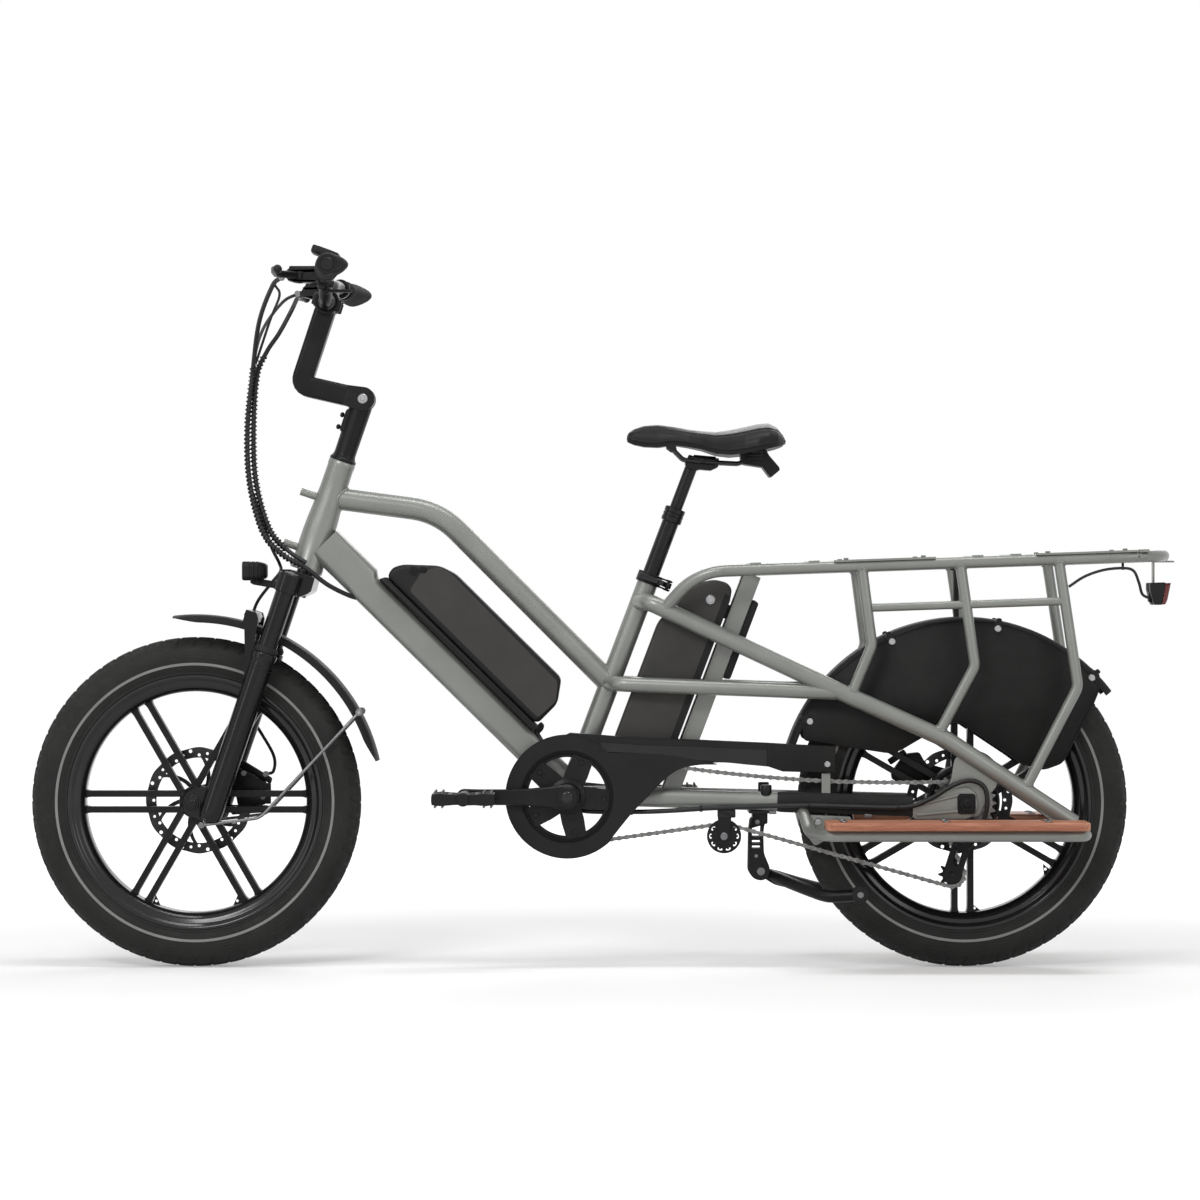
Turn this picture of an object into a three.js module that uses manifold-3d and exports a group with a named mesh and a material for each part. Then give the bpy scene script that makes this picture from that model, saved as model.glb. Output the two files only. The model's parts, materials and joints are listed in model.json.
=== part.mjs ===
// A longtail cargo bicycle with a hub motor and two batteries, as an assembly of separate pieces.
// Millimetres, +Z up. The front wheel lies at -X, the drive side at -Y and the ground at Z = 0.
import * as THREE from 'three';
import { mergeVertices } from 'three/addons/utils/BufferGeometryUtils.js';
import Module from 'manifold-3d';

const wasm = await Module();
wasm.setup();

// Driving dimensions
const tyreRadius = 276;
const tyreHalfWidth = 38;
const rearAxleX = 600;
const frontAxleX = -684;
const axleZ = tyreRadius;
const crankX = -62;
const crankZ = 287;
const headFootX = -501.4;
const headFootZ = 662.8;
const headAngle = 18.6;
const seatAngle = 20.7;
const downAngle = 44.65;

// Gaps between neighbouring pieces, and how far cuts run past a face
const clearance = 0.35;
const slidingClearance = 0.5;
const overrun = 2;
const seatIn = 1;
const mergeTolerance = 0.12;
const frameTolerance = 0.25;

// Counts of sides
const roundSides = 14;
const tubeSides = 8;
const smallSides = 6;
const wheelSides = 40;
const bendSteps = 2;

const degree = Math.PI / 180;
const sin = (angle) => Math.sin(angle * degree);
const cos = (angle) => Math.cos(angle * degree);

// Materials, with the colours of the photograph
const finish = (color, roughness, metalness) => new THREE.MeshStandardMaterial({ color, roughness,
  metalness });
const paint = finish(0x8c8f87, 0.42, 0.35);
const black = finish(0x232323, 0.55, 0.1);
const blackMetal = finish(0x1c1c1e, 0.35, 0.6);
const casing = finish(0x3a3836, 0.5, 0.1);
const rubber = finish(0x262626, 0.85, 0);
const steel = finish(0xb4b6b8, 0.3, 0.9);
const wood = finish(0xb8704e, 0.6, 0);
const leather = finish(0x2a2a2b, 0.6, 0);
const lamp = finish(0x6a1414, 0.25, 0);

// A closed geometry becomes a solid; faces left without an area by the weld are dropped
function solidFrom(geometry, matrix) {
  const bare = new THREE.BufferGeometry();
  bare.setAttribute('position', geometry.getAttribute('position').clone());
  if (geometry.index) bare.setIndex(geometry.index.clone());
  const merged = mergeVertices(bare);
  if (matrix) merged.applyMatrix4(matrix);
  const corners = [];
  const index = merged.index.array;
  for (let i = 0; i < index.length; i += 3) {
    const [a, b, c] = [index[i], index[i + 1], index[i + 2]];
    if (a !== b && b !== c && c !== a) corners.push(a, b, c);
  }
  const build = (order) => new wasm.Manifold(new wasm.Mesh({
    numProp: 3,
    vertProperties: new Float32Array(merged.getAttribute('position').array),
    triVerts: new Uint32Array(order),
  }));
  const solid = build(corners);
  return solid.volume() < 0 ? build(corners.slice().reverse()) : solid;
}

const join = (solids) => solids.reduce((whole, solid) => whole.add(solid));
const cut = (solid, tools) => tools.reduce((whole, tool) => whole.subtract(tool), solid);
// The radius of a hole in which a pin with as many sides can turn
const opened = (radius, count) => (radius + clearance) / Math.cos(Math.PI / count);
const mirrored = (solid) => solid.mirror([0, 1, 0]);
const moved = (solid, x, y, z) => solid.translate([x, y, z]);
const sides = [-1, 1];

// A route for an extrusion: its stations are kept, and sections stay square to one side direction
class Route extends THREE.Curve {
  constructor(stations, side) {
    super();
    this.stations = stations;
    this.side = side;
  }

  getPoint(t) {
    const place = t * (this.stations.length - 1);
    const i = Math.min(Math.floor(place), this.stations.length - 2);
    return this.stations[i].clone().lerp(this.stations[i + 1], place - i);
  }

  getSpacedPoints() {
    return this.stations;
  }

  computeFrenetFrames() {
    const frames = { tangents: [], normals: [], binormals: [] };
    this.stations.forEach((station, i) => {
      const before = this.stations[Math.max(i - 1, 0)];
      const after = this.stations[Math.min(i + 1, this.stations.length - 1)];
      const inward = station.clone().sub(before).normalize();
      const outward = after.clone().sub(station).normalize();
      const tangent = inward.add(outward).normalize();
      const normal = this.side.clone().addScaledVector(tangent, -this.side.dot(tangent)).normalize();
      frames.tangents.push(tangent);
      frames.normals.push(normal);
      frames.binormals.push(new THREE.Vector3().crossVectors(tangent, normal));
    });
    return frames;
  }
}

const vector = ([x, y, z]) => new THREE.Vector3(x, y, z);
const across = new THREE.Vector3(0, 1, 0);
const lengthwise = new THREE.Vector3(1, 0, 0);
const upright = new THREE.Vector3(0, 0, 1);

// Points of a line with its corners rounded to a bend radius
function bent(points, bend, steps = bendSteps) {
  const line = points.map(vector);
  const stations = [line[0]];
  for (let i = 1; i < line.length - 1; i += 1) {
    const back = line[i - 1].clone().sub(line[i]);
    const ahead = line[i + 1].clone().sub(line[i]);
    const turn = Math.PI - back.angleTo(ahead);
    const reach = Math.min(bend * Math.tan(turn / 2), back.length() / 2.05, ahead.length() / 2.05);
    const start = line[i].clone().addScaledVector(back.normalize(), reach);
    const end = line[i].clone().addScaledVector(ahead.normalize(), reach);
    const arc = new THREE.QuadraticBezierCurve3(start, line[i], end);
    stations.push(...arc.getPoints(steps));
  }
  stations.push(line[line.length - 1]);
  return stations;
}

function circle(radius, count = tubeSides, flat = 1) {
  return Array.from({ length: count }, (_, i) => {
    const angle = (i + 0.5) * 2 * Math.PI / count;
    return [radius * Math.cos(angle), radius * flat * Math.sin(angle)];
  });
}

// A rectangle with its corners cut back
function chamfered(width, height, corner) {
  const [a, b] = [width / 2, height / 2];
  return [
    [a, -b + corner], [a, b - corner], [a - corner, b], [-a + corner, b],
    [-a, b - corner], [-a, -b + corner], [-a + corner, -b], [a - corner, -b],
  ];
}

const shapeOf = (outline) => new THREE.Shape(outline.map(([a, b]) => new THREE.Vector2(a, b)));

function sweep(stations, section, side = across) {
  const geometry = new THREE.ExtrudeGeometry(shapeOf(section), {
    steps: stations.length - 1,
    extrudePath: new Route(stations, side),
  });
  return solidFrom(geometry);
}

const pipe = (points, bend, radius, count = tubeSides, side = across, steps = bendSteps) => (
  sweep(bent(points, bend, steps), circle(radius, count), side));
const bar = (from, to, radius, count = tubeSides) => {
  const steep = Math.abs(to[1] - from[1]) > 0.9 * vector(to).distanceTo(vector(from));
  return sweep([vector(from), vector(to)], circle(radius, count), steep ? lengthwise : across);
};
const cord = (points, count, radius, ringSides = 6) => (
  sweep(new THREE.CatmullRomCurve3(points.map(vector)).getPoints(count), circle(radius, ringSides)));

// An outline in the side view (X, Z), thick from one Y to another
function plate(outline, y0, y1, holes = []) {
  const shape = shapeOf(outline);
  holes.forEach((hole) => shape.holes.push(shapeOf(hole)));
  const geometry = new THREE.ExtrudeGeometry(shape, { depth: y1 - y0, bevelEnabled: false });
  const turn = new THREE.Matrix4().makeRotationX(Math.PI / 2).setPosition(0, y1, 0);
  return solidFrom(geometry, turn);
}

// A profile (radius, Y) turned round an axle
function turned(profile, x, z, count = roundSides) {
  const points = profile.map(([radius, y]) => new THREE.Vector2(radius, y));
  return solidFrom(new THREE.LatheGeometry(points, count), new THREE.Matrix4().makeTranslation(x, 0, z));
}
const closed = (profile) => [...profile, profile[0]];
const drum = (radius, y0, y1, x, z, count = roundSides) => (
  turned([[0, y0], [radius, y0], [radius, y1], [0, y1]], x, z, count));
const ring = (inner, outer, y0, y1, x, z, count = roundSides) => (
  turned(closed([[inner, y0], [outer, y0], [outer, y1], [inner, y1]]), x, z, count));

function box(width, depth, height, x, y, z, tilt = 0) {
  const matrix = new THREE.Matrix4().makeRotationY(tilt * degree).setPosition(x, y, z);
  return solidFrom(new THREE.BoxGeometry(width, depth, height), matrix);
}

// Rings of equally many points, joined in order and closed at both ends
function loft(rings) {
  const count = rings[0].length;
  const corners = [];
  for (let i = 0; i < rings.length - 1; i += 1) {
    for (let j = 0; j < count; j += 1) {
      const [a, b] = [i * count + j, i * count + (j + 1) % count];
      corners.push(a, b, b + count, a, b + count, a + count);
    }
  }
  const last = (rings.length - 1) * count;
  for (let j = 1; j < count - 1; j += 1) {
    corners.push(0, j + 1, j, last, last + j, last + j + 1);
  }
  const geometry = new THREE.BufferGeometry();
  geometry.setAttribute('position', new THREE.Float32BufferAttribute(rings.flat(2), 3));
  geometry.setIndex(corners);
  return solidFrom(geometry);
}

// A disc with pointed teeth
function toothed(teeth, root, tip) {
  return Array.from({ length: teeth * 2 }, (_, i) => {
    const angle = i * Math.PI / teeth;
    const radius = i % 2 ? tip : root;
    return [radius * Math.cos(angle), radius * Math.sin(angle)];
  });
}
const placed = (outline, x, z) => outline.map(([a, b]) => [x + a, z + b]);

// Places along the steering axis (u rearwards, w up), the seat tube and the down tube
const onSteering = (u, w) => [
  headFootX + u * cos(headAngle) + w * sin(headAngle),
  headFootZ - u * sin(headAngle) + w * cos(headAngle)];
const onSeat = (u, w) => [
  crankX + u * cos(seatAngle) + w * sin(seatAngle),
  crankZ - u * sin(seatAngle) + w * cos(seatAngle)];
const onDown = (u, w) => [
  crankX + u * sin(downAngle) - w * cos(downAngle),
  crankZ + u * cos(downAngle) + w * sin(downAngle)];
const at = ([x, z], y = 0) => [x, y, z];

const group = new THREE.Group();
function add(name, solid, material) {
  const data = solid.simplify(mergeTolerance).getMesh();
  const geometry = new THREE.BufferGeometry();
  geometry.setAttribute('position', new THREE.BufferAttribute(data.vertProperties, 3));
  geometry.setIndex(new THREE.BufferAttribute(data.triVerts, 1));
  geometry.computeVertexNormals();
  const mesh = new THREE.Mesh(geometry, material);
  mesh.name = name;
  group.add(mesh);
}

// Frame sizes
const headTube = { length: 193, radius: 23.2, bore: 14.7, relief: 19, cup: 14 };
const headBoss = { reach: 50, radius: 6.5, low: 34, high: 124 };
const topTube = { radius: 19, headW: 87, cornerX: -278.5, cornerZ: 762, bend: 135, seatW: 200 };
const downTube = { axisU: 10, depth: 52, width: 56, corner: 14, length: 602, deepStart: 488, deepRise: 8 };
const seatTube = { radius: 17.45, bore: 14.8, top: 391, wallBottom: 40 };
const crankShell = { radius: 22, half: 36.5, bore: 12.5 };
const stay = {
  width: 17, depth: 31, startX: -45, startY: 30, kneeX: 40, kneeY: 36, axleGap: 88, endY: 74, startZ: 285,
  endZ: 272,
};
const dropout = { inner: 70, thickness: 8, slot: 7 };
const rail = {
  radius: 14.3, lower: 12.7, seatW: 346, lowerW: 200, tuckY: 12, frontY: 50, frontStep: 14, y: 82, bend: 26,
};
const railKnee = { joinX: 384, joinZ: 465, midX: 564, midZ: 382, endX: 786, endZ: 250, lowerJoinDrop: 4 };
const rack = {
  radius: 9.5, y: 90, cornerX: 156, frontZ: 661, endX: 946, endZ: 688, bend: 34, startX: 96, startY: 54,
};
const strut = {
  radius: 9, bend: 27, count: 3, topX: 426, topPitch: 163, kneeX: 443, kneePitch: 170.5, footX: 408,
  footPitch: 144,
};
const strutDrop = { knee: 131, kneePitch: 40 };
const sideRail = { radius: 6.7, frontZ: 601, endZ: 612.5 };
const crossTube = { radius: 8, firstX: 250, pitch: 170, count: 4 };
const mountStrip = { width: 19, thickness: 3.5, length: 168, firstX: 372, secondX: 655 };
const channel = { nearU: 143, farU: 174, bottomW: 68, topW: 455, half: 17, wall: 3, footW: 84, topWall: 18 };
const bridge = { radius: 11, x: 112, z: 286 };
const footBar = {
  radius: 10, z: 227.3, y: 165, frontX: 372, rearX: 792, bend: 34, insetY: 62, liftX: 330, rootZ: 264,
  kneeX: 340, kneeY: 92,
};
const lampPlate = { x: 919, width: 9, thickness: 3, foot: 36, height: 46 };

// The rack rail's height at a place along it
const rackHeight = (x) => (
  rack.frontZ + (rack.endZ - rack.frontZ) * (x - rack.cornerX) / (rack.endX - rack.cornerX));
const rackSlope = Math.atan2(rack.endZ - rack.frontZ, rack.endX - rack.cornerX) / degree;
// The long diagonal rail's height at a place along it
function railHeight(x) {
  const early = x < railKnee.midX;
  const [x0, z0] = early ? [railKnee.joinX, railKnee.joinZ] : [railKnee.midX, railKnee.midZ];
  const [x1, z1] = early ? [railKnee.midX, railKnee.midZ] : [railKnee.endX, railKnee.endZ];
  return z0 + (z1 - z0) * (x - x0) / (x1 - x0);
}

const outwards = lengthwise.clone().multiplyScalar(rail.frontStep).addScaledVector(across, rail.frontY);

const dropoutShares = [
  [-1, -0.275], [-1, -0.09], [-0.3, 0.3], [-0.2, 0.9], [0.2, 0.9], [0.63, 0.4], [0.35, 0.06], [0.3, -0.1],
  [0.22, -0.24], [-0.11, -0.29]];
const dropoutReach = 90;

function frontTriangle() {
  const [hx, hz] = onSteering(0, topTube.headW);
  const seatEnd = onSeat(0, topTube.seatW);
  const downStart = onDown(downTube.axisU, 0);
  const downEnd = onDown(downTube.axisU, downTube.length);
  const deepLow = onDown(downTube.axisU + downTube.deepRise, downTube.deepStart);
  const deepHigh = onDown(downTube.axisU + downTube.deepRise, downTube.length);
  const section = chamfered(downTube.width, downTube.depth, downTube.corner);
  const pegs = [headBoss.low, headBoss.high].map((w) => (
    bar(at(onSteering(0, w)), at(onSteering(-headBoss.reach, w)), headBoss.radius, smallSides)));
  return [
    bar(at(onSteering(0, 0)), at(onSteering(0, headTube.length)), headTube.radius, roundSides),
    ...pegs,
    pipe([[hx, 0, hz], [topTube.cornerX, 0, topTube.cornerZ], at(seatEnd)], topTube.bend, topTube.radius),
    sweep([vector(at(downStart)), vector(at(downEnd))], section),
    sweep([vector(at(deepLow)), vector(at(deepHigh))], section),
    bar([crankX, 0, crankZ], at(onSeat(0, seatTube.top)), seatTube.radius, roundSides),
    drum(crankShell.radius, -crankShell.half, crankShell.half, crankX, crankZ),
  ];
}

function rearSide(side) {
  const y = (value) => side * value;
  const [railX, railZ] = onSeat(0, rail.seatW);
  const [lowX, lowZ] = onSeat(0, rail.lowerW);
  const { joinX, joinZ, midX, midZ, endX, endZ } = railKnee;
  const tubes = [
    pipe([[railX, y(rail.tuckY), railZ], [railX + rail.frontStep, y(rail.frontY), railZ],
      [joinX, y(rail.y), joinZ], [midX, y(rail.y), midZ], [endX, y(rail.y), endZ]],
    rail.bend, rail.radius, tubeSides, outwards),
    pipe([[lowX, y(rail.tuckY), lowZ], [lowX + rail.frontStep, y(rail.frontY), lowZ],
      [joinX, y(rail.y), joinZ - railKnee.lowerJoinDrop]],
    rail.bend, rail.lower, tubeSides, outwards, 1),
    sweep(bent([[stay.startX, y(stay.startY), stay.startZ], [stay.kneeX, y(stay.kneeY), stay.startZ],
      [rearAxleX - stay.axleGap, y(stay.endY), stay.endZ]], stay.depth),
    circle(stay.depth / 2, tubeSides).map(([a, b]) => [a * stay.width / stay.depth, b])),
    bar([strut.kneeX, y(rack.y), sideRail.frontZ], [strut.kneeX + 2 * strut.kneePitch, y(rack.y),
      sideRail.endZ],
      sideRail.radius, smallSides),
    pipe([[footBar.liftX, y(footBar.insetY), footBar.rootZ], [footBar.kneeX, y(footBar.kneeY), footBar.z],
      [footBar.frontX, y(footBar.y), footBar.z], [footBar.rearX, y(footBar.y), footBar.z],
      [footBar.rearX, y(rail.y), footBar.z]],
    footBar.bend, footBar.radius, smallSides, upright, 1),
    bar([footBar.rearX, y(rail.y), footBar.z], [endX, y(rail.y), endZ], footBar.radius),
    dropoutPlate(side),
  ];
  for (let i = 0; i < strut.count; i += 1) {
    const topX = strut.topX + i * strut.topPitch;
    const kneeX = strut.kneeX + i * strut.kneePitch;
    const footX = strut.footX + i * strut.footPitch;
    const kneeZ = rackHeight(topX) - strutDrop.knee - i * strutDrop.kneePitch;
    tubes.push(pipe([[topX, y(rack.y), rackHeight(topX)], [kneeX, y(rack.y), kneeZ],
      [footX, y(rail.y), railHeight(footX)]], strut.bend, strut.radius, smallSides, across, 1));
  }
  [mountStrip.firstX, mountStrip.secondX].forEach((x) => {
    const z = rackHeight(x + mountStrip.length / 2) + rack.radius;
    tubes.push(box(mountStrip.length, mountStrip.width, mountStrip.thickness,
      x + mountStrip.length / 2, y(rack.y), z, -rackSlope));
  });
  return tubes;
}

function dropoutPlate(side) {
  const outline = dropoutShares.map(([a, b]) => [rearAxleX + a * dropoutReach, axleZ + b * dropoutReach]);
  const solid = plate(outline, -dropout.inner - dropout.thickness, -dropout.inner);
  const slot = drum(dropout.slot + clearance, -dropout.inner - dropout.thickness - overrun,
    -dropout.inner + overrun, rearAxleX, axleZ, tubeSides);
  const lug = cut(solid, [slot]);
  return side < 0 ? lug : mirrored(lug);
}

function channelRail() {
  const outline = [[channel.nearU, channel.bottomW], [channel.farU, channel.bottomW],
    [channel.farU, channel.topW], [channel.nearU, channel.topW]].map(([u, w]) => onSeat(u, w));
  const inner = [[channel.nearU + channel.wall, channel.footW], [channel.farU + overrun, channel.footW],
    [channel.farU + overrun, channel.topW - channel.topWall],
    [channel.nearU + channel.wall, channel.topW - channel.topWall]].map(([u, w]) => onSeat(u, w));
  const shell = plate(outline, -channel.half, channel.half);
  return cut(shell, [plate(inner, -channel.half + channel.wall, channel.half - channel.wall)]);
}

function mainFrame() {
  const rackRun = sides.map((side) => [
    [rack.startX, side * rack.startY, railStartHeight()],
    [rack.cornerX, side * rack.y, rack.frontZ],
    [rack.endX - rack.radius, side * rack.y, rack.endZ],
  ]);
  const rackTube = pipe([...rackRun[0], ...rackRun[1].reverse()], rack.bend, rack.radius, tubeSides,
    upright);
  const crossTubes = Array.from({ length: crossTube.count }, (_, i) => {
    const x = crossTube.firstX + i * crossTube.pitch;
    return bar([x, -rack.y, rackHeight(x)], [x, rack.y, rackHeight(x)], crossTube.radius, smallSides);
  });
  const body = join([
    ...frontTriangle(), ...rearSide(-1), ...rearSide(1), rackTube, ...crossTubes, channelRail(),
    bar([bridge.x, -stay.kneeY, bridge.z], [bridge.x, stay.kneeY, bridge.z], bridge.radius, smallSides),
    lampBracket(),
  ]).simplify(frameTolerance);
  return cut(body, [
    bar(at(onSteering(0, -overrun)), at(onSteering(0, headTube.length + overrun)), headTube.bore, roundSides),
    bar(at(onSteering(0, headTube.cup)), at(onSteering(0, headTube.length - headTube.cup)), headTube.relief,
      roundSides),
    bar(at(onSeat(0, seatTube.wallBottom)), at(onSeat(0, seatTube.top + overrun)), seatTube.bore, roundSides),
    drum(crankShell.bore, -crankShell.half - overrun, crankShell.half + overrun, crankX, crankZ),
  ]);
}

// The height of the diagonal rail where the rack rail leaves it
function railStartHeight() {
  const [railX, railZ] = onSeat(0, rail.seatW);
  return railZ + (railKnee.joinZ - railZ) * (rack.startX - railX) / (railKnee.joinX - railX);
}

// The strip that carries the tail light, hung from the rack's rear tube
function lampBracket() {
  const top = rack.endZ - rack.radius;
  return join([
    box(lampPlate.foot, 2 * lampPlate.width, lampPlate.thickness, lampPlate.x + lampPlate.foot / 2, 0, top),
    box(lampPlate.thickness, 2 * lampPlate.width, lampPlate.height, lampPlate.x + lampPlate.thickness / 2, 0,
      top - lampPlate.height / 2),
  ]);
}

add('main_frame', mainFrame(), paint);

// Steering: crown, steerer and stanchions turn in the head tube
const fork = {
  legU: -16, legY: 65, stanchion: 16.5, stanchionTop: -14, stanchionFoot: -290, leg: 20, legFoot: 18,
  legTop: -150, legBottom: -444, bore: 17.3, boreFoot: -330, steerer: 14.3,
};
const crown = { top: -4, shoulder: -12, bottom: -44, frontU: -37, rearU: 22, half: 84, waist: 30, neck: 22 };
const arch = { frontU: -68, rearU: -50, top: -91, bottom: -200, half: 72, inner: 52, lintel: 16 };
const forkEnd = { frontU: -66, inner: 56, outer: 68, top: -396, bottom: -446, axle: 7 };

function forkUpper() {
  const outline = [[crown.frontU, crown.shoulder], [-crown.neck, crown.top], [crown.neck, crown.top],
    [crown.rearU, crown.bottom + crown.waist / 2], [crown.rearU / 2, crown.bottom],
    [crown.frontU, crown.bottom]].map(([u, w]) => onSteering(u, w));
  const middle = plate(outline, -crown.half + fork.leg, crown.half - fork.leg);
  const [steerFoot, steerTop] = [onSteering(0, crown.bottom), onSteering(0, headTube.length + stem.cover)];
  const stanchions = sides.map((side) => bar(at(onSteering(fork.legU, fork.stanchionFoot), side * fork.legY),
    at(onSteering(fork.legU, fork.stanchionTop), side * fork.legY), fork.stanchion, roundSides));
  const sockets = sides.map((side) => bar(at(onSteering(fork.legU, crown.bottom), side * fork.legY),
    at(onSteering(fork.legU, crown.shoulder), side * fork.legY), fork.leg + seatIn, roundSides));
  return join([middle, ...stanchions, ...sockets, bar(at(steerFoot), at(steerTop), fork.steerer,
    roundSides)]);
}

// Lower legs with the arch in front of the tyre and the axle ends ahead of the legs
function forkLower() {
  const parts = [];
  sides.forEach((side) => {
    const y = side * fork.legY;
    parts.push(bar(at(onSteering(fork.legU, fork.legBottom), y), at(onSteering(fork.legU, fork.legTop), y),
      fork.leg, roundSides));
    const toe = [[fork.legU + fork.legFoot / 2, forkEnd.top], [fork.legU + fork.legFoot / 2, forkEnd.bottom],
      [forkEnd.frontU + fork.legFoot, forkEnd.bottom], [forkEnd.frontU, (forkEnd.top + forkEnd.bottom) / 2],
      [forkEnd.frontU + fork.legFoot, forkEnd.top]].map(([u, w]) => onSteering(u, w));
    parts.push(plate(toe, ...[side * forkEnd.inner, side * forkEnd.outer].sort((a, b) => a - b)));
    const pillar = [[arch.frontU, arch.top], [arch.rearU, arch.top],
      [fork.legU - fork.leg + seatIn, fork.legTop + overrun], [fork.legU, fork.legTop - overrun],
      [fork.legU, arch.bottom], [fork.legU - fork.leg, arch.bottom]].map(([u, w]) => onSteering(u, w));
    parts.push(plate(pillar, ...[side * arch.inner, side * arch.half].sort((a, b) => a - b)));
  });
  const lintel = [[arch.frontU, arch.top], [arch.rearU, arch.top], [arch.rearU, arch.top - arch.lintel],
    [arch.frontU, arch.top - arch.lintel]].map(([u, w]) => onSteering(u, w));
  parts.push(plate(lintel, -arch.half, arch.half));
  parts.push(drum(forkEnd.axle, -forkEnd.outer - overrun, forkEnd.outer + overrun, frontAxleX, axleZ,
    tubeSides));
  const bores = sides.map((side) => bar(at(onSteering(fork.legU, fork.boreFoot), side * fork.legY),
    at(onSteering(fork.legU, fork.legTop + overrun), side * fork.legY), fork.bore, roundSides));
  return cut(join(parts), bores);
}

const stem = {
  cover: 18, coverRadius: 22, coverTop: 15.5, tube: 17.2, pivotW: 303.7, boss: 20, bossHalf: 22, cheek: 17.2,
  pin: 6, cap: 8.4, capRise: 3, clampW: [250, 272], clampU: -20, clampRadius: 5, clampHalf: 12, bore: 14.7,
};
const stemArm = {
  armDepth: 36, elbowU: -107, elbowW: 293, width: 40, barU: -108, barW: 438, upperDepth: 40, eyeRadius: 21,
};
const handlebar = {
  radius: 11.1, clamp: 15.9, clampHalf: 32, rise: 37, sweep: 22, kneeY: 60, riseEndY: 115.5, riseBack: 3.7,
  gripY: 215, endY: 350,
};

// The cover rests on the head tube; the tube rises from it to the pivot
function stemLower() {
  const [foot, top] = [headTube.length + clearance, headTube.length + stem.cover];
  const cover = loftAlong([[foot, stem.coverRadius], [top, stem.coverTop]], roundSides);
  const tube = bar(at(onSteering(0, top - seatIn)), at(onSteering(0, stem.pivotW)), stem.tube, roundSides);
  const [px, pz] = onSteering(0, stem.pivotW);
  const neck = cut(join([cover, tube, drum(stem.boss, -stem.cheek, stem.cheek, px, pz)]), [
    bar(at(onSteering(0, headTube.length - overrun)), at(onSteering(0,
      headTube.length + stem.cover + stem.cap)),
      stem.bore, roundSides)]);
  const bolts = stem.clampW.map((w) => bar(at(onSteering(stem.clampU, w), -stem.clampHalf),
    at(onSteering(stem.clampU, w), stem.clampHalf), stem.clampRadius, smallSides));
  const pin = drum(stem.pin, -stem.bossHalf - stem.capRise, stem.bossHalf + stem.capRise, px, pz, tubeSides);
  const caps = sides.map((side) => moved(drum(stem.cap, -stem.capRise / 2, stem.capRise / 2, px, pz,
    tubeSides),
    0, side * (stem.bossHalf + stem.capRise), 0));
  return join([neck, ...bolts, pin, ...caps]);
}

// Rings round the steering axis, closed at both ends
function loftAlong(steps, count) {
  return loft(steps.map(([w, radius]) => circle(radius, count).map(([u, y]) => {
    const [x, z] = onSteering(u, w);
    return [x, y, z];
  })));
}

// The arm forks round the pivot, runs forward to the elbow and up to the bar
function stemArmSolid() {
  const [px, pz] = onSteering(0, stem.pivotW);
  const [ex, ez] = onSteering(stemArm.elbowU, stemArm.elbowW);
  const [bx, bz] = onSteering(stemArm.barU, stemArm.barW);
  const half = stemArm.width / 2;
  const eyes = drum(stem.boss, -stem.bossHalf, stem.bossHalf, px, pz);
  const arm = sweep([vector([px, 0, pz]), vector([ex, 0, ez])],
    chamfered(stemArm.width, stemArm.armDepth, stemArm.width / 8));
  const upper = sweep([vector([ex, 0, ez]), vector([bx, 0, bz])],
    chamfered(stemArm.width, stemArm.upperDepth, stemArm.width / 8));
  const elbow = drum(stemArm.upperDepth / 2, -half, half, ex, ez);
  const clamp = drum(stemArm.eyeRadius, -handlebar.clampHalf + clearance * 2,
    handlebar.clampHalf - clearance * 2, bx, bz);
  return cut(join([eyes, arm, upper, elbow, clamp]), [
    drum(opened(stem.pin, tubeSides), -stem.bossHalf - overrun, stem.bossHalf + overrun, px, pz, tubeSides),
    drum(opened(stem.boss, roundSides), -stem.cheek - clearance, stem.cheek + clearance, px, pz),
    bar(at(onSteering(0, stem.pivotW - 2 * stem.boss)), [px, 0, pz], stem.tube + slidingClearance,
      roundSides),
    drum(handlebar.clamp + clearance, -stemArm.width, stemArm.width, bx, bz),
  ]);
}

// The bar: a thick middle, then rising and swept back to the grips
function barTube(radius) {
  const [bx, bz] = onSteering(stemArm.barU, stemArm.barW);
  const half = (side) => [
    [bx, side * handlebar.kneeY, bz],
    [bx + handlebar.riseBack, side * handlebar.riseEndY, bz + handlebar.rise],
    [bx + handlebar.sweep, side * handlebar.endY, bz + handlebar.rise],
  ];
  const line = [...half(-1).reverse(), ...half(1)];
  return pipe(line, handlebar.kneeY, radius, tubeSides, upright);
}
function handlebarSolid() {
  const [bx, bz] = onSteering(stemArm.barU, stemArm.barW);
  return join([barTube(handlebar.radius),
    drum(handlebar.clamp, -handlebar.clampHalf, handlebar.clampHalf, bx, bz)]);
}

// Places along one end of the bar: y is the distance from the middle
function onBar(y, back = 0, up = 0) {
  const [bx, bz] = onSteering(stemArm.barU, stemArm.barW);
  const { riseEndY, riseBack, endY, sweep: fullSweep } = handlebar;
  const share = (Math.abs(y) - riseEndY) / (endY - riseEndY);
  const sweepX = riseBack + share * (fullSweep - riseBack);
  return [bx + sweepX + back, y, bz + handlebar.rise + up];
}

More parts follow.
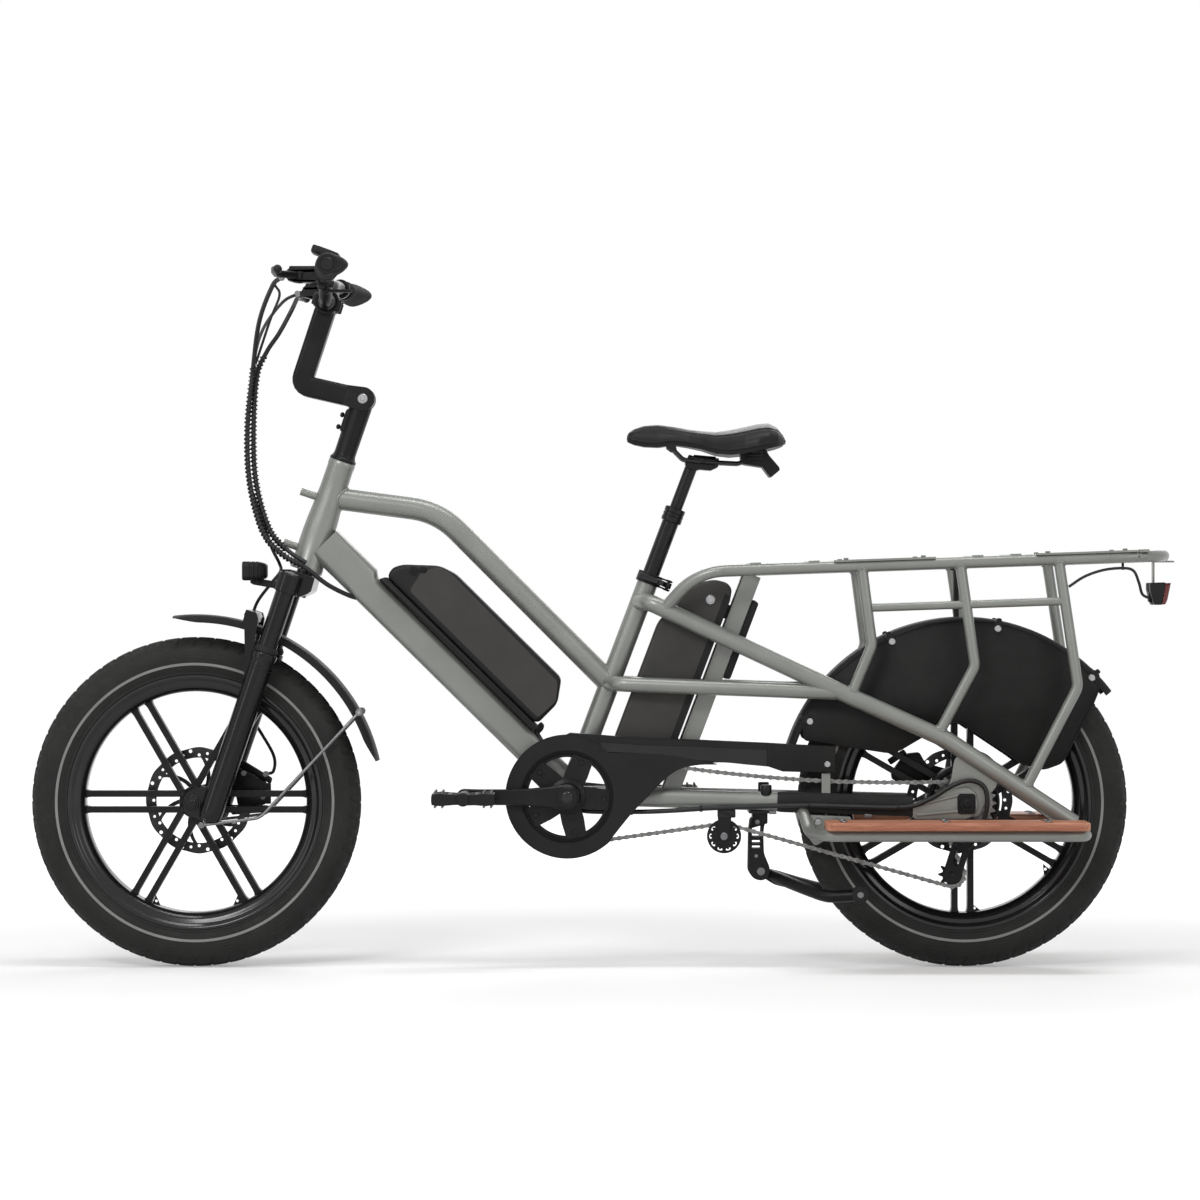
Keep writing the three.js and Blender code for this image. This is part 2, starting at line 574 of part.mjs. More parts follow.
const grip = { length: 132, back: 26, front: 15, thick: 14.5, over: 1 };
const gripShares = [[0, 1], [0.25, 1.05], [0.7, 1.15], [1, 0.95]];
function gripSolid(side) {
  const rings = gripShares.map(([along, size]) => {
    const y = handlebar.endY + grip.over - grip.length * (1 - along);
    return Array.from({ length: roundSides }, (_, i) => {
      const angle = i * 2 * Math.PI / roundSides;
      const reach = Math.cos(angle) > 0 ? grip.front + (grip.back - grip.front) * along : grip.front;
      const [x, , z] = onBar(y, reach * size * Math.cos(angle), grip.thick * size * Math.sin(angle));
      return [x, side * y, z];
    });
  });
  const [innerEnd, outerEnd] = [onBar(handlebar.gripY - overrun), onBar(handlebar.endY)];
  const bore = bar([innerEnd[0], side * innerEnd[1], innerEnd[2]], [outerEnd[0], side * outerEnd[1],
    outerEnd[2]],
    handlebar.radius + clearance, tubeSides);
  return cut(loft(rings), [bore]);
}

const lever = {
  clampY: 186, clampWidth: 20, clampRadius: 17, bodyReach: 52, bodyDrop: 6, bodyWidth: 26, bodyHeight: 20,
  pivotBack: -42, pivotY: 192, pivotRadius: 4, bladeReach: -88, bladeTipY: 322, blade: 6, gap: 0.5,
  slotIn: 9.6, eyeRadius: 8.4, tipOut: 18,
};
// The clamp and the master cylinder of one brake, with a slot for its lever
function brakeHousing(side) {
  const [cx, , cz] = onBar(lever.clampY);
  const collar = moved(drum(lever.clampRadius, -lever.clampWidth / 2, lever.clampWidth / 2, cx, cz),
    0, side * lever.clampY, 0);
  const body = box(lever.bodyReach, lever.bodyWidth, lever.bodyHeight,
    cx - lever.clampRadius - lever.bodyReach / 2
    + 2 * seatIn, side * lever.clampY, cz - lever.bodyDrop);
  const [hx, , hz] = onBar(lever.clampY, lever.pivotBack, -lever.bodyDrop);
  const slot = box(lever.bodyReach, lever.bodyWidth, lever.blade * 2 + 2 * lever.gap,
    hx - lever.bodyReach / 2 + lever.slotIn, side * (lever.clampY + lever.blade), hz);
  const pin = moved(bar([hx, 0, hz - lever.bodyHeight / 2], [hx, 0, hz + lever.bodyHeight / 2],
    lever.pivotRadius, smallSides), 0, side * lever.pivotY, 0);
  return join([cut(join([collar, body]), [slot, barTube(handlebar.radius + clearance)]), pin]);
}

function brakeLever(side) {
  const [hx, , hz] = onBar(lever.clampY, lever.pivotBack, -lever.bodyDrop);
  const eye = moved(bar([hx, 0, hz - lever.blade], [hx, 0, hz + lever.blade], lever.eyeRadius, tubeSides),
    0, side * lever.pivotY, 0);
  const [tx, , tz] = onBar(lever.bladeTipY, lever.bladeReach, -lever.bodyDrop);
  const blade = pipe([[hx, side * lever.pivotY, hz], [tx, side * (lever.pivotY + lever.tipOut), tz],
    [tx, side * lever.bladeTipY, tz]], lever.bodyReach, lever.blade, smallSides, upright);
  const hole = moved(bar([hx, 0, hz - lever.bodyHeight], [hx, 0, hz + lever.bodyHeight],
    opened(lever.pivotRadius, smallSides), smallSides), 0, side * lever.pivotY, 0);
  return cut(join([eye, blade]), [hole]);
}

const display = { y: -126, width: 46, depth: 62, height: 14, arm: 12, lift: 20, tiltAngle: 20, ring: 15 };
function displaySolid() {
  const [x, , z] = onBar(display.y);
  const collar = moved(drum(display.ring, -display.arm / 2, display.arm / 2, x, z), 0, display.y, 0);
  const arm = box(display.arm, display.arm, display.lift, x, display.y, z + display.ring + display.lift / 2
    - 2 * seatIn);
  const face = box(display.width, display.depth, display.height, x, display.y,
    z + display.ring + display.lift,
    display.tiltAngle);
  return cut(join([collar, arm, face]), [barTube(handlebar.radius + clearance)]);
}

// Thumb shifter: collar and body on the bar, and a paddle that turns on a pin below it
const shifter = {
  y: -150, width: 16, ring: 16, reach: 30, drop: 10, height: 12, pin: 3, eyeRadius: 7.8, paddle: 44,
    paddleWidth: 10,
  paddleThick: 4.8,
};
function shifterBody() {
  const [x, , z] = onBar(shifter.y);
  const collar = moved(drum(shifter.ring, -shifter.width / 2, shifter.width / 2, x, z), 0, shifter.y, 0);
  const pod = moved(drum(shifter.reach / 2, -shifter.height / 2, shifter.height / 2, 0, 0, tubeSides)
    .rotate([90, 0, 0]), x, shifter.y, z - shifter.drop - shifter.height / 2);
  const pin = bar([x, shifter.y, z - shifter.drop - shifter.height / 2],
    [x, shifter.y, z - shifter.drop - 2 * shifter.height], shifter.pin, smallSides);
  return cut(join([collar, pod, pin]), [barTube(handlebar.radius + clearance)]);
}
function shifterPaddle() {
  const [x, , z] = onBar(shifter.y);
  const level = z - shifter.drop - shifter.height - shifter.height / 2 - clearance;
  const eye = bar([x, shifter.y, level - shifter.pin], [x, shifter.y, level + shifter.pin],
    shifter.eyeRadius, tubeSides);
  const blade = box(shifter.paddle, shifter.paddleWidth, shifter.paddleThick, x + shifter.paddle / 2,
    shifter.y - shifter.paddleWidth / 3, level);
  const hole = bar([x, shifter.y, level - shifter.height], [x, shifter.y, level + shifter.height],
    opened(shifter.pin, smallSides), smallSides);
  return cut(join([eye, blade]), [hole]);
}

// Headlight in front of the head tube, on a bracket bolted to the crown
const headlight = {
  u: -80, w: -27, length: 40, width: 46, height: 32, corner: 8, arm: 8, armHalf: 5, footW: -40,
};
function headlightSolid() {
  const shell = sweep([vector(at(placedU(headlight.length / 2))), vector(at(placedU(-headlight.length / 2)))],
    chamfered(headlight.width, headlight.height, headlight.corner));
  const [lx, lz] = placedU(0);
  const arm = plate([[lx - headlight.arm, lz - headlight.height / 2 + overrun],
    [lx + headlight.arm, lz - headlight.height / 2 + overrun],
    onSteering(crown.frontU - clearance, headlight.footW + headlight.arm),
    onSteering(crown.frontU - clearance, headlight.footW - headlight.arm / 2),
    [lx - headlight.arm / 2, lz - headlight.height / 2 - headlight.arm]], -headlight.armHalf,
      headlight.armHalf);
  return join([shell, arm]);
}
function placedU(shift) {
  const [x, z] = onSteering(headlight.u, headlight.w);
  return [x + shift, z];
}

add('fork_upper', forkUpper(), blackMetal);
add('fork_lower', forkLower(), blackMetal);
add('stem_lower', stemLower(), blackMetal);
add('stem_arm', stemArmSolid(), blackMetal);
add('handlebar', handlebarSolid(), blackMetal);
add('near_grip', gripSolid(-1), rubber);
add('far_grip', gripSolid(1), rubber);
add('near_brake_housing', brakeHousing(-1), black);
add('far_brake_housing', brakeHousing(1), black);
add('near_brake_lever', brakeLever(-1), blackMetal);
add('far_brake_lever', brakeLever(1), blackMetal);
add('display', displaySolid(), black);
add('shifter', shifterBody(), black);
add('shifter_paddle', shifterPaddle(), blackMetal);
add('headlight', headlightSolid(), black);
// Wheels: rim, paired spokes and hub in one casting, with the tyre and the disc apart
const rim = { bore: 185, edge: 213, bed: 203.5, boreHalf: 16, half: 32, bedHalf: 24 };
const tyre = {
  bead: 204, beadHalf: 23.4, lip: 213.6, lipHalf: 31.4, wall: 243, shoulder: 264, shoulderHalf: 30, tread: 18,
};
const spoke = { pairCount: 6, width: 10.4, spread: 26.6, depth: 22, root: 17, tip: 190, rearAngle: 30 };
const frontHub = { radius: 26, neck: 15, half: 30, end: 44, seat: 39.65, flange: 20, bore: 7.35 };
const motorHub = {
  radius: 60, neck: 15, half: 34, end: 56, seat: 50.65, flange: 22, driveEnd: 36, bore: 7.35,
};
const disc = {
  outer: 90, inner: 72, collarRadius: 26, frontY: 41, rearY: 52, thickness: 2, armWidth: 7, sweepAngle: 26,
    holeCount: 6, hole: 4,
};

const polar = (radius, angle) => [radius * cos(angle), radius * sin(angle)];

function tyreSolid(x) {
  return turned(closed([[tyre.bead, -tyre.beadHalf], [tyre.lip, -tyre.lipHalf], [tyre.wall, -tyreHalfWidth],
    [tyre.shoulder, -tyre.shoulderHalf], [tyreRadius, -tyre.tread], [tyreRadius, tyre.tread],
    [tyre.shoulder, tyre.shoulderHalf], [tyre.wall, tyreHalfWidth], [tyre.lip, tyre.lipHalf],
    [tyre.bead, tyre.beadHalf]]), x, axleZ, wheelSides);
}

function wheelSolid(x, hub, turn) {
  const rimRing = turned(closed([[rim.bore, -rim.boreHalf], [rim.edge, -rim.half], [rim.bed, -rim.bedHalf],
    [rim.bed, rim.bedHalf], [rim.edge, rim.half], [rim.bore, rim.boreHalf]]), x, axleZ, wheelSides);
  const bars = [];
  for (let i = 0; i < spoke.pairCount; i += 1) {
    const angle = turn + i * 360 / spoke.pairCount;
    sides.forEach((side) => {
      const edges = [-spoke.width / 2, spoke.width / 2].map((edge) => edge + side * spoke.spread / 2);
      const corner = (along, edge) => [x + along * cos(angle) - edge * sin(angle),
        axleZ + along * sin(angle) + edge * cos(angle)];
      bars.push(plate([corner(spoke.root, edges[0]), corner(spoke.tip, edges[0]), corner(spoke.tip, edges[1]),
        corner(spoke.root, edges[1])], -spoke.depth / 2, spoke.depth / 2));
    });
  }
  return join([rimRing, ...bars, hub]);
}

function frontHubSolid() {
  return turned(closed([[frontHub.bore, -frontHub.end], [frontHub.neck, -frontHub.end],
    [frontHub.flange, -frontHub.half], [frontHub.radius, -spoke.depth], [frontHub.radius, spoke.depth],
    [frontHub.flange, frontHub.half], [frontHub.flange, frontHub.seat], [frontHub.neck, frontHub.seat],
    [frontHub.neck, frontHub.end], [frontHub.bore, frontHub.end]]), frontAxleX, axleZ);
}

function motorHubSolid() {
  const bevel = motorHub.radius / 8;
  return turned(closed([[motorHub.bore, -motorHub.driveEnd], [motorHub.flange, -motorHub.driveEnd],
    [motorHub.flange, -motorHub.half], [motorHub.radius - bevel, -motorHub.half],
    [motorHub.radius, -motorHub.half + bevel], [motorHub.radius, motorHub.half - bevel],
    [motorHub.radius - bevel, motorHub.half], [motorHub.flange, motorHub.half],
    [motorHub.flange, motorHub.seat], [motorHub.neck, motorHub.seat], [motorHub.neck, motorHub.end],
    [motorHub.bore, motorHub.end]]), rearAxleX, axleZ, wheelSides / 2);
}

// A brake disc: a ring with holes on curved arms round a small collar
function discSolid(x, y) {
  const [y0, y1] = [y - disc.thickness / 2, y + disc.thickness / 2];
  const parts = [ring(disc.inner, disc.outer, y0, y1, x, axleZ, wheelSides / 2),
    ring(frontHub.neck + 2 * clearance, disc.collarRadius, y0, y1, x, axleZ)];
  const arm = disc.armWidth;
  for (let i = 0; i < spoke.pairCount; i += 1) {
    const turn = i * 360 / spoke.pairCount;
    const middle = (disc.collarRadius + disc.inner) / 2;
    const slant = (radius) => arm / radius / degree;
    const outline = [
      polar(disc.collarRadius - overrun, turn - slant(disc.collarRadius) / 2),
      polar(middle, turn + disc.sweepAngle / 2 - slant(middle) / 2),
      polar(disc.inner + overrun, turn + disc.sweepAngle - slant(disc.inner) / 2),
      polar(disc.inner + overrun, turn + disc.sweepAngle + slant(disc.inner) / 2),
      polar(middle, turn + disc.sweepAngle / 2 + slant(middle) / 2),
      polar(disc.collarRadius - overrun, turn + slant(disc.collarRadius) / 2),
    ];
    parts.push(plate(placed(outline, x, axleZ), y0, y1));
  }
  const holes = Array.from({ length: disc.holeCount }, (_, i) => {
    const [a, b] = polar((disc.inner + disc.outer) / 2, (i + 0.5) * 360 / disc.holeCount);
    return drum(disc.hole, y0 - overrun, y1 + overrun, x + a, axleZ + b, 4);
  });
  return cut(join(parts), holes);
}

add('front_wheel', wheelSolid(frontAxleX, frontHubSolid(), 0), blackMetal);
add('rear_wheel', wheelSolid(rearAxleX, motorHubSolid(), spoke.rearAngle), blackMetal);
add('front_tyre', tyreSolid(frontAxleX), rubber);
add('rear_tyre', tyreSolid(rearAxleX), rubber);
add('front_disc', discSolid(frontAxleX, disc.frontY), blackMetal);
add('rear_disc', discSolid(rearAxleX, disc.rearY), blackMetal);

// Rear axle with its nuts outside the dropouts
const rearAxle = { radius: 7, nut: 15, nutDepth: 8, end: 88 };
function rearAxleSolid() {
  const face = dropout.inner + dropout.thickness + clearance;
  return join([drum(rearAxle.radius, -rearAxle.end, rearAxle.end, rearAxleX, axleZ, tubeSides),
    ...sides.map((side) => moved(drum(rearAxle.nut, -rearAxle.nutDepth / 2, rearAxle.nutDepth / 2, rearAxleX,
      axleZ,
      smallSides), 0, side * (face + rearAxle.nutDepth / 2), 0))]);
}
add('rear_axle', rearAxleSolid(), steel);

// Drive: all wheels of the chain lie in one plane
const pitch = 12.7;
const chainY = -52;
const pitchRadius = (teeth) => pitch / 2 / sin(180 / teeth);
const tooth = { half: 1, rise: 3, fall: 3.4 };
const chainring = { teeth: 40, bore: 66, hub: 20, armWidth: 16, armCount: 5 };
const cassette = { teeth: [12, 15, 18, 21, 25], pitch: 4.8, engaged: 2, core: 16 };
const guideAhead = 3;
const tensionAhead = 21;
const pulley = {
  teeth: 10, hub: 6, hubHalf: 3.8, pin: 2.5, guideX: rearAxleX - guideAhead, guideZ: 214,
    tensionX: rearAxleX - tensionAhead,
  tensionZ: 157, idlerX: 199, idlerZ: 221,
};
const idler = { rim: 29, faceY: 5, faceDepth: 1.5, pin: 4, hole: 4, holeCount: 5, holeRadius: 19 };
const chain = {
  plateIn: 1.6, plateOut: 3.1, half: 4, pin: 3.9, sag: 42, arcAngle: 19, sagSteps: 8, tipGap: 0.4,
};

function sprocketPlate(teeth, x, z, y, half = tooth.half, hole = 0) {
  const radius = pitchRadius(teeth);
  const outline = placed(toothed(teeth, radius - tooth.fall, radius + tooth.rise), x, z);
  const holes = hole ? [placed(circle(hole, roundSides), x, z)] : [];
  return plate(outline, y - half, y + half, holes);
}

function cassetteSolid() {
  const plates = cassette.teeth.map((teeth, i) => (
    sprocketPlate(teeth, rearAxleX, axleZ, chainY + (i - cassette.engaged) * cassette.pitch)));
  const outer = chainY - (cassette.engaged + 1) * cassette.pitch;
  const core = drum(cassette.core, outer, -motorHub.driveEnd - clearance, rearAxleX, axleZ);
  const bore = drum(opened(rearAxle.radius, tubeSides), outer - overrun, 0, rearAxleX, axleZ, tubeSides);
  return cut(join([core, ...plates]), [bore]);
}

function pulleySolid(x, z, radius) {
  const body = join([sprocketPlate(pulley.teeth, x, z, chainY),
    drum(pulley.hub, chainY - pulley.hubHalf, chainY + pulley.hubHalf, x, z, tubeSides)]);
  return cut(body, [drum(radius, chainY - pulley.hub, chainY + pulley.hub, x, z, tubeSides)]);
}

function idlerSolid() {
  const { idlerX: x, idlerZ: z } = pulley;
  const face = ring(pulley.hub, idler.rim, chainY - idler.faceY - idler.faceDepth, chainY - idler.faceY, x,
    z);
  const hub = drum(pulley.hub * 2, chainY - idler.faceY - idler.faceDepth, chainY + pulley.hubHalf, x, z);
  const holes = Array.from({ length: idler.holeCount }, (_, i) => {
    const [a, b] = polar(idler.holeRadius, i * 360 / idler.holeCount);
    return drum(idler.hole, chainY - 2 * idler.faceY, chainY - idler.faceY + idler.faceDepth, x + a, z + b,
      smallSides);
  });
  return cut(join([sprocketPlate(pulley.teeth, x, z, chainY), face, hub]),
    [...holes, drum(opened(idler.pin, tubeSides), chainY - 2 * pulley.hub, chainY + pulley.hub, x, z,
      tubeSides)]);
}

// The chain's centre line: arcs on the wheels, straight runs between them and a sagging upper run
const wheelsOfChain = [
  { x: crankX, z: crankZ, radius: pitchRadius(chainring.teeth), turn: -1 },
  { x: (crankX + rearAxleX) / 2, z: (crankZ + pitchRadius(chainring.teeth) + axleZ
    + pitchRadius(cassette.teeth[cassette.engaged])) / 2 - chain.sag, radius: 0, turn: 1 },
  { x: rearAxleX, z: axleZ, radius: pitchRadius(cassette.teeth[cassette.engaged]), turn: -1 },
  { x: pulley.guideX, z: pulley.guideZ, radius: pitchRadius(pulley.teeth), turn: 1 },
  { x: pulley.tensionX, z: pulley.tensionZ, radius: pitchRadius(pulley.teeth), turn: -1 },
  { x: pulley.idlerX, z: pulley.idlerZ, radius: pitchRadius(pulley.teeth), turn: 1 },
];

function tangentLine(a, b) {
  const [dx, dz] = [b.x - a.x, b.z - a.z];
  const heading = Math.atan2(dz, dx) - Math.asin((b.turn * b.radius - a.turn * a.radius) / Math.hypot(dx,
    dz));
  const [nx, nz] = [-Math.sin(heading), Math.cos(heading)];
  return [a, b].map((wheel) => [wheel.x - wheel.turn * wheel.radius * nx,
    wheel.z - wheel.turn * wheel.radius * nz]);
}

function chainLine() {
  const count = wheelsOfChain.length;
  const lines = wheelsOfChain.map((wheel, i) => tangentLine(wheel, wheelsOfChain[(i + 1) % count]));
  const points = [];
  wheelsOfChain.forEach((wheel, i) => {
    const arrive = lines[(i + count - 1) % count][1];
    const leave = lines[i][0];
    if (wheel.radius === 0) {
      const start = new THREE.Vector2(...lines[i - 1][0]);
      const curve = new THREE.QuadraticBezierCurve(start, new THREE.Vector2(wheel.x, wheel.z),
        new THREE.Vector2(...lines[i][1]));
      curve.getPoints(chain.sagSteps).slice(1, -1).forEach((p) => points.push([p.x, p.y]));
      return;
    }
    const from = Math.atan2(arrive[1] - wheel.z, arrive[0] - wheel.x) / degree;
    const to = Math.atan2(leave[1] - wheel.z, leave[0] - wheel.x) / degree;
    const span = (((to - from) * wheel.turn) % 360 + 360) % 360;
    const steps = Math.max(1, Math.round(span / chain.arcAngle));
    for (let k = 0; k <= steps; k += 1) {
      const [a, b] = polar(wheel.radius, from + wheel.turn * span * k / steps);
      points.push([wheel.x + a, wheel.z + b]);
    }
  });
  return points;
}

// A closed outline moved sideways by a distance: to the right of its direction where positive
function offset(outline, distance) {
  const count = outline.length;
  return outline.map(([x, z], i) => {
    const [x0, z0] = outline[(i + count - 1) % count];
    const [x1, z1] = outline[(i + 1) % count];
    const [ax, az] = [x - x0, z - z0];
    const [bx, bz] = [x1 - x, z1 - z];
    const [la, lb] = [Math.hypot(ax, az), Math.hypot(bx, bz)];
    const [nx, nz] = [az / la + bz / lb, -ax / la - bx / lb];
    const scale = 2 * distance / (nx * nx + nz * nz);
    return [x + nx * scale, z + nz * scale];
  });
}

function chainSolid() {
  const line = chainLine();
  const [inside, outside] = [offset(line, chain.half), offset(line, -chain.half)];
  const strips = sides.map((side) => {
    const [y0, y1] = [side * chain.plateIn, side * chain.plateOut].sort((a, b) => a - b);
    return cut(plate(outside, chainY + y0, chainY + y1), [
      plate(inside, chainY + y0 - overrun, chainY + y1 + overrun)]);
  });
  const pins = [];
  let travelled = 0;
  const link = 2 * pitch;
  line.forEach(([x, z], i) => {
    const [x1, z1] = line[(i + 1) % line.length];
    const length = Math.hypot(x1 - x, z1 - z);
    for (let next = Math.ceil(travelled / link) * link; next < travelled + length; next += link) {
      const share = (next - travelled) / length;
      const [px, pz] = [x + (x1 - x) * share, z + (z1 - z) * share];
      const free = wheelsOfChain.every((wheel) => !wheel.radius
        || Math.hypot(px - wheel.x, pz - wheel.z) - chain.pin > wheel.radius + tooth.rise + chain.tipGap);
      if (free) pins.push(drum(chain.pin, chainY - chain.plateOut, chainY + chain.plateOut, px, pz, 4));
    }
    travelled += length;
  });
  return join([...strips, ...pins]);
}

// Cranks: the far arm carries the spindle, the near arm and the chainring sit on its end
const crank = {
  spindle: 12.15, arm: 170, innerY: 75, outerY: 88, eyeRadius: 16, pedalEyeRadius: 13, bore: 12.5,
  pedalAxle: 5, pedalEnd: 180,
};
const pedal = { length: 104, height: 28, innerY: 95, outerY: 175, corner: 10, core: 12, wall: 12 };

function crankArm(side) {
  const reach = side * crank.arm;
  const outline = [];
  const steps = 6;
  for (let i = 0; i <= steps; i += 1) outline.push(polar(crank.eyeRadius, 90 + 180 * i / steps));
  for (let i = 0; i <= steps; i += 1) {
    const [a, b] = polar(crank.pedalEyeRadius, -90 + 180 * i / steps);
    outline.push([a + crank.arm, b]);
  }
  const shape = placed(outline.map(([a, b]) => [a * side, b]), crankX, crankZ);
  const [y0, y1] = side < 0 ? [-crank.outerY, -crank.innerY] : [crank.innerY, crank.outerY];
  const axle = [side * (crank.innerY + overrun), side * crank.pedalEnd].sort((a, b) => a - b);
  return join([plate(shape, y0, y1), drum(crank.pedalAxle, ...axle, crankX + reach, crankZ, tubeSides)]);
}

function nearCrankArm() {
  return cut(crankArm(-1), [drum(crank.bore, -crank.outerY - overrun, 0, crankX, crankZ)]);
}
function farCrankArm() {
  return join([crankArm(1), drum(crank.spindle, -crank.outerY, crank.innerY + overrun, crankX, crankZ)]);
}

function chainringSolid() {
  const outer = sprocketPlate(chainring.teeth, crankX, crankZ, chainY, tooth.half, chainring.bore);
  const hub = drum(chainring.hub, -crank.innerY + clearance, chainY + overrun, crankX, crankZ);
  const arms = Array.from({ length: chainring.armCount }, (_, i) => {
    const turn = 360 * i / chainring.armCount;
    const [a, b] = [chainring.armWidth / 2, chainring.bore + overrun * 2];
    const outline = [[0, -a], [b, -a / 2], [b, a / 2], [0, a]].map(([p, q]) => [
      p * cos(turn) - q * sin(turn), p * sin(turn) + q * cos(turn)]);
    return plate(placed(outline, crankX, crankZ), chainY - 2 * tooth.half, chainY - tooth.half / 2);
  });
  return cut(join([outer, hub, ...arms]), [drum(crank.bore, -crank.outerY, 0, crankX, crankZ)]);
}

function pedalSolid(side) {
  const [x, z] = [crankX + side * crank.arm, crankZ];
  const block = sweep([vector([x, pedal.innerY, z]), vector([x, pedal.outerY, z])],
    chamfered(pedal.length, pedal.height, pedal.corner), lengthwise);
  const depth = pedal.outerY - pedal.innerY - 2 * pedal.wall;
  const width = (pedal.length - 2 * pedal.core - 2 * pedal.wall) / 2;
  const windows = sides.map((half) => box(width, depth, 2 * pedal.height,
    x + half * (pedal.core + width / 2), (pedal.innerY + pedal.outerY) / 2, z));
  const bore = drum(opened(crank.pedalAxle, tubeSides), pedal.innerY - overrun, crank.pedalEnd + clearance,
    x, z,
    tubeSides);
  const solid = cut(block, [...windows, bore]);
  return side > 0 ? solid : mirrored(solid);
}

add('chainring', chainringSolid(), blackMetal);
add('near_crank_arm', nearCrankArm(), blackMetal);
add('far_crank_arm', farCrankArm(), blackMetal);
add('near_pedal', pedalSolid(-1), black);
add('far_pedal', pedalSolid(1), black);
add('chain', chainSolid(), steel);
add('cassette', cassetteSolid(), steel);
add('guide_jockey', pulleySolid(pulley.guideX, pulley.guideZ, opened(pulley.pin, tubeSides)), black);
add('tension_jockey', pulleySolid(pulley.tensionX, pulley.tensionZ, opened(pulley.pin, tubeSides)), black);
add('idler_wheel', idlerSolid(), blackMetal);
// A plate with its edges drawn in at both faces
function pillow(outline, y0, y1, edge) {
  const level = (y, inset) => offset(outline, inset).map(([x, z]) => [x, y, z]);
  return loft([level(y0, edge), level(y0 + edge, 0), level(y1 - edge, 0), level(y1, edge)]);
}
// The same outline turned so that a positive offset draws it in
const clockwise = (outline) => {
  const area = outline.reduce((sum, [x, z], i) => {
    const [x1, z1] = outline[(i + 1) % outline.length];
    return sum + x * z1 - x1 * z;
  }, 0);
  return area < 0 ? outline : outline.slice().reverse();
};
const scaled = (shares, reach, x, z) => shares.map(([a, b]) => [x + a * reach, z + b * reach]);

// Chain case: a plate outside the chainring with a wall along its upper edge
const caseReach = 103;
const chainCase = { outerY: 66.5, thickness: 2.5, wallY: 44, wall: 2, hole: 75 };
const caseLug = { x: 150, width: 16, low: 274, high: 345, gapY: 53.75 };
const caseTopShares = [
  [0.044, 1.030], [0.528, 0.997], [1.173, 0.949], [2.142, 0.917], [3.239, 0.868], [4.321, 0.804]];
const caseLowShares = [
  [4.321, 0.400], [3.465, 0.416], [3.465, 0.465], [2.949, 0.513], [2.449, 0.553], [1.980, 0.497],
  [1.625, 0.400], [1.319, 0.174], [1.093, -0.133], [0.722, -0.665]];
const caseMouthShares = [
  [4.5, 0.770], [3.2, 0.820], [2.1, 0.870], [1.2, 0.880], [0.6, 0.3], [0.3, -0.5], [0.3, -1.2], [4.5, -1.2]];

function chainCaseSolid() {
  const arcSteps = 16;
  const angleOf = ([a, b]) => Math.atan2(b, a) / degree;
  const first = angleOf(caseLowShares[caseLowShares.length - 1]);
  const last = angleOf(caseTopShares[0]) - 360;
  const round = Array.from({ length: arcSteps - 1 }, (_, i) => {
    const [a, b] = polar(1, first + (last - first) * (i + 1) / arcSteps);
    return [a, b];
  });
  const outline = clockwise(scaled([...caseTopShares, ...caseLowShares, ...round], caseReach, crankX,
    crankZ));
  const mouth = scaled(caseMouthShares, caseReach, crankX, crankZ);
  const [face, inner] = [-chainCase.outerY + chainCase.thickness, -chainCase.wallY];
  const body = cut(plate(outline, -chainCase.outerY, inner), [
    plate(offset(outline, chainCase.wall), face, inner + overrun),
    plate(mouth, face, inner + overrun),
    drum(chainCase.hole, -chainCase.outerY - overrun, inner, crankX, crankZ, wheelSides / 2),
  ]);
  const { x, width, low, high, gapY } = caseLug;
  const middle = -(chainCase.outerY + chainCase.outerY - chainCase.thickness) / 2;
  return join([body, box(width, chainCase.thickness, high - low, x, middle, (high + low) / 2),
    box(width, chainCase.outerY - gapY, width, x, -(chainCase.outerY + gapY) / 2, low + width / 2)]);
}

// Derailleur: body at the dropout, cage plates round the two jockey wheels
const cage = {
  plateIn: 4.2, plateOut: 5.7, radius: 12, bodyRadius: 13, bodyBack: 2, bodyZ: 226, bodyOutY: 82, lugBack: 6,
    lugZ: 245,
};
function capsule([ax, az], [bx, bz], radius, count = 12) {
  const heading = Math.atan2(bz - az, bx - ax) / degree;
  const half = count / 2;
  const end = (x, z, from) => Array.from({ length: half }, (_, i) => {
    const [a, b] = polar(radius, from + 180 * i / (half - 1));
    return [x + a, z + b];
  });
  return [...end(bx, bz, heading - 90), ...end(ax, az, heading + 90)];
}
function derailleurSolid() {
  const guide = [pulley.guideX, pulley.guideZ];
  const tension = [pulley.tensionX, pulley.tensionZ];
  const arms = sides.map((side) => {
    const [y0, y1] = [side * cage.plateIn, side * cage.plateOut].sort((a, b) => a - b);
    return plate(capsule(guide, tension, cage.radius), chainY + y0, chainY + y1);
  });
  const pins = [guide, tension].map(([x, z]) => (
    drum(pulley.pin, chainY - cage.plateOut, chainY + cage.plateOut, x, z, tubeSides)));
  const outer = chainY - cage.plateOut;
  const body = [rearAxleX + cage.bodyBack, cage.bodyZ];
  return join([...arms, ...pins,
    plate(capsule(body, guide, cage.bodyRadius), -cage.bodyOutY, outer + overrun / 2),
    plate(capsule([rearAxleX + cage.lugBack, cage.lugZ], body, cage.bodyRadius / 2),
      -cage.bodyOutY, -dropout.inner),
  ]);
}

// The idler hangs on a bracket under the near chain stay
const idlerBracket = { width: 12, innerY: 59, outerY: 62, topZ: 262, footX: 213, foot: 16 };
function idlerBracketSolid() {
  const { idlerX: x, idlerZ: z } = pulley;
  const { width, innerY, outerY, topZ, footX } = idlerBracket;
  return join([
    plate(capsule([x, z], [footX, topZ - width / 2], width / 2), -outerY, -innerY),
    box(idlerBracket.foot, outerY - pulley.hub, outerY - innerY, footX,
      -(outerY + pulley.hub) / 2 + overrun / 2, topZ - width / 4),
    drum(idler.pin, -outerY, chainY + pulley.hub, x, z, tubeSides),
  ]);
}

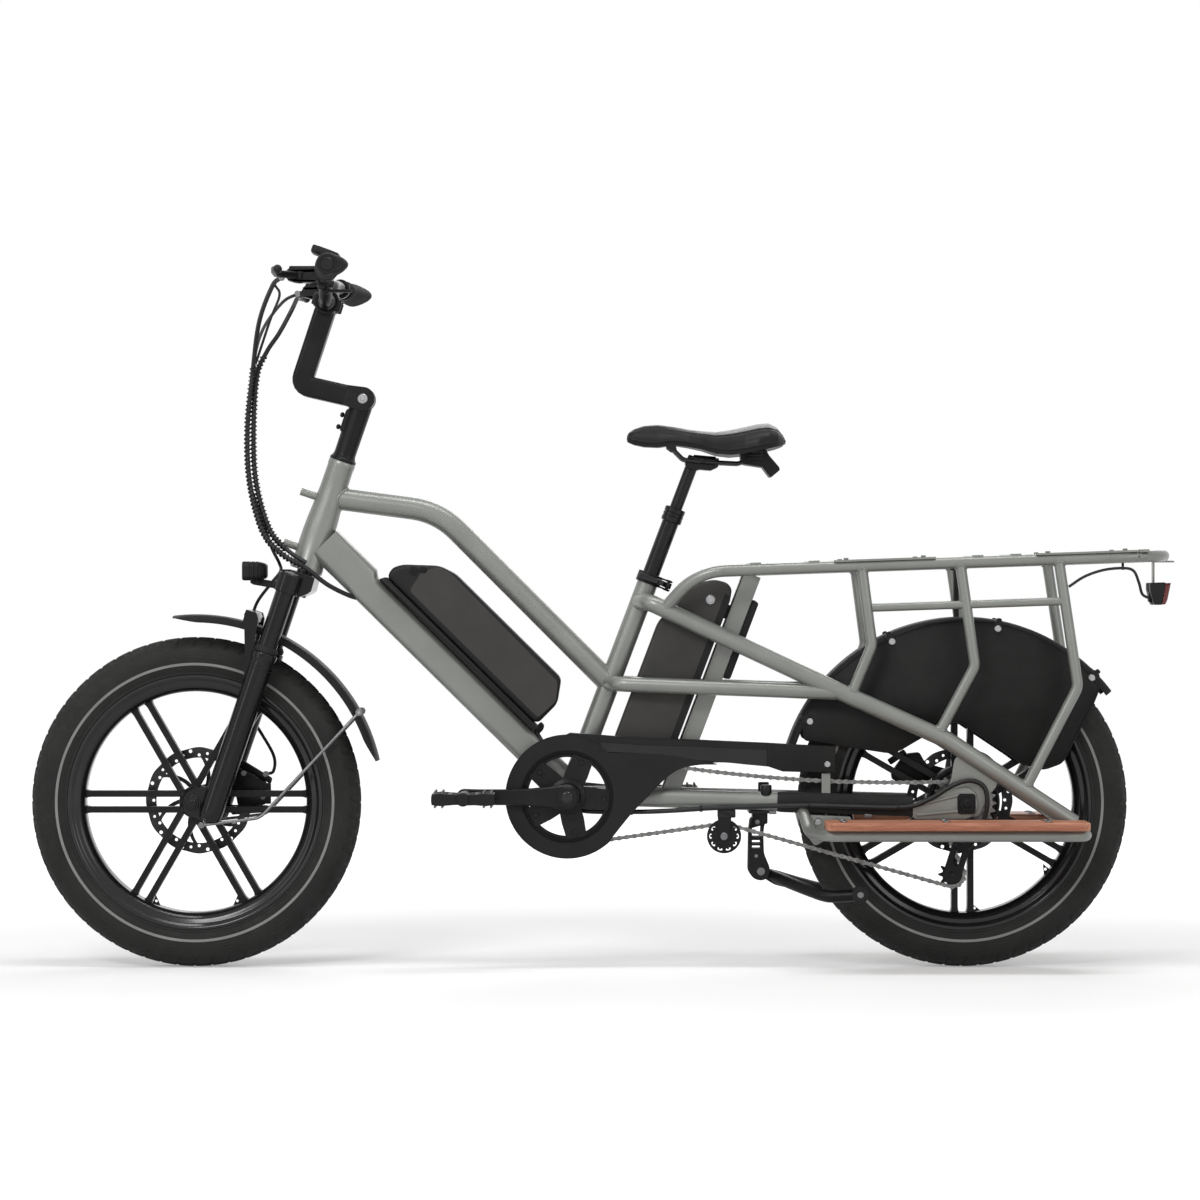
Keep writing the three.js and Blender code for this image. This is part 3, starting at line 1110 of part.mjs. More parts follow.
// Wheel guards: a swept mudguard over each wheel and a skirt on each side of the rear one
const guard = {
  frontRadius: 314, rearRadius: 310, thickness: 2.4, crown: 28, half: 41, lip: 13, frontFromAngle: 12.5,
    frontToAngle: 97,
  rearFromAngle: 37, rearToAngle: 163, stepAngle: 10.5, bridgeHalf: 9, stayRadius: 3.2, slantAngle: 8,
};
function guardSection() {
  const { thickness, crown, half, lip } = guard;
  return [[-crown, 0], [crown, 0], [half, lip / 2], [half, lip], [half - thickness, lip],
    [half - thickness, lip / 2 + thickness / 2], [crown - thickness / 2, thickness],
    [-crown + thickness / 2, thickness], [-half + thickness, lip / 2 + thickness / 2],
    [-half + thickness, lip], [-half, lip], [-half, lip / 2]];
}
function guardSweep(x, radius, from, to) {
  const steps = Math.round((to - from) / guard.stepAngle);
  const stations = Array.from({ length: steps + 1 }, (_, i) => {
    const [a, b] = polar(radius, from + (to - from) * i / steps);
    return new THREE.Vector3(x + a, 0, axleZ + b);
  });
  return sweep(stations, guardSection());
}
// A wedge that cuts an end back below its crown
function guardWedge(x, radius, end, slant) {
  const depth = 2 * guard.lip;
  const outline = [polar(radius - guard.thickness, end), polar(radius - depth, end + slant),
    polar(radius - depth, end - slant)];
  return plate(placed(outline, x, axleZ), -guard.half - overrun, guard.half + overrun);
}
function rearGuard() {
  const tube = crossTube.firstX + 2 * crossTube.pitch;
  const top = axleZ + Math.sqrt(guard.rearRadius ** 2 - (tube - rearAxleX) ** 2);
  const hang = rackHeight(tube) - crossTube.radius - clearance;
  return join([guardSweep(rearAxleX, guard.rearRadius, guard.rearFromAngle, guard.rearToAngle),
    box(2 * guard.bridgeHalf, 2 * guard.bridgeHalf, hang - top + overrun, tube, 0,
      (hang + top - overrun) / 2)]);
}
// Two stay rods run from the fork ends to the rear end of the front guard
const guardStay = { axleY: 72, kneeY: 66, guardY: 40 };
const stayShares = [[0.137, -0.282], [0.338, -0.097], [0.874, 0.505]];
function frontGuard() {
  const outs = [guardStay.axleY, guardStay.kneeY, guardStay.guardY];
  const rods = sides.map((side) => {
    const points = stayShares.map(([a, b], i) => [frontAxleX + a * guard.frontRadius,
      side * outs[i], axleZ + b * guard.frontRadius]);
    return pipe(points, guard.crown, guard.stayRadius, smallSides);
  });
  const shell = cut(guardSweep(frontAxleX, guard.frontRadius, guard.frontFromAngle, guard.frontToAngle), [
    guardWedge(frontAxleX, guard.frontRadius, guard.frontFromAngle, guard.slantAngle),
    guardWedge(frontAxleX, guard.frontRadius, guard.frontToAngle, -guard.slantAngle)]);
  return join([shell, ...rods, guardArm()]);
}
const guardMount = { halfY: 8, thickness: 5, length: 14, u: -59 };
function guardArm() {
  const { halfY, thickness, length, u } = guardMount;
  const [x, z] = onSteering(u, arch.top - arch.lintel - clearance - thickness / 2);
  return box(length, 2 * halfY, thickness, x, 0, z, headAngle);
}

const skirtReach = 314;
const skirt = { inY: 46, outY: 48, spacer: 7, first: 170, second: 118, railShare: 0.96 };
const skirtShares = [
  [-0.858, 0.331], [-0.858, 0.453], [-0.810, 0.543], [-0.715, 0.665], [-0.555, 0.798], [-0.370, 0.893],
  [-0.184, 0.957], [-0.025, 0.978], [0.177, 0.962], [0.347, 0.909], [0.480, 0.840], [0.623, 0.739],
  [0.724, 0.617], [0.686, 0.522], [0.522, 0.209], [0.421, 0.172], [0.288, 0.209], [0.246, 0.241],
  [-0.025, 0.421], [-0.115, 0.410], [-0.348, 0.272], [-0.401, 0.262]];
function skirtSolid(side) {
  const outline = scaled(skirtShares, skirtReach, rearAxleX, axleZ);
  const reach = rail.y - rail.radius * skirt.railShare - clearance;
  const spacers = [rearAxleX - skirt.first, rearAxleX - skirt.second].map((x) => (
    drum(skirt.spacer, skirt.inY, reach, x, railHeight(x), tubeSides)));
  const solid = join([plate(outline, skirt.inY, skirt.outY), ...spacers]);
  return side > 0 ? solid : mirrored(solid);
}

// Front battery on its cradle above the down tube
const battery = { base: 48.3, start: 120, length: 356, height: 84, half: 42, edge: 7 };
const cradle = { base: 36.35, top: 48, start: 104, end: 484, half: 26, stop: 15, stopTop: 72, stopHalf: 20 };
const batteryShares = [[0.02, 0], [0, 0.08], [0, 0.587], [0.07, 1], [0.77, 1], [0.85, 0.89], [0.975, 0.4],
  [1, 0.2], [0.985, 0]];
function frontBatterySolid() {
  const outline = batteryShares.map(([a, b]) => (
    onDown(battery.base + b * battery.height, battery.start + a * battery.length)));
  return pillow(clockwise(outline), -battery.half, battery.half, battery.edge);
}
function cradleSolid() {
  const face = (u0, u1, w0, w1) => [[u0, w0], [u1, w0], [u1, w1], [u0, w1]].map(([u, w]) => onDown(u, w));
  return join([
    plate(face(cradle.base, cradle.top, cradle.start, cradle.end), -cradle.half, cradle.half),
    plate(face(cradle.base, cradle.stopTop, cradle.start, cradle.start + cradle.stop),
      -cradle.stopHalf, cradle.stopHalf),
  ]);
}

// Rear battery on the channel rail: shares along the seat tube and across it
const packShares = [
  [0, 0.0797], [0.0244, 0], [0.6874, 0], [0.7852, 0.1345], [0.886, 0.2052], [0.9557, 0.4243],
  [0.9951, 0.6434], [1, 0.8526], [0.9792, 0.9582], [0.9239, 1], [0.0244, 1], [0, 0.9163]];
const pack = {
  low: 100, length: 327.3, nearU: 39, depth: 100.4, half: 32, edge: 6, footHalf: 10,
  footLow: 130, footHigh: 370, footLength: 24,
};
function rearBatterySolid() {
  const outline = packShares.map(([along, out]) => (
    onSeat(pack.nearU + out * pack.depth, pack.low + along * pack.length)));
  const footU = channel.nearU - clearance;
  const feet = [pack.footLow, pack.footHigh].map((w) => {
    const shape = [[channel.nearU / 2 + pack.half, w], [footU, w], [footU, w + pack.footLength],
      [channel.nearU / 2 + pack.half, w + pack.footLength]].map(([u, v]) => onSeat(u, v));
    return plate(shape, -pack.footHalf, pack.footHalf);
  });
  return join([pillow(clockwise(outline), -pack.half, pack.half, pack.edge), ...feet]);
}

const control = { nearU: channel.farU + clearance, farU: 186, low: 275, high: 417, half: 22, edge: 3 };
function controlBox() {
  const outline = [[control.nearU, control.low], [control.farU, control.low + control.edge],
    [control.farU, control.high - control.edge], [control.nearU, control.high]].map(([u, w]) => onSeat(u, w));
  return pillow(clockwise(outline), -control.half, control.half, control.edge);
}

add('chain_case', chainCaseSolid(), black);
add('derailleur', derailleurSolid(), blackMetal);
add('idler_bracket', idlerBracketSolid(), blackMetal);
add('rear_fender', rearGuard(), black);
add('front_fender', frontGuard(), black);
add('near_skirt', skirtSolid(-1), black);
add('far_skirt', skirtSolid(1), black);
add('front_battery', frontBatterySolid(), casing);
add('front_battery_cradle', cradleSolid(), black);
add('rear_battery', rearBatterySolid(), casing);
add('control_box', controlBox(), black);
// Brake calipers: a slotted block over the edge of each disc
const caliper = {
  frontU: 22, frontW: -374, rearAhead: 75, rearAbove: 49, reach: 40,
  frontInY: 31, frontOutY: 56, rearInY: 43, rearOutY: 64, slot: 92.5, slotHalf: 1.5, lugAhead: 14,
    lugAbove: 42, lug: 7,
  armAhead: 42, armAbove: 50, armInY: 57, arm: 8,
};
const frontCaliperShares = [
  [-0.435, 0.725], [-0.435, -0.65], [-0.05, -1], [0.45, -0.775], [0.55, 0.1], [0.4, 0.85], [-0.05, 1]];
const rearCaliperShares = [
  [-0.925, -0.525], [-0.625, -0.775], [0.375, -0.775], [0.975, -0.425], [1.05, 0.325], [0.625, 0.75],
  [-0.125, 0.675], [-0.825, 0.125]];
function caliperSlot(x, y) {
  const half = disc.thickness / 2 + caliper.slotHalf / 2;
  return drum(caliper.slot, y - half, y + half, x, axleZ, wheelSides);
}
function frontCaliper() {
  const outline = scaled(frontCaliperShares, caliper.reach, caliper.frontU, caliper.frontW)
    .map(([u, w]) => onSteering(u, w));
  return cut(plate(outline, caliper.frontInY, caliper.frontOutY), [caliperSlot(frontAxleX, disc.frontY)]);
}
function rearCaliper() {
  const [armX, armZ] = [rearAxleX - caliper.armAhead, axleZ + caliper.armAbove];
  const [lugX, lugZ] = [rearAxleX - caliper.lugAhead, axleZ + caliper.lugAbove];
  const outline = scaled(rearCaliperShares, caliper.reach, rearAxleX - caliper.rearAhead,
    axleZ + caliper.rearAbove);
  const block = cut(plate(outline, caliper.rearInY, caliper.rearOutY),
    [caliperSlot(rearAxleX, disc.rearY)]);
  return join([block, plate(capsule([armX, armZ], [lugX, lugZ], caliper.arm), caliper.armInY,
    caliper.rearOutY),
    drum(caliper.lug, caliper.rearOutY - overrun, dropout.inner - clearance, lugX, lugZ, tubeSides)]);
}

// Seat: clamp and lever, a post in two sections, and the saddle
const post = {
  radius: 14.2, foot: 230, top: 514, collar: 490, collarRadius: 17.5, bore: 10.95,
  upper: 10.6, upperFoot: 442, upperTop: 600, travel: 30, below: 6,
};
const clamp = {
  low: 379, high: 397, outer: 21.2, lugU: 30, lugHalf: 7, pinU: 33, pin: 3, eyeRadius: 6.2, earHalf: 6,
    ear: 3.2, earU: 39,
};
function ringOnSeat(inner, outer, low, high) {
  const tube = (radius, w0, w1) => bar(at(onSeat(0, w0)), at(onSeat(0, w1)), radius, roundSides);
  return cut(tube(outer, low, high), [tube(inner, low - overrun, high + overrun)]);
}
function onSeatBox(u0, u1, w0, w1, half) {
  const outline = [[u0, w0], [u1, w0], [u1, w1], [u0, w1]].map(([u, w]) => onSeat(u, w));
  return plate(outline, -half, half);
}
function seatClamp() {
  const { low, high, outer, lugU, lugHalf, pinU, pin, ear, earU, earHalf } = clamp;
  const bore = seatTube.radius + clearance;
  const parts = [ringOnSeat(bore, outer, low, high), onSeatBox(outer - overrun, lugU - overrun, low, high,
    lugHalf),
    onSeatBox(outer - overrun, earU, low, low + ear, earHalf),
    onSeatBox(outer - overrun, earU, high - ear, high, earHalf),
    bar(at(onSeat(pinU, low + ear / 2)), at(onSeat(pinU, high - ear / 2)), pin, smallSides)];
  return cut(join(parts), [bar(at(onSeat(pinU, low + ear)), at(onSeat(pinU, high - ear)),
    clamp.eyeRadius + clearance * 2)
    .subtract(bar(at(onSeat(pinU, low)), at(onSeat(pinU, high)), pin, smallSides))]);
}
const quickRelease = { half: 5, thick: 4, reach: 51, out: 28 };
const leverShares = [
  [0, -0.1429], [-0.0588, -0.6071], [-0.3333, -0.9643], [-1, -1]];
function seatLever() {
  const middle = (clamp.low + clamp.high) / 2;
  const [w0, w1] = [middle - quickRelease.half, middle + quickRelease.half];
  const eye = bar(at(onSeat(clamp.pinU, w0)), at(onSeat(clamp.pinU, w1)), clamp.eyeRadius, smallSides + 2);
  const line = leverShares.map(([a, b]) => (
    vector(at(onSeat(clamp.pinU + a * quickRelease.reach, middle), b * quickRelease.out))));
  const up = new THREE.Vector3(sin(seatAngle), 0, cos(seatAngle));
  const blade = sweep(line, chamfered(2 * quickRelease.half, quickRelease.thick, clearance), up);
  const hole = bar(at(onSeat(clamp.pinU, w0 - overrun)), at(onSeat(clamp.pinU, w1 + overrun)),
    opened(clamp.pin, smallSides), smallSides);
  return cut(join([eye, blade]), [hole]);
}
function postLower() {
  const tube = (radius, w0, w1) => bar(at(onSeat(0, w0)), at(onSeat(0, w1)), radius, roundSides);
  return cut(join([tube(post.radius, post.foot, post.top), tube(post.collarRadius, post.collar, post.top)]),
    [tube(post.bore, post.upperFoot - post.travel - post.below, post.top + overrun)]);
}

const seatRail = { radius: 3.5, y: 22 };
const railShares = [
  [0.27, 0.34545], [0.28138, 0.25455], [0.35609, -0.10909], [0.45165, -0.16909], [0.70611, -0.22909],
  [0.78953, -0.05455]];
const headShares = [
  [-0.2857, -0.2857], [0.2857, -0.2857], [0.7619, -0.1429], [1, 0.1429], [0.9048, 0.4286], [0.1905, 0.2857],
  [-0.2857, 0.0476]];
const headReach = 42;
// The saddle lies forward of the post's top and above it
const saddle = {
  forward: 112.285, rise: 6.734, length: 263.7, depth: 55, halfWidth: 99, shell: 7, ringSides: 16, inset: 3,
};
const roundShare = 0.75;
const [postTopX, postTopZ] = onSeat(0, post.upperTop);
const onSaddle = ([along, up]) => [
  postTopX - saddle.forward + along * saddle.length, postTopZ + saddle.rise + up * saddle.depth];
const seatRails = (radius) => sides.map((side) => (
  pipe(railShares.map(onSaddle).map(([x, z]) => [x, side * seatRail.y, z]), seatRail.y / 2, radius,
    smallSides)));
function postUpper() {
  const tube = bar(at(onSeat(0, post.upperFoot)), at(onSeat(0, post.upperTop)), post.upper, roundSides);
  const outline = scaled(headShares, headReach, 0, post.upperTop).map(([u, w]) => onSeat(u, w));
  const head = plate(outline, -seatRail.y - seatRail.radius,
    seatRail.y + seatRail.radius);
  return cut(join([tube, head]), seatRails(seatRail.radius + clearance));
}

// Saddle stations: shares of its length, half width and depth (top and underside)
const saddleShares = [
  [0, 0.0909, 0.6182, 0.4545], [0.0121, 0.1515, 0.7273, 0.4091], [0.0463, 0.1919, 0.8364, 0.3455], [0.1069,
  0.2121, 0.9273, 0.2818],
  [0.198, 0.2424, 0.9636, 0.2636], [0.2928, 0.2929, 0.9091, 0.3273], [0.3876, 0.3838, 0.8273, 0.2636],
  [0.4748, 0.5051, 0.7727, 0.1818],
  [0.5658, 0.6768, 0.7473, 0.0455], [0.6568, 0.8384, 0.8073, 0], [0.7402, 0.9495, 0.8909, 0.0455], [0.8275,
  1, 0.9818, 0.1273],
  [0.8957, 0.9798, 1, 0.1909], [0.9488, 0.8687, 0.8727, 0.2455], [0.9829, 0.7071, 0.6545, 0.3], [1, 0.5455,
  0.4909, 0.3364]];
const saddleStations = saddleShares.map(([along, out, over, low]) => {
  const [x, top] = onSaddle([along, over]);
  return { x, width: out * saddle.halfWidth, top, under: onSaddle([along, low])[1] };
});
const blockShares = [
  [0.7175, 0.1273], [0.7895, 0.2], [0.873, 0.2545], [0.8995, 0.0182], [0.9716, -0.4182],
  [0.9109, -0.6545], [0.8578, -0.3455], [0.7364, -0.2545]];
const block = { half: 30 };
function saddleCover() {
  const half = saddle.ringSides / 2;
  return loft(saddleStations.map(({ x, width, top, under }) => {
    const low = under + Math.min(saddle.shell, (top - under) * roundShare / 2) + clearance;
    return Array.from({ length: saddle.ringSides }, (_, i) => {
      const angle = i * 180 / half;
      const flat = i > half;
      const y = flat ? width * (2 * (i - half) / half - 1) : width * cos(angle);
      return [x, y, flat ? low : low + (top - low) * sin(angle) ** roundShare];
    });
  }));
}
function saddleBase() {
  const shell = loft(saddleStations.map(({ x, width, top, under }) => {
    const high = under + Math.min(saddle.shell, (top - under) * roundShare / 2);
    const inner = Math.max(width - saddle.inset, width / 2);
    return [[x, width - clearance, high], [x, -width + clearance, high], [x, -inner, under], [x, inner,
      under]];
  }));
  return join([shell, ...seatRails(seatRail.radius), plate(blockShares.map(onSaddle), -block.half,
    block.half)]);
}

// Centre stand: a bracket under the stays, and two joined legs folded rearwards
const stand = {
  x0: 240, x1: 280, plateHalf: 58, plateLow: 258.6, plateHigh: 263.7, blockX0: 247, blockX1: 273,
    blockHalf: 20,
  pivotX: 262, pivotZ: 160, ear: 14, earIn: 12, earOut: 19, blockLow: 205, pin: 5, head: 12, leg: 8,
  legReach: 160, legSpread: 112, legDrop: 32, legBend: 32,
};
const legShares = [
  [0, 0.0268, 0], [0.1625, 0.0268, -0.1562], [0.375, 0.4107, -0.375], [0.875, 0.9286, -0.9062], [1.0125, 1,
  -1.0312]];
const foot = { radius: 14, half: 13 };
function standBracket() {
  const { x0, x1, plateHalf, plateLow, plateHigh, blockX0, blockX1, blockHalf, blockLow, pivotX,
    pivotZ } = stand;
  const ears = sides.map((side) => {
    const [y0, y1] = [side * stand.earIn, side * stand.earOut].sort((a, b) => a - b);
    return plate([[blockX0, blockLow + overrun], [pivotX - stand.ear, pivotZ], [pivotX - stand.ear / 2,
      pivotZ - stand.ear], [pivotX + stand.ear / 2, pivotZ - stand.ear], [pivotX + stand.ear, pivotZ],
    [blockX1, blockLow + overrun]], y0, y1);
  });
  return join([box(x1 - x0, 2 * plateHalf, plateHigh - plateLow, (x0 + x1) / 2, 0,
    (plateLow + plateHigh) / 2),
    box(blockX1 - blockX0, 2 * blockHalf, plateLow - blockLow + overrun, (blockX0 + blockX1) / 2, 0,
      (plateLow + blockLow + overrun) / 2), ...ears,
    drum(stand.pin, -stand.earOut, stand.earOut, pivotX, pivotZ, tubeSides)]);
}
function standLegs() {
  const half = stand.earIn - clearance;
  const legs = sides.map((side) => (
    pipe(legShares.map(([a, b, c]) => [stand.pivotX + a * stand.legReach, side * b * stand.legSpread,
      stand.pivotZ + c * stand.legDrop]), stand.legBend, stand.leg, smallSides, across, 1)));
  const feet = sides.map((side) => (
    moved(drum(foot.radius, -foot.half, foot.half, stand.pivotX + stand.legReach,
      stand.pivotZ - stand.legDrop),
      0, side * stand.legSpread, 0)));
  return cut(join([drum(stand.head, -half, half, stand.pivotX, stand.pivotZ), ...legs, ...feet]), [
    drum(opened(stand.pin, tubeSides), -stand.earOut, stand.earOut, stand.pivotX, stand.pivotZ, tubeSides)]);
}

// Wooden footboards on the foot bars
const board = {
  frontX: 363, rearX: 795, stepX: 740, innerY: 90, stepY: 99, outerY: 190, thickness: 13.65, corner: 16,
    edge: 2,
};
function boardSolid(side) {
  const { frontX, rearX, stepX, innerY, stepY, outerY, thickness, corner, edge } = board;
  const low = footBar.z + footBar.radius * cos(180 / smallSides) + clearance;
  const high = low + thickness;
  const outline = [[frontX, innerY], [stepX, innerY], [stepX + corner, stepY], [rearX, stepY],
    [rearX, outerY - corner], [rearX - corner / 3, outerY - corner / 3], [rearX - corner, outerY],
    [frontX + corner, outerY], [frontX + corner / 3, outerY - corner / 3], [frontX, outerY - corner]];
  const level = (z, inset) => offset(outline, -inset).map(([x, y]) => [x, y, z]);
  const solid = loft([level(low, edge), level(low + edge, 0), level(high - edge, 0), level(high, edge)]);
  return side > 0 ? solid : mirrored(solid);
}

// Tail light behind its bracket, and its lead from the last strut
const lampShares = [
  [0, 0.9737], [1, 1], [0.8143, 0.2105], [0.7143, 0], [0.2, 0], [0, 0.6579]];
const tailLamp = { half: 30, edge: 3, length: 35, height: 38, forward: 7, drop: 82 };
function tailLight() {
  const gap = clearance;
  const outline = lampShares.map(([a, b]) => [lampPlate.x - tailLamp.forward + a * tailLamp.length,
    rack.endZ - tailLamp.drop + b * tailLamp.height]);
  const notch = box(lampPlate.thickness + 2 * gap, 2 * lampPlate.width + 2 * gap, lampPlate.height,
    lampPlate.x + lampPlate.thickness / 2, 0, rack.endZ - rack.radius - lampPlate.height / 2 - gap);
  return cut(pillow(clockwise(outline), -tailLamp.half, tailLamp.half, tailLamp.edge), [notch]);
}
// The lamp's lead starts behind the last strut, below the rack, and ends in front of the lamp
const lead = { drop: 45.4, behind: 10, ahead: 8 };
const leadShares = [
  [0, 1, 1.0121], [0.1866, 0.9778, 0.6576], [0.4225, 0.8667, 0.4406], [0.669, 0.6889, 0.4008],
  [0.7993, 0.5, 0.5249], [0.8704, 0.3556, 0.951], [0.9155, 0.2889, 1.3743], [1, 0.2444, 1.5375]];
function leadRoute() {
  const last = strut.count - 1;
  const run = strut.kneeX + last * strut.kneePitch - strut.topX - last * strut.topPitch;
  const fall = strutDrop.knee + last * strutDrop.kneePitch;
  const start = strut.topX + last * strut.topPitch + run * lead.drop / fall
    + lead.behind * Math.hypot(run, fall) / fall;
  return leadShares.map(([along, out, below]) => {
    const x = start + along * (lampPlate.x - lead.ahead - start);
    return [x, -out * rack.y, rackHeight(x) - below * lead.drop];
  });
}
const cableRadius = { lead: 2.4, hose: 3, bundle: 6, rear: 4, far: 3 };

// Cables: routes chosen by hand
const bundleRoute = [[-528, -178, 1141], [-548, -150, 1122], [-576, -60, 1055], [-595, 0, 943], [-597, 0,
  857],
  [-581, -20, 755], [-550, -46, 706], [-506, -58, 684], [-468, -50, 656], [-434, -24, 612], [-420, -8, 592]];
const farHoseRoute = [[-528, 178, 1141], [-552, 150, 1124], [-578, 60, 1072], [-588, -10, 1010], [-596, -4,
  930]];
const frontHoseRoute = [[-592, -10, 800], [-568, -24, 735], [-556, -22, 700], [-545, -10, 676], [-546, 28,
  662],
  [-566, 62, 640], [-592, 88, 606], [-603, 93, 560], [-604, 93, 500], [-612, 92, 440], [-592, 90, 402],
  [-562, 78, 352], [-560, 60, 325], [-572, 50, 320]];
const rearCableShares = [
  [0.0227, -30, 264.5], [0.0634, -38, 261], [0.1843, -47, 261], [0.2749, -58, 264], [0.3656, -62, 268],
  [0.4864, -68, 271], [0.6073, -74.5, 273], [0.7281, -82, 271], [0.8489, -89, 271], [0.9094, -90, 285],
  [0.9622, -91, 306], [1.0076, -92, 315], [1.0423, -92, 305], [1.0514, -91, 280], [1.0438, -86, 250],
  [1.0249, -78, 230]];
const rearCableRoute = rearCableShares.map(([along, y, z]) => (
  [crankX + along * (rearAxleX - crankX), y, z]));
function steeringBundle() {
  return join([cord(bundleRoute, 22, cableRadius.bundle), cord(farHoseRoute, 8, cableRadius.far, 5),
    cord(frontHoseRoute, 26, cableRadius.hose, 5)]);
}

add('front_caliper', frontCaliper(), blackMetal);
add('rear_caliper', rearCaliper(), blackMetal);
add('seat_clamp', seatClamp(), blackMetal);
add('seat_lever', seatLever(), steel);
add('seatpost_lower', postLower(), blackMetal);
add('seatpost_upper', postUpper(), steel);
add('saddle_base', saddleBase(), black);
add('saddle_cover', saddleCover(), leather);
add('kickstand_bracket', standBracket(), black);
add('kickstand', standLegs(), black);
add('near_footboard', boardSolid(-1), wood);
add('far_footboard', boardSolid(1), wood);
add('tail_light', tailLight(), lamp);
add('tail_light_lead', cord(leadRoute(), 12, cableRadius.lead, 5), black);
add('rear_cables', cord(rearCableRoute, 24, cableRadius.rear, 5), black);
add('cable_bundle', steeringBundle(), black);

// The group is centred over the ground; joint places move with it
const bounds = new THREE.Box3().setFromObject(group);
const middle = bounds.getCenter(new THREE.Vector3());
group.position.set(-middle.x, -middle.y, 0);
const place = ([x, z], y = 0) => [x - middle.x, y - middle.y, z];
const leverPin = onBar(lever.clampY, lever.pivotBack, -lever.bodyDrop);
const shifterPin = onBar(shifter.y);
group.userData.places = {
  head: place([headFootX, headFootZ]),
  stemPivot: place(onSteering(0, stem.pivotW)),
  frontAxle: place([frontAxleX, axleZ]),
  rearAxle: place([rearAxleX, axleZ]),
  crank: place([crankX, crankZ]),
  nearPedal: place([crankX - crank.arm, crankZ]),
  farPedal: place([crankX + crank.arm, crankZ]),
  guide: place([pulley.guideX, pulley.guideZ]),
  tension: place([pulley.tensionX, pulley.tensionZ]),
  idler: place([pulley.idlerX, pulley.idlerZ]),
  nearLever: place([leverPin[0], leverPin[2]], -lever.pivotY),
  farLever: place([leverPin[0], leverPin[2]], lever.pivotY),
  shifter: place([shifterPin[0], shifterPin[2]], shifter.y),
  kickstand: place([stand.pivotX, stand.pivotZ]),
  seatLever: place(onSeat(clamp.pinU, (clamp.low + clamp.high) / 2)),
  seatPost: place(onSeat(0, seatTube.top)),
};

export default group;
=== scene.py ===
"""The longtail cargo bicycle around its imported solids: finer shapes, surfaces, light and camera.

Places are in the bicycle's own millimetres, as the solids were drawn, and become metres in the row frame.
"""

import json
import math

import bmesh
import bpy
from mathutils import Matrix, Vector, noise


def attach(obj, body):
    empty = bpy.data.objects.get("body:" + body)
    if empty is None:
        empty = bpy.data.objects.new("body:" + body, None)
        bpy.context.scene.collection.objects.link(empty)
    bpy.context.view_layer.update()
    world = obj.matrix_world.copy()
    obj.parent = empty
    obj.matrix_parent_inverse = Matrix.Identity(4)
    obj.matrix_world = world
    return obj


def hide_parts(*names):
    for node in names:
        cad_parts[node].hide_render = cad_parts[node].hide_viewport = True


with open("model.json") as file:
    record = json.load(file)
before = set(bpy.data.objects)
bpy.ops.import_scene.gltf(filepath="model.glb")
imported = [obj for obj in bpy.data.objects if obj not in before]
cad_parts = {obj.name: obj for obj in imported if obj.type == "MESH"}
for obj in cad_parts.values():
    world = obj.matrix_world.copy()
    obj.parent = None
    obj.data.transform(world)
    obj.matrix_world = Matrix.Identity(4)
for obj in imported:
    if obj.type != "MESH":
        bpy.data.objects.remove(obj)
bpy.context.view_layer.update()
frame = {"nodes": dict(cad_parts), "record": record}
nodes = frame["nodes"]
bodies = frame["record"]["behaviour"]["bodies"]
body_of_node = {node: body for body, members in bodies.items() for node in members}

# Scale and the shift that centres the bicycle
MM = 0.001
SHIFT_X = 2.5

# Driving places of the bicycle
REAR_X, FRONT_X, AXLE_Z = 600, -684, 276
CRANK_X, CRANK_Z = -62, 287
HEAD_X, HEAD_Z = -501.4, 662.8
HEAD_ANGLE, SEAT_ANGLE, DOWN_ANGLE = (math.radians(angle) for angle in (18.6, 20.7, 44.65))
SIDES = (-1, 1)
FULL = 2 * math.pi


def row(point):
    """A place in the row frame, in metres."""
    return Vector((point[0] + SHIFT_X, point[1], point[2])) * MM


def on_steering(u, w, y=0):
    """u rearwards from the steering axis and w up along it."""
    return (
        HEAD_X + u * math.cos(HEAD_ANGLE) + w * math.sin(HEAD_ANGLE),
        y,
        HEAD_Z - u * math.sin(HEAD_ANGLE) + w * math.cos(HEAD_ANGLE),
    )


def on_seat(u, w, y=0):
    """u rearwards from the seat tube's axis and w up along it."""
    return (
        CRANK_X + u * math.cos(SEAT_ANGLE) + w * math.sin(SEAT_ANGLE),
        y,
        CRANK_Z - u * math.sin(SEAT_ANGLE) + w * math.cos(SEAT_ANGLE),
    )


def on_down(u, w, y=0):
    """u above the down tube's line and w up along it."""
    return (
        CRANK_X + u * math.sin(DOWN_ANGLE) - w * math.cos(DOWN_ANGLE),
        y,
        CRANK_Z + u * math.cos(DOWN_ANGLE) + w * math.sin(DOWN_ANGLE),
    )


STEER_AXIS = Vector((math.sin(HEAD_ANGLE), 0, math.cos(HEAD_ANGLE)))
SEAT_AXIS = Vector((math.sin(SEAT_ANGLE), 0, math.cos(SEAT_ANGLE)))
ACROSS = Vector((0, 1, 0))
UP = Vector((0, 0, 1))


def polar(radius, degrees, x=0, z=0):
    angle = math.radians(degrees)
    return x + radius * math.cos(angle), z + radius * math.sin(angle)


# Shapes: each gives its corners and its faces


def circle(radius, count=24, flat=1):
    return [
        (radius * math.cos(FULL * i / count), radius * flat * math.sin(FULL * i / count))
        for i in range(count)
    ]


def rounded(width, height, corner, steps=5):
    """A rectangle with round corners."""
    outline = []
    for i, (a, b) in enumerate(((1, 1), (-1, 1), (-1, -1), (1, -1))):
        for k in range(steps + 1):
            angle = math.pi / 2 * (i + k / steps)
            outline.append(
                (
                    a * (width / 2 - corner) + corner * math.cos(angle),
                    b * (height / 2 - corner) + corner * math.sin(angle),
                )
            )
    return outline


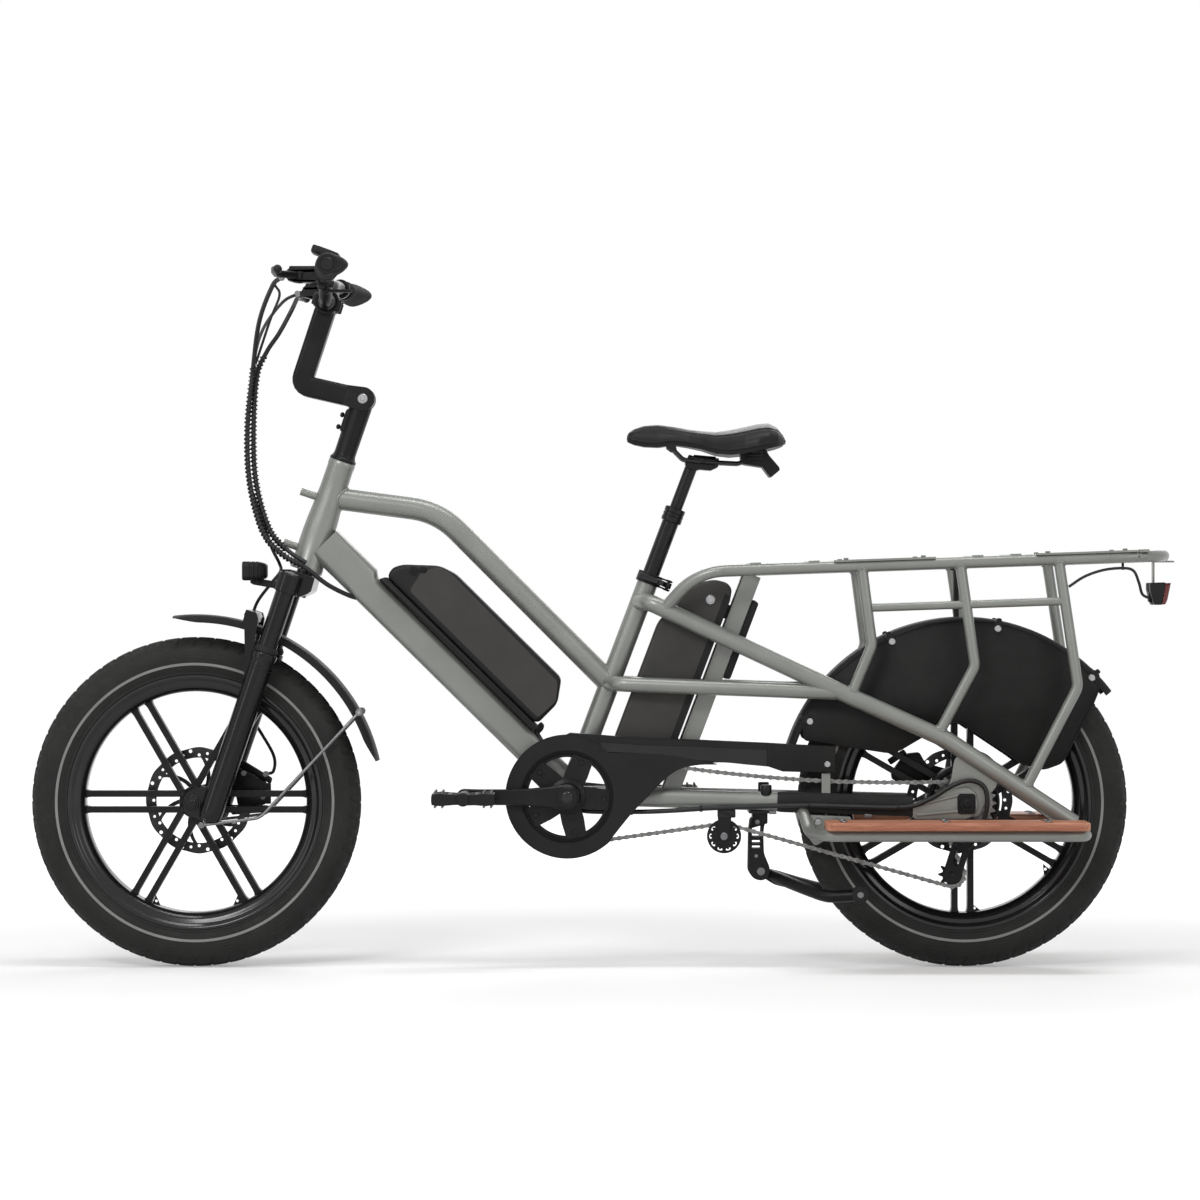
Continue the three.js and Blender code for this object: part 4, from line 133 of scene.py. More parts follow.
def bent(points, bend, steps=10):
    """A line with its corners rounded."""
    line = [Vector(p) for p in points]
    stations = [line[0]]
    for before, corner, after in zip(line, line[1:], line[2:]):
        back, ahead = before - corner, after - corner
        turn = math.pi - back.angle(ahead)
        reach = min(bend * math.tan(turn / 2), back.length / 2.05, ahead.length / 2.05)
        start, end = corner + back.normalized() * reach, corner + ahead.normalized() * reach
        for k in range(steps + 1):
            t = k / steps
            stations.append(start * (1 - t) ** 2 + corner * 2 * t * (1 - t) + end * t**2)
    stations.append(line[-1])
    return stations


def smooth_route(points, per_span=8):
    """A smooth curve through a route's points."""
    line = [Vector(p) for p in points]
    ends = [line[0] * 2 - line[1], *line, line[-1] * 2 - line[-2]]
    curve = []
    for a, b, c, d in zip(ends, ends[1:], ends[2:], ends[3:]):
        for k in range(per_span):
            t = k / per_span
            curve.append(
                (b * 2 + (c - a) * t + (a * 2 - b * 5 + c * 4 - d) * t**2
                 + (b * 3 - a - c * 3 + d) * t**3) / 2
            )
    curve.append(line[-1])
    return curve


def skin(rings, closed=False, caps=True):
    """Faces between rings of equally many corners."""
    count = len(rings[0])
    corners = [tuple(p) for ring in rings for p in ring]
    faces = []
    last = len(rings) if closed else len(rings) - 1
    for i in range(last):
        j = (i + 1) % len(rings)
        for k in range(count):
            m = (k + 1) % count
            faces.append((i * count + k, i * count + m, j * count + m, j * count + k))
    if caps and not closed:
        faces.append(tuple(range(count))[::-1])
        faces.append(tuple((len(rings) - 1) * count + k for k in range(count)))
    return corners, faces


def sweep(stations, section, side=None, scale=None, closed=False):
    """A section carried along stations, square to a side direction or without twist."""
    stations = [Vector(p) for p in stations]
    rings, normal = [], None
    count = len(stations)
    for i, station in enumerate(stations):
        before = stations[(i - 1) % count] if closed else stations[max(i - 1, 0)]
        after = stations[(i + 1) % count] if closed else stations[min(i + 1, count - 1)]
        tangent = ((station - before).normalized() + (after - station).normalized()).normalized()
        guide = side or normal or tangent.orthogonal()
        normal = (guide - tangent * guide.dot(tangent)).normalized()
        other = tangent.cross(normal)
        size = scale(i / (count - 1)) if scale else 1
        rings.append([station + normal * a * size + other * b * size for a, b in section])
    return skin(rings, closed)


def tube(points, radius, bend=0, count=24, side=None, steps=10):
    stations = bent(points, bend, steps) if bend else points
    return sweep(stations, circle(radius, count), side)


def lathe(profile, origin, axis=ACROSS, steps=48, closed=False, wave=None):
    """A profile (radius, height) turned round an axis."""
    axis = Vector(axis).normalized()
    first = axis.orthogonal().normalized()
    if abs(axis.y) > 0.99:
        first = Vector((1, 0, 0))
    second = axis.cross(first)
    rings = []
    for i in range(steps):
        angle = FULL * i / steps
        out = first * math.cos(angle) + second * math.sin(angle)
        rings.append([
            Vector(origin) + axis * h + out * (r + (wave(r, h, angle) if wave else 0))
            for r, h in profile
        ])
    corners, faces = skin(rings, closed=True)
    if not closed:
        n = len(profile)
        faces = [f for f in faces if not (f[0] % n == n - 1)]
    return corners, faces


def drum(radius, low, high, origin, axis=ACROSS, edge=0.6, steps=32):
    """A round piece with its two rims drawn in."""
    return lathe(
        [(0, low), (radius - edge, low), (radius, low + edge), (radius, high - edge),
         (radius - edge, high), (0, high)],
        origin, axis, steps)


def plate(outline, y0, y1):
    """An outline in the side view, thick from one Y to another."""
    return skin([[(x, y0, z) for x, z in outline], [(x, y1, z) for x, z in outline]])


def hexagon(width, low, high, origin, axis=ACROSS):
    return lathe([(0, low), (width / 2, low), (width / 2, high), (0, high)], origin, axis, 6)


def turned_part(part, move=(0, 0, 0), mirror=False):
    corners, faces = part
    flip = -1 if mirror else 1
    corners = [(x + move[0], flip * y + move[1], z + move[2]) for x, y, z in corners]
    return corners, [face[::-1] for face in faces] if mirror else faces


def both(part):
    """The same shape on the near and the far side."""
    return [part, turned_part(part, mirror=True)]


def capsule(a, b, radius, count=24):
    heading = math.degrees(math.atan2(b[1] - a[1], b[0] - a[0]))
    half = count // 2
    ends = []
    for (x, z), start in ((b, heading - 90), (a, heading + 90)):
        ends += [polar(radius, start + 180 * i / (half - 1), x, z) for i in range(half)]
    return ends


# Surfaces: every look is made of nodes and measured in metres on the piece itself


def add_node(tree, kind, inputs=None, **settings):
    node = tree.nodes.new(kind)
    for key, value in settings.items():
        setattr(node, key, value)
    for key, value in (inputs or {}).items():
        if isinstance(value, bpy.types.NodeSocket):
            tree.links.new(value, node.inputs[key])
        else:
            node.inputs[key].default_value = value
    return node


def ramp(tree, factor, stops):
    """Colours or greys spread over a factor."""
    node = add_node(tree, "ShaderNodeValToRGB", {"Fac": factor})
    elements = node.color_ramp.elements
    while len(elements) < len(stops):
        elements.new(0.5)
    for element, (place, color) in zip(elements, stops):
        element.position = place
        element.color = (*color, 1) if isinstance(color, tuple) else (color, color, color, 1)
    return node.outputs["Color"]


def noise_of(tree, coords, scale, detail=3, roughness=0.5):
    return add_node(
        tree, "ShaderNodeTexNoise",
        {"Vector": coords, "Scale": scale, "Detail": detail, "Roughness": roughness}).outputs["Fac"]


def stretched(tree, coords, scale):
    return add_node(tree, "ShaderNodeMapping", {"Vector": coords, "Scale": scale}).outputs["Vector"]


def mixed(tree, factor, a, b):
    node = add_node(tree, "ShaderNodeMix", data_type="RGBA")
    for index, value in ((0, factor), (6, a), (7, b)):
        if isinstance(value, bpy.types.NodeSocket):
            tree.links.new(value, node.inputs[index])
        elif index:
            node.inputs[index].default_value = (*value, 1)
        else:
            node.inputs[index].default_value = value
    return node.outputs[2]


def bumped(tree, height, distance, strength=1.0, normal=None):
    inputs = {"Height": height, "Distance": distance, "Strength": strength}
    if normal:
        inputs["Normal"] = normal
    return add_node(tree, "ShaderNodeBump", inputs).outputs["Normal"]


def look(name, shades, gloss, metallic=0.0, patch=14, grain=900, relief=0.00004, worn=None, **sockets):
    """A surface whose colour drifts between two shades, with a fine grain and lighter worn edges."""
    material = bpy.data.materials.new(name)
    material.use_nodes = True
    tree = material.node_tree
    shader = tree.nodes["Principled BSDF"]
    coords = add_node(tree, "ShaderNodeTexCoord").outputs["Object"]
    drift = noise_of(tree, coords, patch, 4, 0.6)
    fine = noise_of(tree, coords, grain, 2, 0.6)
    color = ramp(tree, drift, [(0.3, shades[0]), (0.7, shades[1])])
    if worn:
        ridge = add_node(tree, "ShaderNodeNewGeometry").outputs["Pointiness"]
        edge = ramp(tree, ridge, [(0.52, 0.0), (0.62, 1.0)])
        broken = add_node(
            tree, "ShaderNodeMath", {0: edge, 1: noise_of(tree, coords, 120, 4)}, operation="MULTIPLY")
        color = mixed(tree, broken.outputs[0], color, worn)
        tree.links.new(color, shader.inputs["Base Color"])
    else:
        tree.links.new(color, shader.inputs["Base Color"])
    rough = ramp(tree, noise_of(tree, coords, patch * 3, 4, 0.7), [(0.3, gloss[0]), (0.7, gloss[1])])
    tree.links.new(rough, shader.inputs["Roughness"])
    tree.links.new(bumped(tree, fine, relief), shader.inputs["Normal"])
    shader.inputs["Metallic"].default_value = metallic
    for key, value in sockets.items():
        shader.inputs[key.replace("_", " ")].default_value = value
    return material


def parts_of(material):
    tree = material.node_tree
    shader = tree.nodes["Principled BSDF"]
    coords = next(n for n in tree.nodes if n.type == "TEX_COORD").outputs["Object"]
    return tree, shader, coords


def relink(material, key, socket):
    tree, shader, _ = parts_of(material)
    for link in list(shader.inputs[key].links):
        tree.links.remove(link)
    tree.links.new(socket, shader.inputs[key])


def wooden(material):
    """Long growth rings with fine pores, stretched along the board."""
    tree, _, coords = parts_of(material)
    long = stretched(tree, coords, (3, 55, 40))
    rings = add_node(
        tree, "ShaderNodeTexWave",
        {"Vector": stretched(tree, coords, (0.6, 9, 4)), "Scale": 4, "Distortion": 9, "Detail": 3,
         "Detail Scale": 1.6},
        wave_type="RINGS").outputs["Fac"]
    fibre = noise_of(tree, long, 9, 6, 0.7)
    base = ramp(tree, rings,
                [(0.1, (0.36, 0.135, 0.075)), (0.55, (0.46, 0.195, 0.112)), (0.95, (0.55, 0.26, 0.155))])
    pores = ramp(tree, fibre, [(0.35, (0.45, 0.22, 0.13)), (0.55, (1, 1, 1))])
    node = add_node(tree, "ShaderNodeMix", data_type="RGBA", blend_type="MULTIPLY")
    node.inputs[0].default_value = 0.6
    tree.links.new(base, node.inputs[6])
    tree.links.new(pores, node.inputs[7])
    relink(material, "Base Color", node.outputs[2])
    relink(material, "Normal", bumped(tree, fibre, 0.0002))


def leathery(material):
    """Pebbled grain of a covered saddle."""
    tree, _, coords = parts_of(material)
    cells = add_node(
        tree, "ShaderNodeTexVoronoi", {"Vector": coords, "Scale": 620, "Smoothness": 0.6},
        feature="SMOOTH_F1").outputs["Distance"]
    creases = noise_of(tree, coords, 90, 5, 0.65)
    first = bumped(tree, cells, 0.00022)
    relink(material, "Normal", bumped(tree, creases, 0.0003, 0.6, first))


def brushed(material, scale=(8, 900, 8)):
    """Fine lines of a turned or brushed metal."""
    tree, _, coords = parts_of(material)
    lines = noise_of(tree, stretched(tree, coords, scale), 3, 4, 0.7)
    relink(material, "Normal", bumped(tree, lines, 0.00003))


def lens_like(material, count=260):
    """Square facets behind the face of a lamp."""
    tree, _, coords = parts_of(material)
    cells = add_node(
        tree, "ShaderNodeTexVoronoi", {"Vector": coords, "Scale": count, "Randomness": 0.0},
        feature="F1", distance="CHEBYCHEV").outputs["Distance"]
    relink(material, "Normal", bumped(tree, cells, 0.0006))


PAINT_SHADES = ((0.190, 0.197, 0.182), (0.218, 0.226, 0.209))
LOOKS = {
    "paint": (look("frame_paint", PAINT_SHADES, (0.32, 0.40), 0.3, grain=1600, relief=0.00001,
                   Coat_Weight=0.25, Coat_Roughness=0.25), "frame_paint"),
    "plastic": (look("black_plastic", ((0.007, 0.007, 0.007), (0.011, 0.011, 0.011)), (0.42, 0.55),
                     grain=1400, relief=0.00006, Specular_IOR_Level=0.18), "black_plastic"),
    "guard": (look("moulded_guard", ((0.007, 0.007, 0.007), (0.011, 0.011, 0.0105)), (0.5, 0.62),
                   grain=1900, relief=0.00009, Specular_IOR_Level=0.16), "black_plastic"),
    "metal": (look("black_metal", ((0.006, 0.006, 0.0065), (0.010, 0.010, 0.0105)), (0.32, 0.42), 0.35,
                   grain=1500, relief=0.00003, worn=(0.03, 0.03, 0.03), Specular_IOR_Level=0.2),
              "black_metal"),
    "gloss": (look("black_gloss", ((0.006, 0.006, 0.007), (0.010, 0.010, 0.011)), (0.16, 0.24), 0.2,
                   grain=600, relief=0.00001, Coat_Weight=0.25, Coat_Roughness=0.12,
                   Specular_IOR_Level=0.3), "black_metal"),
    "polish": (look("black_polish", ((0.006, 0.006, 0.006), (0.010, 0.010, 0.010)), (0.16, 0.22), 0.3,
                    grain=600, relief=0.00001, Specular_IOR_Level=0.3), "black_metal"),
    "casing": (look("battery_casing", ((0.026, 0.025, 0.0235), (0.036, 0.034, 0.032)), (0.48, 0.6),
                    grain=2200, relief=0.00012, Specular_IOR_Level=0.3), "battery_casing"),
    "grip": (look("grip_rubber", ((0.009, 0.009, 0.009), (0.015, 0.015, 0.015)), (0.7, 0.85), grain=1200,
                  relief=0.0001, Specular_IOR_Level=0.25), "grip_rubber"),
    "tyre": (look("tyre_rubber", ((0.010, 0.010, 0.0095), (0.018, 0.018, 0.017)), (0.66, 0.82), patch=9,
                  grain=1100, relief=0.00012, worn=(0.06, 0.058, 0.056), Specular_IOR_Level=0.25),
             "tyre_rubber"),
    "stripe": (look("tyre_stripe", ((0.16, 0.16, 0.155), (0.22, 0.22, 0.215)), (0.45, 0.6), grain=900,
                    relief=0.00005), "tyre_rubber"),
    "steel": (look("bare_steel", ((0.30, 0.30, 0.31), (0.42, 0.42, 0.43)), (0.22, 0.36), 0.95, patch=40,
                   grain=1400, relief=0.00002), "bare_steel"),
    "chain": (look("chain_steel", ((0.09, 0.088, 0.085), (0.26, 0.256, 0.25)), (0.26, 0.38), 0.9, patch=160,
                   grain=2000, relief=0.00002), "bare_steel"),
    "dark_disc": (look("dark_disc", ((0.02, 0.02, 0.021), (0.04, 0.04, 0.041)), (0.25, 0.38), 0.85,
                       patch=60,
                       grain=1500, relief=0.00002), "bare_steel"),
    "dull_steel": (look("dull_steel", ((0.13, 0.13, 0.135), (0.20, 0.20, 0.205)), (0.36, 0.5), 0.85,
                        patch=50,
                        grain=1500, relief=0.00003), "bare_steel"),
    "wood": (look("board_wood", ((0.4, 0.16, 0.09), (0.6, 0.28, 0.16)), (0.42, 0.58)), "board_wood"),
    "leather": (look("saddle_leather", ((0.005, 0.005, 0.005), (0.008, 0.008, 0.008)), (0.36, 0.46),
                     patch=25,
                     Specular_IOR_Level=0.18),
                "saddle_leather"),
    "thread": (look("saddle_thread", ((0.010, 0.010, 0.010), (0.016, 0.016, 0.016)), (0.6, 0.8), patch=200),
               "saddle_leather"),
    "lamp": (look("red_lamp", ((0.12, 0.006, 0.006), (0.20, 0.010, 0.009)), (0.12, 0.2), patch=30,
                  Transmission_Weight=0.35, IOR=1.49), "red_lamp"),
    "clear": (look("clear_lens", ((0.55, 0.56, 0.58), (0.75, 0.76, 0.78)), (0.06, 0.12), patch=30,
                   Transmission_Weight=0.6, IOR=1.49), "black_plastic"),
    "screen": (look("dark_screen", ((0.006, 0.007, 0.008), (0.010, 0.011, 0.012)), (0.06, 0.1), grain=300,
                    relief=0.000005, Coat_Weight=0.6, Coat_Roughness=0.05), "black_plastic"),
    "housing": (look("cable_housing", ((0.008, 0.008, 0.008), (0.013, 0.013, 0.013)), (0.4, 0.5), patch=60,
                     Specular_IOR_Level=0.3),
                "black_plastic"),
}
wooden(LOOKS["wood"][0])
leathery(LOOKS["leather"][0])
brushed(LOOKS["steel"][0])
lens_like(LOOKS["lamp"][0])
lens_like(LOOKS["clear"][0], 180)


def make(name, parts, surface, body, angle=38, bevel=0.0, replaced=()):
    """One piece of the given shapes, riding on a body."""
    mesh = bpy.data.meshes.new(name)
    bm = bmesh.new()
    for corners, faces in parts:
        made = [bm.verts.new(row(p)) for p in corners]
        for face in faces:
            bm.faces.new([made[i] for i in face])
        bmesh.ops.remove_doubles(bm, verts=made, dist=1e-6)
    return placed_piece(name, mesh, bm, surface, body, angle, bevel, replaced)


def placed_piece(name, mesh, bm, surface, body, angle, bevel, replaced):
    bmesh.ops.recalc_face_normals(bm, faces=bm.faces)
    for face in bm.faces:
        face.smooth = True
    for edge in bm.edges:
        edge.smooth = edge.calc_face_angle(0) < math.radians(angle)
    bm.to_mesh(mesh)
    bm.free()
    piece = bpy.data.objects.new(name, mesh)
    bpy.context.scene.collection.objects.link(piece)
    material, slot = LOOKS[surface]
    mesh.materials.append(material)
    if bevel:
        rim = piece.modifiers.new("rim", "BEVEL")
        rim.width = bevel * MM
        rim.segments = 2
        rim.limit_method = "ANGLE"
        rim.angle_limit = math.radians(angle)
        piece.modifiers.new("shading", "WEIGHTED_NORMAL").keep_sharp = True
    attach(piece, body)
    if replaced:
        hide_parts(*replaced)
    return piece


def dress(node, surface, bevel=0.5, angle=30, name=None):
    """A solid's own shape with its facets merged and its edges softened."""
    name = name or node + "_skin"
    mesh = bpy.data.meshes.new(name)
    bm = bmesh.new()
    bm.from_mesh(nodes[node].data)
    bmesh.ops.remove_doubles(bm, verts=bm.verts, dist=2e-6)
    bmesh.ops.dissolve_limit(bm, angle_limit=math.radians(1), verts=bm.verts, edges=bm.edges)
    return placed_piece(name, mesh, bm, surface, body_of_node[node], angle, bevel, [node])


# Main frame: round tubes, welds along their joints and the small fittings on them

HEAD_TOP = 193
TOP_TUBE = {"radius": 19, "head_w": 130, "corner": (-278.5, 0, 762), "bend": 135, "seat_w": 200}
DOWN_TUBE = {"u": 10, "width": 56, "depth": 52, "corner": 13, "length": 586, "deep_from": 488,
             "deep_rise": 8}
SEAT_TUBE = {"radius": 17.45, "top": 391}
STAY = {"start": (-45, 30, 285), "knee": (40, 36, 285), "end": (512, 74, 272), "depth": 31, "width": 17}
RAIL = {"radius": 14.3, "lower": 12.7, "seat_w": 346, "lower_w": 200, "tuck": 12, "front_y": 50, "y": 82}
RAIL_PLACES = ((384, 465), (568, 382), (779, 243.6))
RACK = {"radius": 9.5, "y": 90, "corner_x": 156, "front_z": 661, "end_x": 946, "end_z": 688, "bend": 110}
STRUT = {"radius": 9, "top_x": 426, "top_pitch": 163, "knee_x": 443, "knee_pitch": 170.5, "foot_x": 408,
         "foot_pitch": 144, "drop": 131, "drop_pitch": 40}
FOOT_BAR = {"radius": 10, "z": 227.3, "y": 165, "front_x": 372, "rear_x": 792}


def rack_height(x):
    share = (x - RACK["corner_x"]) / (RACK["end_x"] - RACK["corner_x"])
    return RACK["front_z"] + (RACK["end_z"] - RACK["front_z"]) * share


def rail_height(x):
    (x0, z0), (x1, z1) = RAIL_PLACES[:2] if x < RAIL_PLACES[1][0] else RAIL_PLACES[1:]
    return z0 + (z1 - z0) * (x - x0) / (x1 - x0)


def weld(end, toward, radius, other, other_axis, other_radius, bead=1.9, count=40):
    """The bead where a round tube meets the side of another: end lies inside the other tube."""
    end, toward = Vector(end), (Vector(toward) - Vector(end)).normalized()
    other, other_axis = Vector(other), Vector(other_axis).normalized()
    first = toward.orthogonal().normalized()
    second = toward.cross(first)
    line = []
    for i in range(count):
        angle = FULL * i / count
        start = end + (first * math.cos(angle) + second * math.sin(angle)) * radius
        gap = start - other
        flat = toward - other_axis * toward.dot(other_axis)
        side = gap - other_axis * gap.dot(other_axis)
        a, b, c = flat.dot(flat), 2 * flat.dot(side), side.dot(side) - other_radius**2
        inside = b * b - 4 * a * c
        if inside < 0 or a < 1e-6:
            return None
        line.append(start + toward * ((-b + math.sqrt(inside)) / (2 * a)))
    ripple = [
        p + (p - (line[i - 1] + line[(i + 1) % count]) / 2) * 0.4 for i, p in enumerate(line)
    ]
    return sweep(ripple, circle(bead, 8), None, closed=True)


def frame_tubes():
    """The top tube, two short stubs on the head tube, the down tube, and the seat, head and bottom bracket
    shells, each as corners and faces.
    """
    head, low = on_steering(0, TOP_TUBE["head_w"]), on_seat(0, TOP_TUBE["seat_w"])
    tubes = [tube([head, TOP_TUBE["corner"], low], TOP_TUBE["radius"], TOP_TUBE["bend"], 32, ACROSS)]
    tubes += [tube([on_steering(0, w), on_steering(-50, w)], 6.5, count=16) for w in (34, 124)]
    tubes.append(down_tube())
    radius, top = SEAT_TUBE["radius"], SEAT_TUBE["top"] - 1
    tubes.append(lathe([(0.01, 0), (radius, 0), (radius, top - 0.8), (radius - 0.8, top), (14.8, top),
                        (14.8, 40), (0.01, 40)],
                       on_seat(0, 0), SEAT_AXIS, 40, closed=True))
    tubes.append(lathe([(15, 0), (27, 0), (27.8, 1), (27.8, 9), (27, 11), (27, 66), (26.2, 88), (24, 120),
                        (22.6, 144),
                        (22.2, HEAD_TOP - 10), (22.8, HEAD_TOP - 8), (22.8, HEAD_TOP - 1), (22.2, HEAD_TOP),
                        (15, HEAD_TOP)],
                       on_steering(0, 0), STEER_AXIS, 48, closed=True))
    tubes.append(lathe([(0, -36.5), (21.4, -36.5), (22, -35.8), (22, 35.8), (21.4, 36.5), (0, 36.5)],
                       (CRANK_X, 0, CRANK_Z), ACROSS, 40))
    return tubes


def down_tube():
    """The square down tube, deeper above its last stretch before the head tube."""
    low = DOWN_TUBE["u"] - DOWN_TUBE["depth"] / 2
    deep, start = DOWN_TUBE["deep_rise"], DOWN_TUBE["deep_from"]
    rings = []
    for w, rise in ((0, 0), (start - 6, 0), (start - 3, 0.2 * deep), (start + 3, 0.8 * deep),
                    (start + 6, deep),
                    (DOWN_TUBE["length"], deep)):
        depth = DOWN_TUBE["depth"] + rise
        rings.append([on_down(low + depth / 2 + b, w, a)
                      for a, b in rounded(DOWN_TUBE["width"], depth, DOWN_TUBE["corner"])])
    return skin(rings)


def rear_tubes(side):
    """Rails, stays, struts and the foot bar of one side."""
    def at(x, y, z):
        return (x, side * y, z)

    rail_x, _, rail_z = on_seat(0, RAIL["seat_w"])
    low_x, _, low_z = on_seat(0, RAIL["lower_w"])
    (join_x, join_z), (mid_x, mid_z), (end_x, end_z) = RAIL_PLACES
    lean = Vector((0.3, 1, 0))
    tubes = [
        tube([at(rail_x, RAIL["tuck"], rail_z), at(rail_x + 14, RAIL["front_y"], rail_z),
              at(join_x, RAIL["y"], join_z), at(mid_x, RAIL["y"], mid_z), at(end_x, RAIL["y"], end_z)],
             RAIL["radius"], 26, 28, lean),
        tube([at(low_x, RAIL["tuck"], low_z), at(low_x + 14, RAIL["front_y"], low_z),
              at(join_x, RAIL["y"], join_z - 4)], RAIL["lower"], 26, 28, lean),
        sweep(bent([at(*STAY["start"]), at(*STAY["knee"]), at(*STAY["end"])], STAY["depth"]),
              [(a * STAY["width"] / STAY["depth"], b) for a, b in circle(STAY["depth"] / 2, 28)], ACROSS),
        tube([at(STRUT["knee_x"], RACK["y"], 601), at(764, RACK["y"], 612.1)],
             6.7, count=20, side=ACROSS),
        tube([at(330, 62, 264), at(340, 92, FOOT_BAR["z"]),
              at(FOOT_BAR["front_x"], FOOT_BAR["y"], FOOT_BAR["z"]),
              at(FOOT_BAR["rear_x"], FOOT_BAR["y"], FOOT_BAR["z"]),
              at(FOOT_BAR["rear_x"], RAIL["y"], FOOT_BAR["z"])],
             FOOT_BAR["radius"] * 0.97, 34, 24, UP),
        tube([at(FOOT_BAR["rear_x"], RAIL["y"], FOOT_BAR["z"]), at(end_x, RAIL["y"], end_z)],
             FOOT_BAR["radius"] * 0.97,
             count=24, side=ACROSS),
    ]
    for i in range(3):
        top = at(STRUT["top_x"] + i * STRUT["top_pitch"], RACK["y"], 0)
        top = (top[0], top[1], rack_height(top[0]))
        knee = at(STRUT["knee_x"] + i * STRUT["knee_pitch"], RACK["y"],
                  top[2] - STRUT["drop"] - i * STRUT["drop_pitch"])
        foot_x = STRUT["foot_x"] + i * STRUT["foot_pitch"]
        foot = at(foot_x, RAIL["y"], rail_height(foot_x))
        tubes.append(tube([top, knee, foot], STRUT["radius"], STRUT["radius"] * 3, 22, ACROSS))
        rail_axis = (end_x - mid_x, 0, end_z - mid_z) if foot_x > mid_x else (mid_x - join_x, 0,
                                                                              mid_z - join_z)
        tubes.append(weld(foot, knee, STRUT["radius"], foot, rail_axis, RAIL["radius"]))
        tubes.append(weld(top, knee, STRUT["radius"], top, (790, 0, 27), RACK["radius"]))
    for x in (380, 714):
        outline = rounded(168, 19, 3, 3)
        z = rack_height(x + 84) + RACK["radius"]
        slope = (RACK["end_z"] - RACK["front_z"]) / (RACK["end_x"] - RACK["corner_x"])
        rings = [[(x + 84 + a, side * RACK["y"] + b, z + a * slope + h) for a, b in outline]
                 for h in (-1.75, 1.75)]
        tubes.append(skin(rings))
        for along in (20, 148):
            tubes.append(drum(4.2, 0, 3.2, (x + along, side * RACK["y"], z + (along - 84) * slope + 1.75),
                              UP, 0.8, 20))
    for x in (250, 347, 618, 681, 893):
        top = rack_height(x) + RACK["radius"]
        pad = [(x + a, side * RACK["y"] + b) for a, b in rounded(18, 13, 3, 3)]
        tubes.append(skin([[(a, b, top + h + (a - x) * 27 / 790) for a, b in pad]
                           for h in (-2.5, 1.6, 2.2)]))
    for x in (196, 834, 889):
        tubes.append(drum(3.2, RACK["radius"] - 1, RACK["radius"] + 0.7,
                          (x, side * RACK["y"], rack_height(x)),
                          (0, side, 0), 0.5, 18))
    return [t for t in tubes if t]


def frame_welds():
    """Beads round the ends of the main tubes."""
    head_axis, seat_axis = STEER_AXIS, SEAT_AXIS
    low = on_seat(0, TOP_TUBE["seat_w"])
    beads = [
        weld(on_steering(0, TOP_TUBE["head_w"]), TOP_TUBE["corner"], TOP_TUBE["radius"], on_steering(0, 0),
             head_axis, 23.2, 2.2),
        weld(low, TOP_TUBE["corner"], TOP_TUBE["radius"] * 0.9, low, seat_axis, SEAT_TUBE["radius"], 2.2),
        weld((CRANK_X, 0, CRANK_Z), on_seat(0, 300), SEAT_TUBE["radius"], (CRANK_X, 0, CRANK_Z), ACROSS, 22,
             2),
    ]
    for w in (34, 124):
        beads.append(weld(on_steering(0, w), on_steering(-50, w), 6.5, on_steering(0, 0), head_axis, 23.2,
                          1.4))
    return [b for b in beads if b]


def rack_loop():
    rail_x, _, rail_z = on_seat(0, RAIL["seat_w"])
    start_z = rail_z + (RAIL_PLACES[0][1] - rail_z) * (96 - rail_x) / (RAIL_PLACES[0][0] - rail_x)
    near = [(96, -54, start_z), (RACK["corner_x"], -RACK["y"], RACK["front_z"]),
            (RACK["end_x"] - RACK["radius"], -RACK["y"], RACK["end_z"])]
    far = [(x, -y, z) for x, y, z in reversed(near)]
    parts = [tube(near + far, RACK["radius"], RACK["bend"], 24, UP)]
    for i in range(4):
        x = 250 + 170 * i
        parts.append(tube([(x, -RACK["y"], rack_height(x)), (x, RACK["y"], rack_height(x))], 8, count=20,
                          side=UP))
        for side in SIDES:
            parts.append(weld((x, side * RACK["y"], rack_height(x)), (x, 0, rack_height(x)), 8,
                              (x, side * RACK["y"], rack_height(x)), (790, 0, 27), RACK["radius"], 1.5))
    return [p for p in parts if p]


DROPOUT_SHARES = (
    (-1, -0.275), (-1, -0.09), (-0.3, 0.3), (-0.2, 0.9), (0.2, 0.9), (0.63, 0.4), (0.35, 0.06), (0.3, -0.1),
    (0.22, -0.24), (-0.11, -0.29))


def softened(outline, share=0.25, steps=4):
    """An outline whose corners are cut to short curves."""
    line = []
    count = len(outline)
    for i, (x, z) in enumerate(outline):
        x0, z0 = outline[i - 1]
        x1, z1 = outline[(i + 1) % count]
        for k in range(steps + 1):
            t = k / steps
            a, b, c = (1 - t) ** 2, 2 * t * (1 - t), t**2
            line.append((
                a * (x + (x0 - x) * share) + b * x + c * (x + (x1 - x) * share),
                a * (z + (z0 - z) * share) + b * z + c * (z + (z1 - z) * share)))
    return line


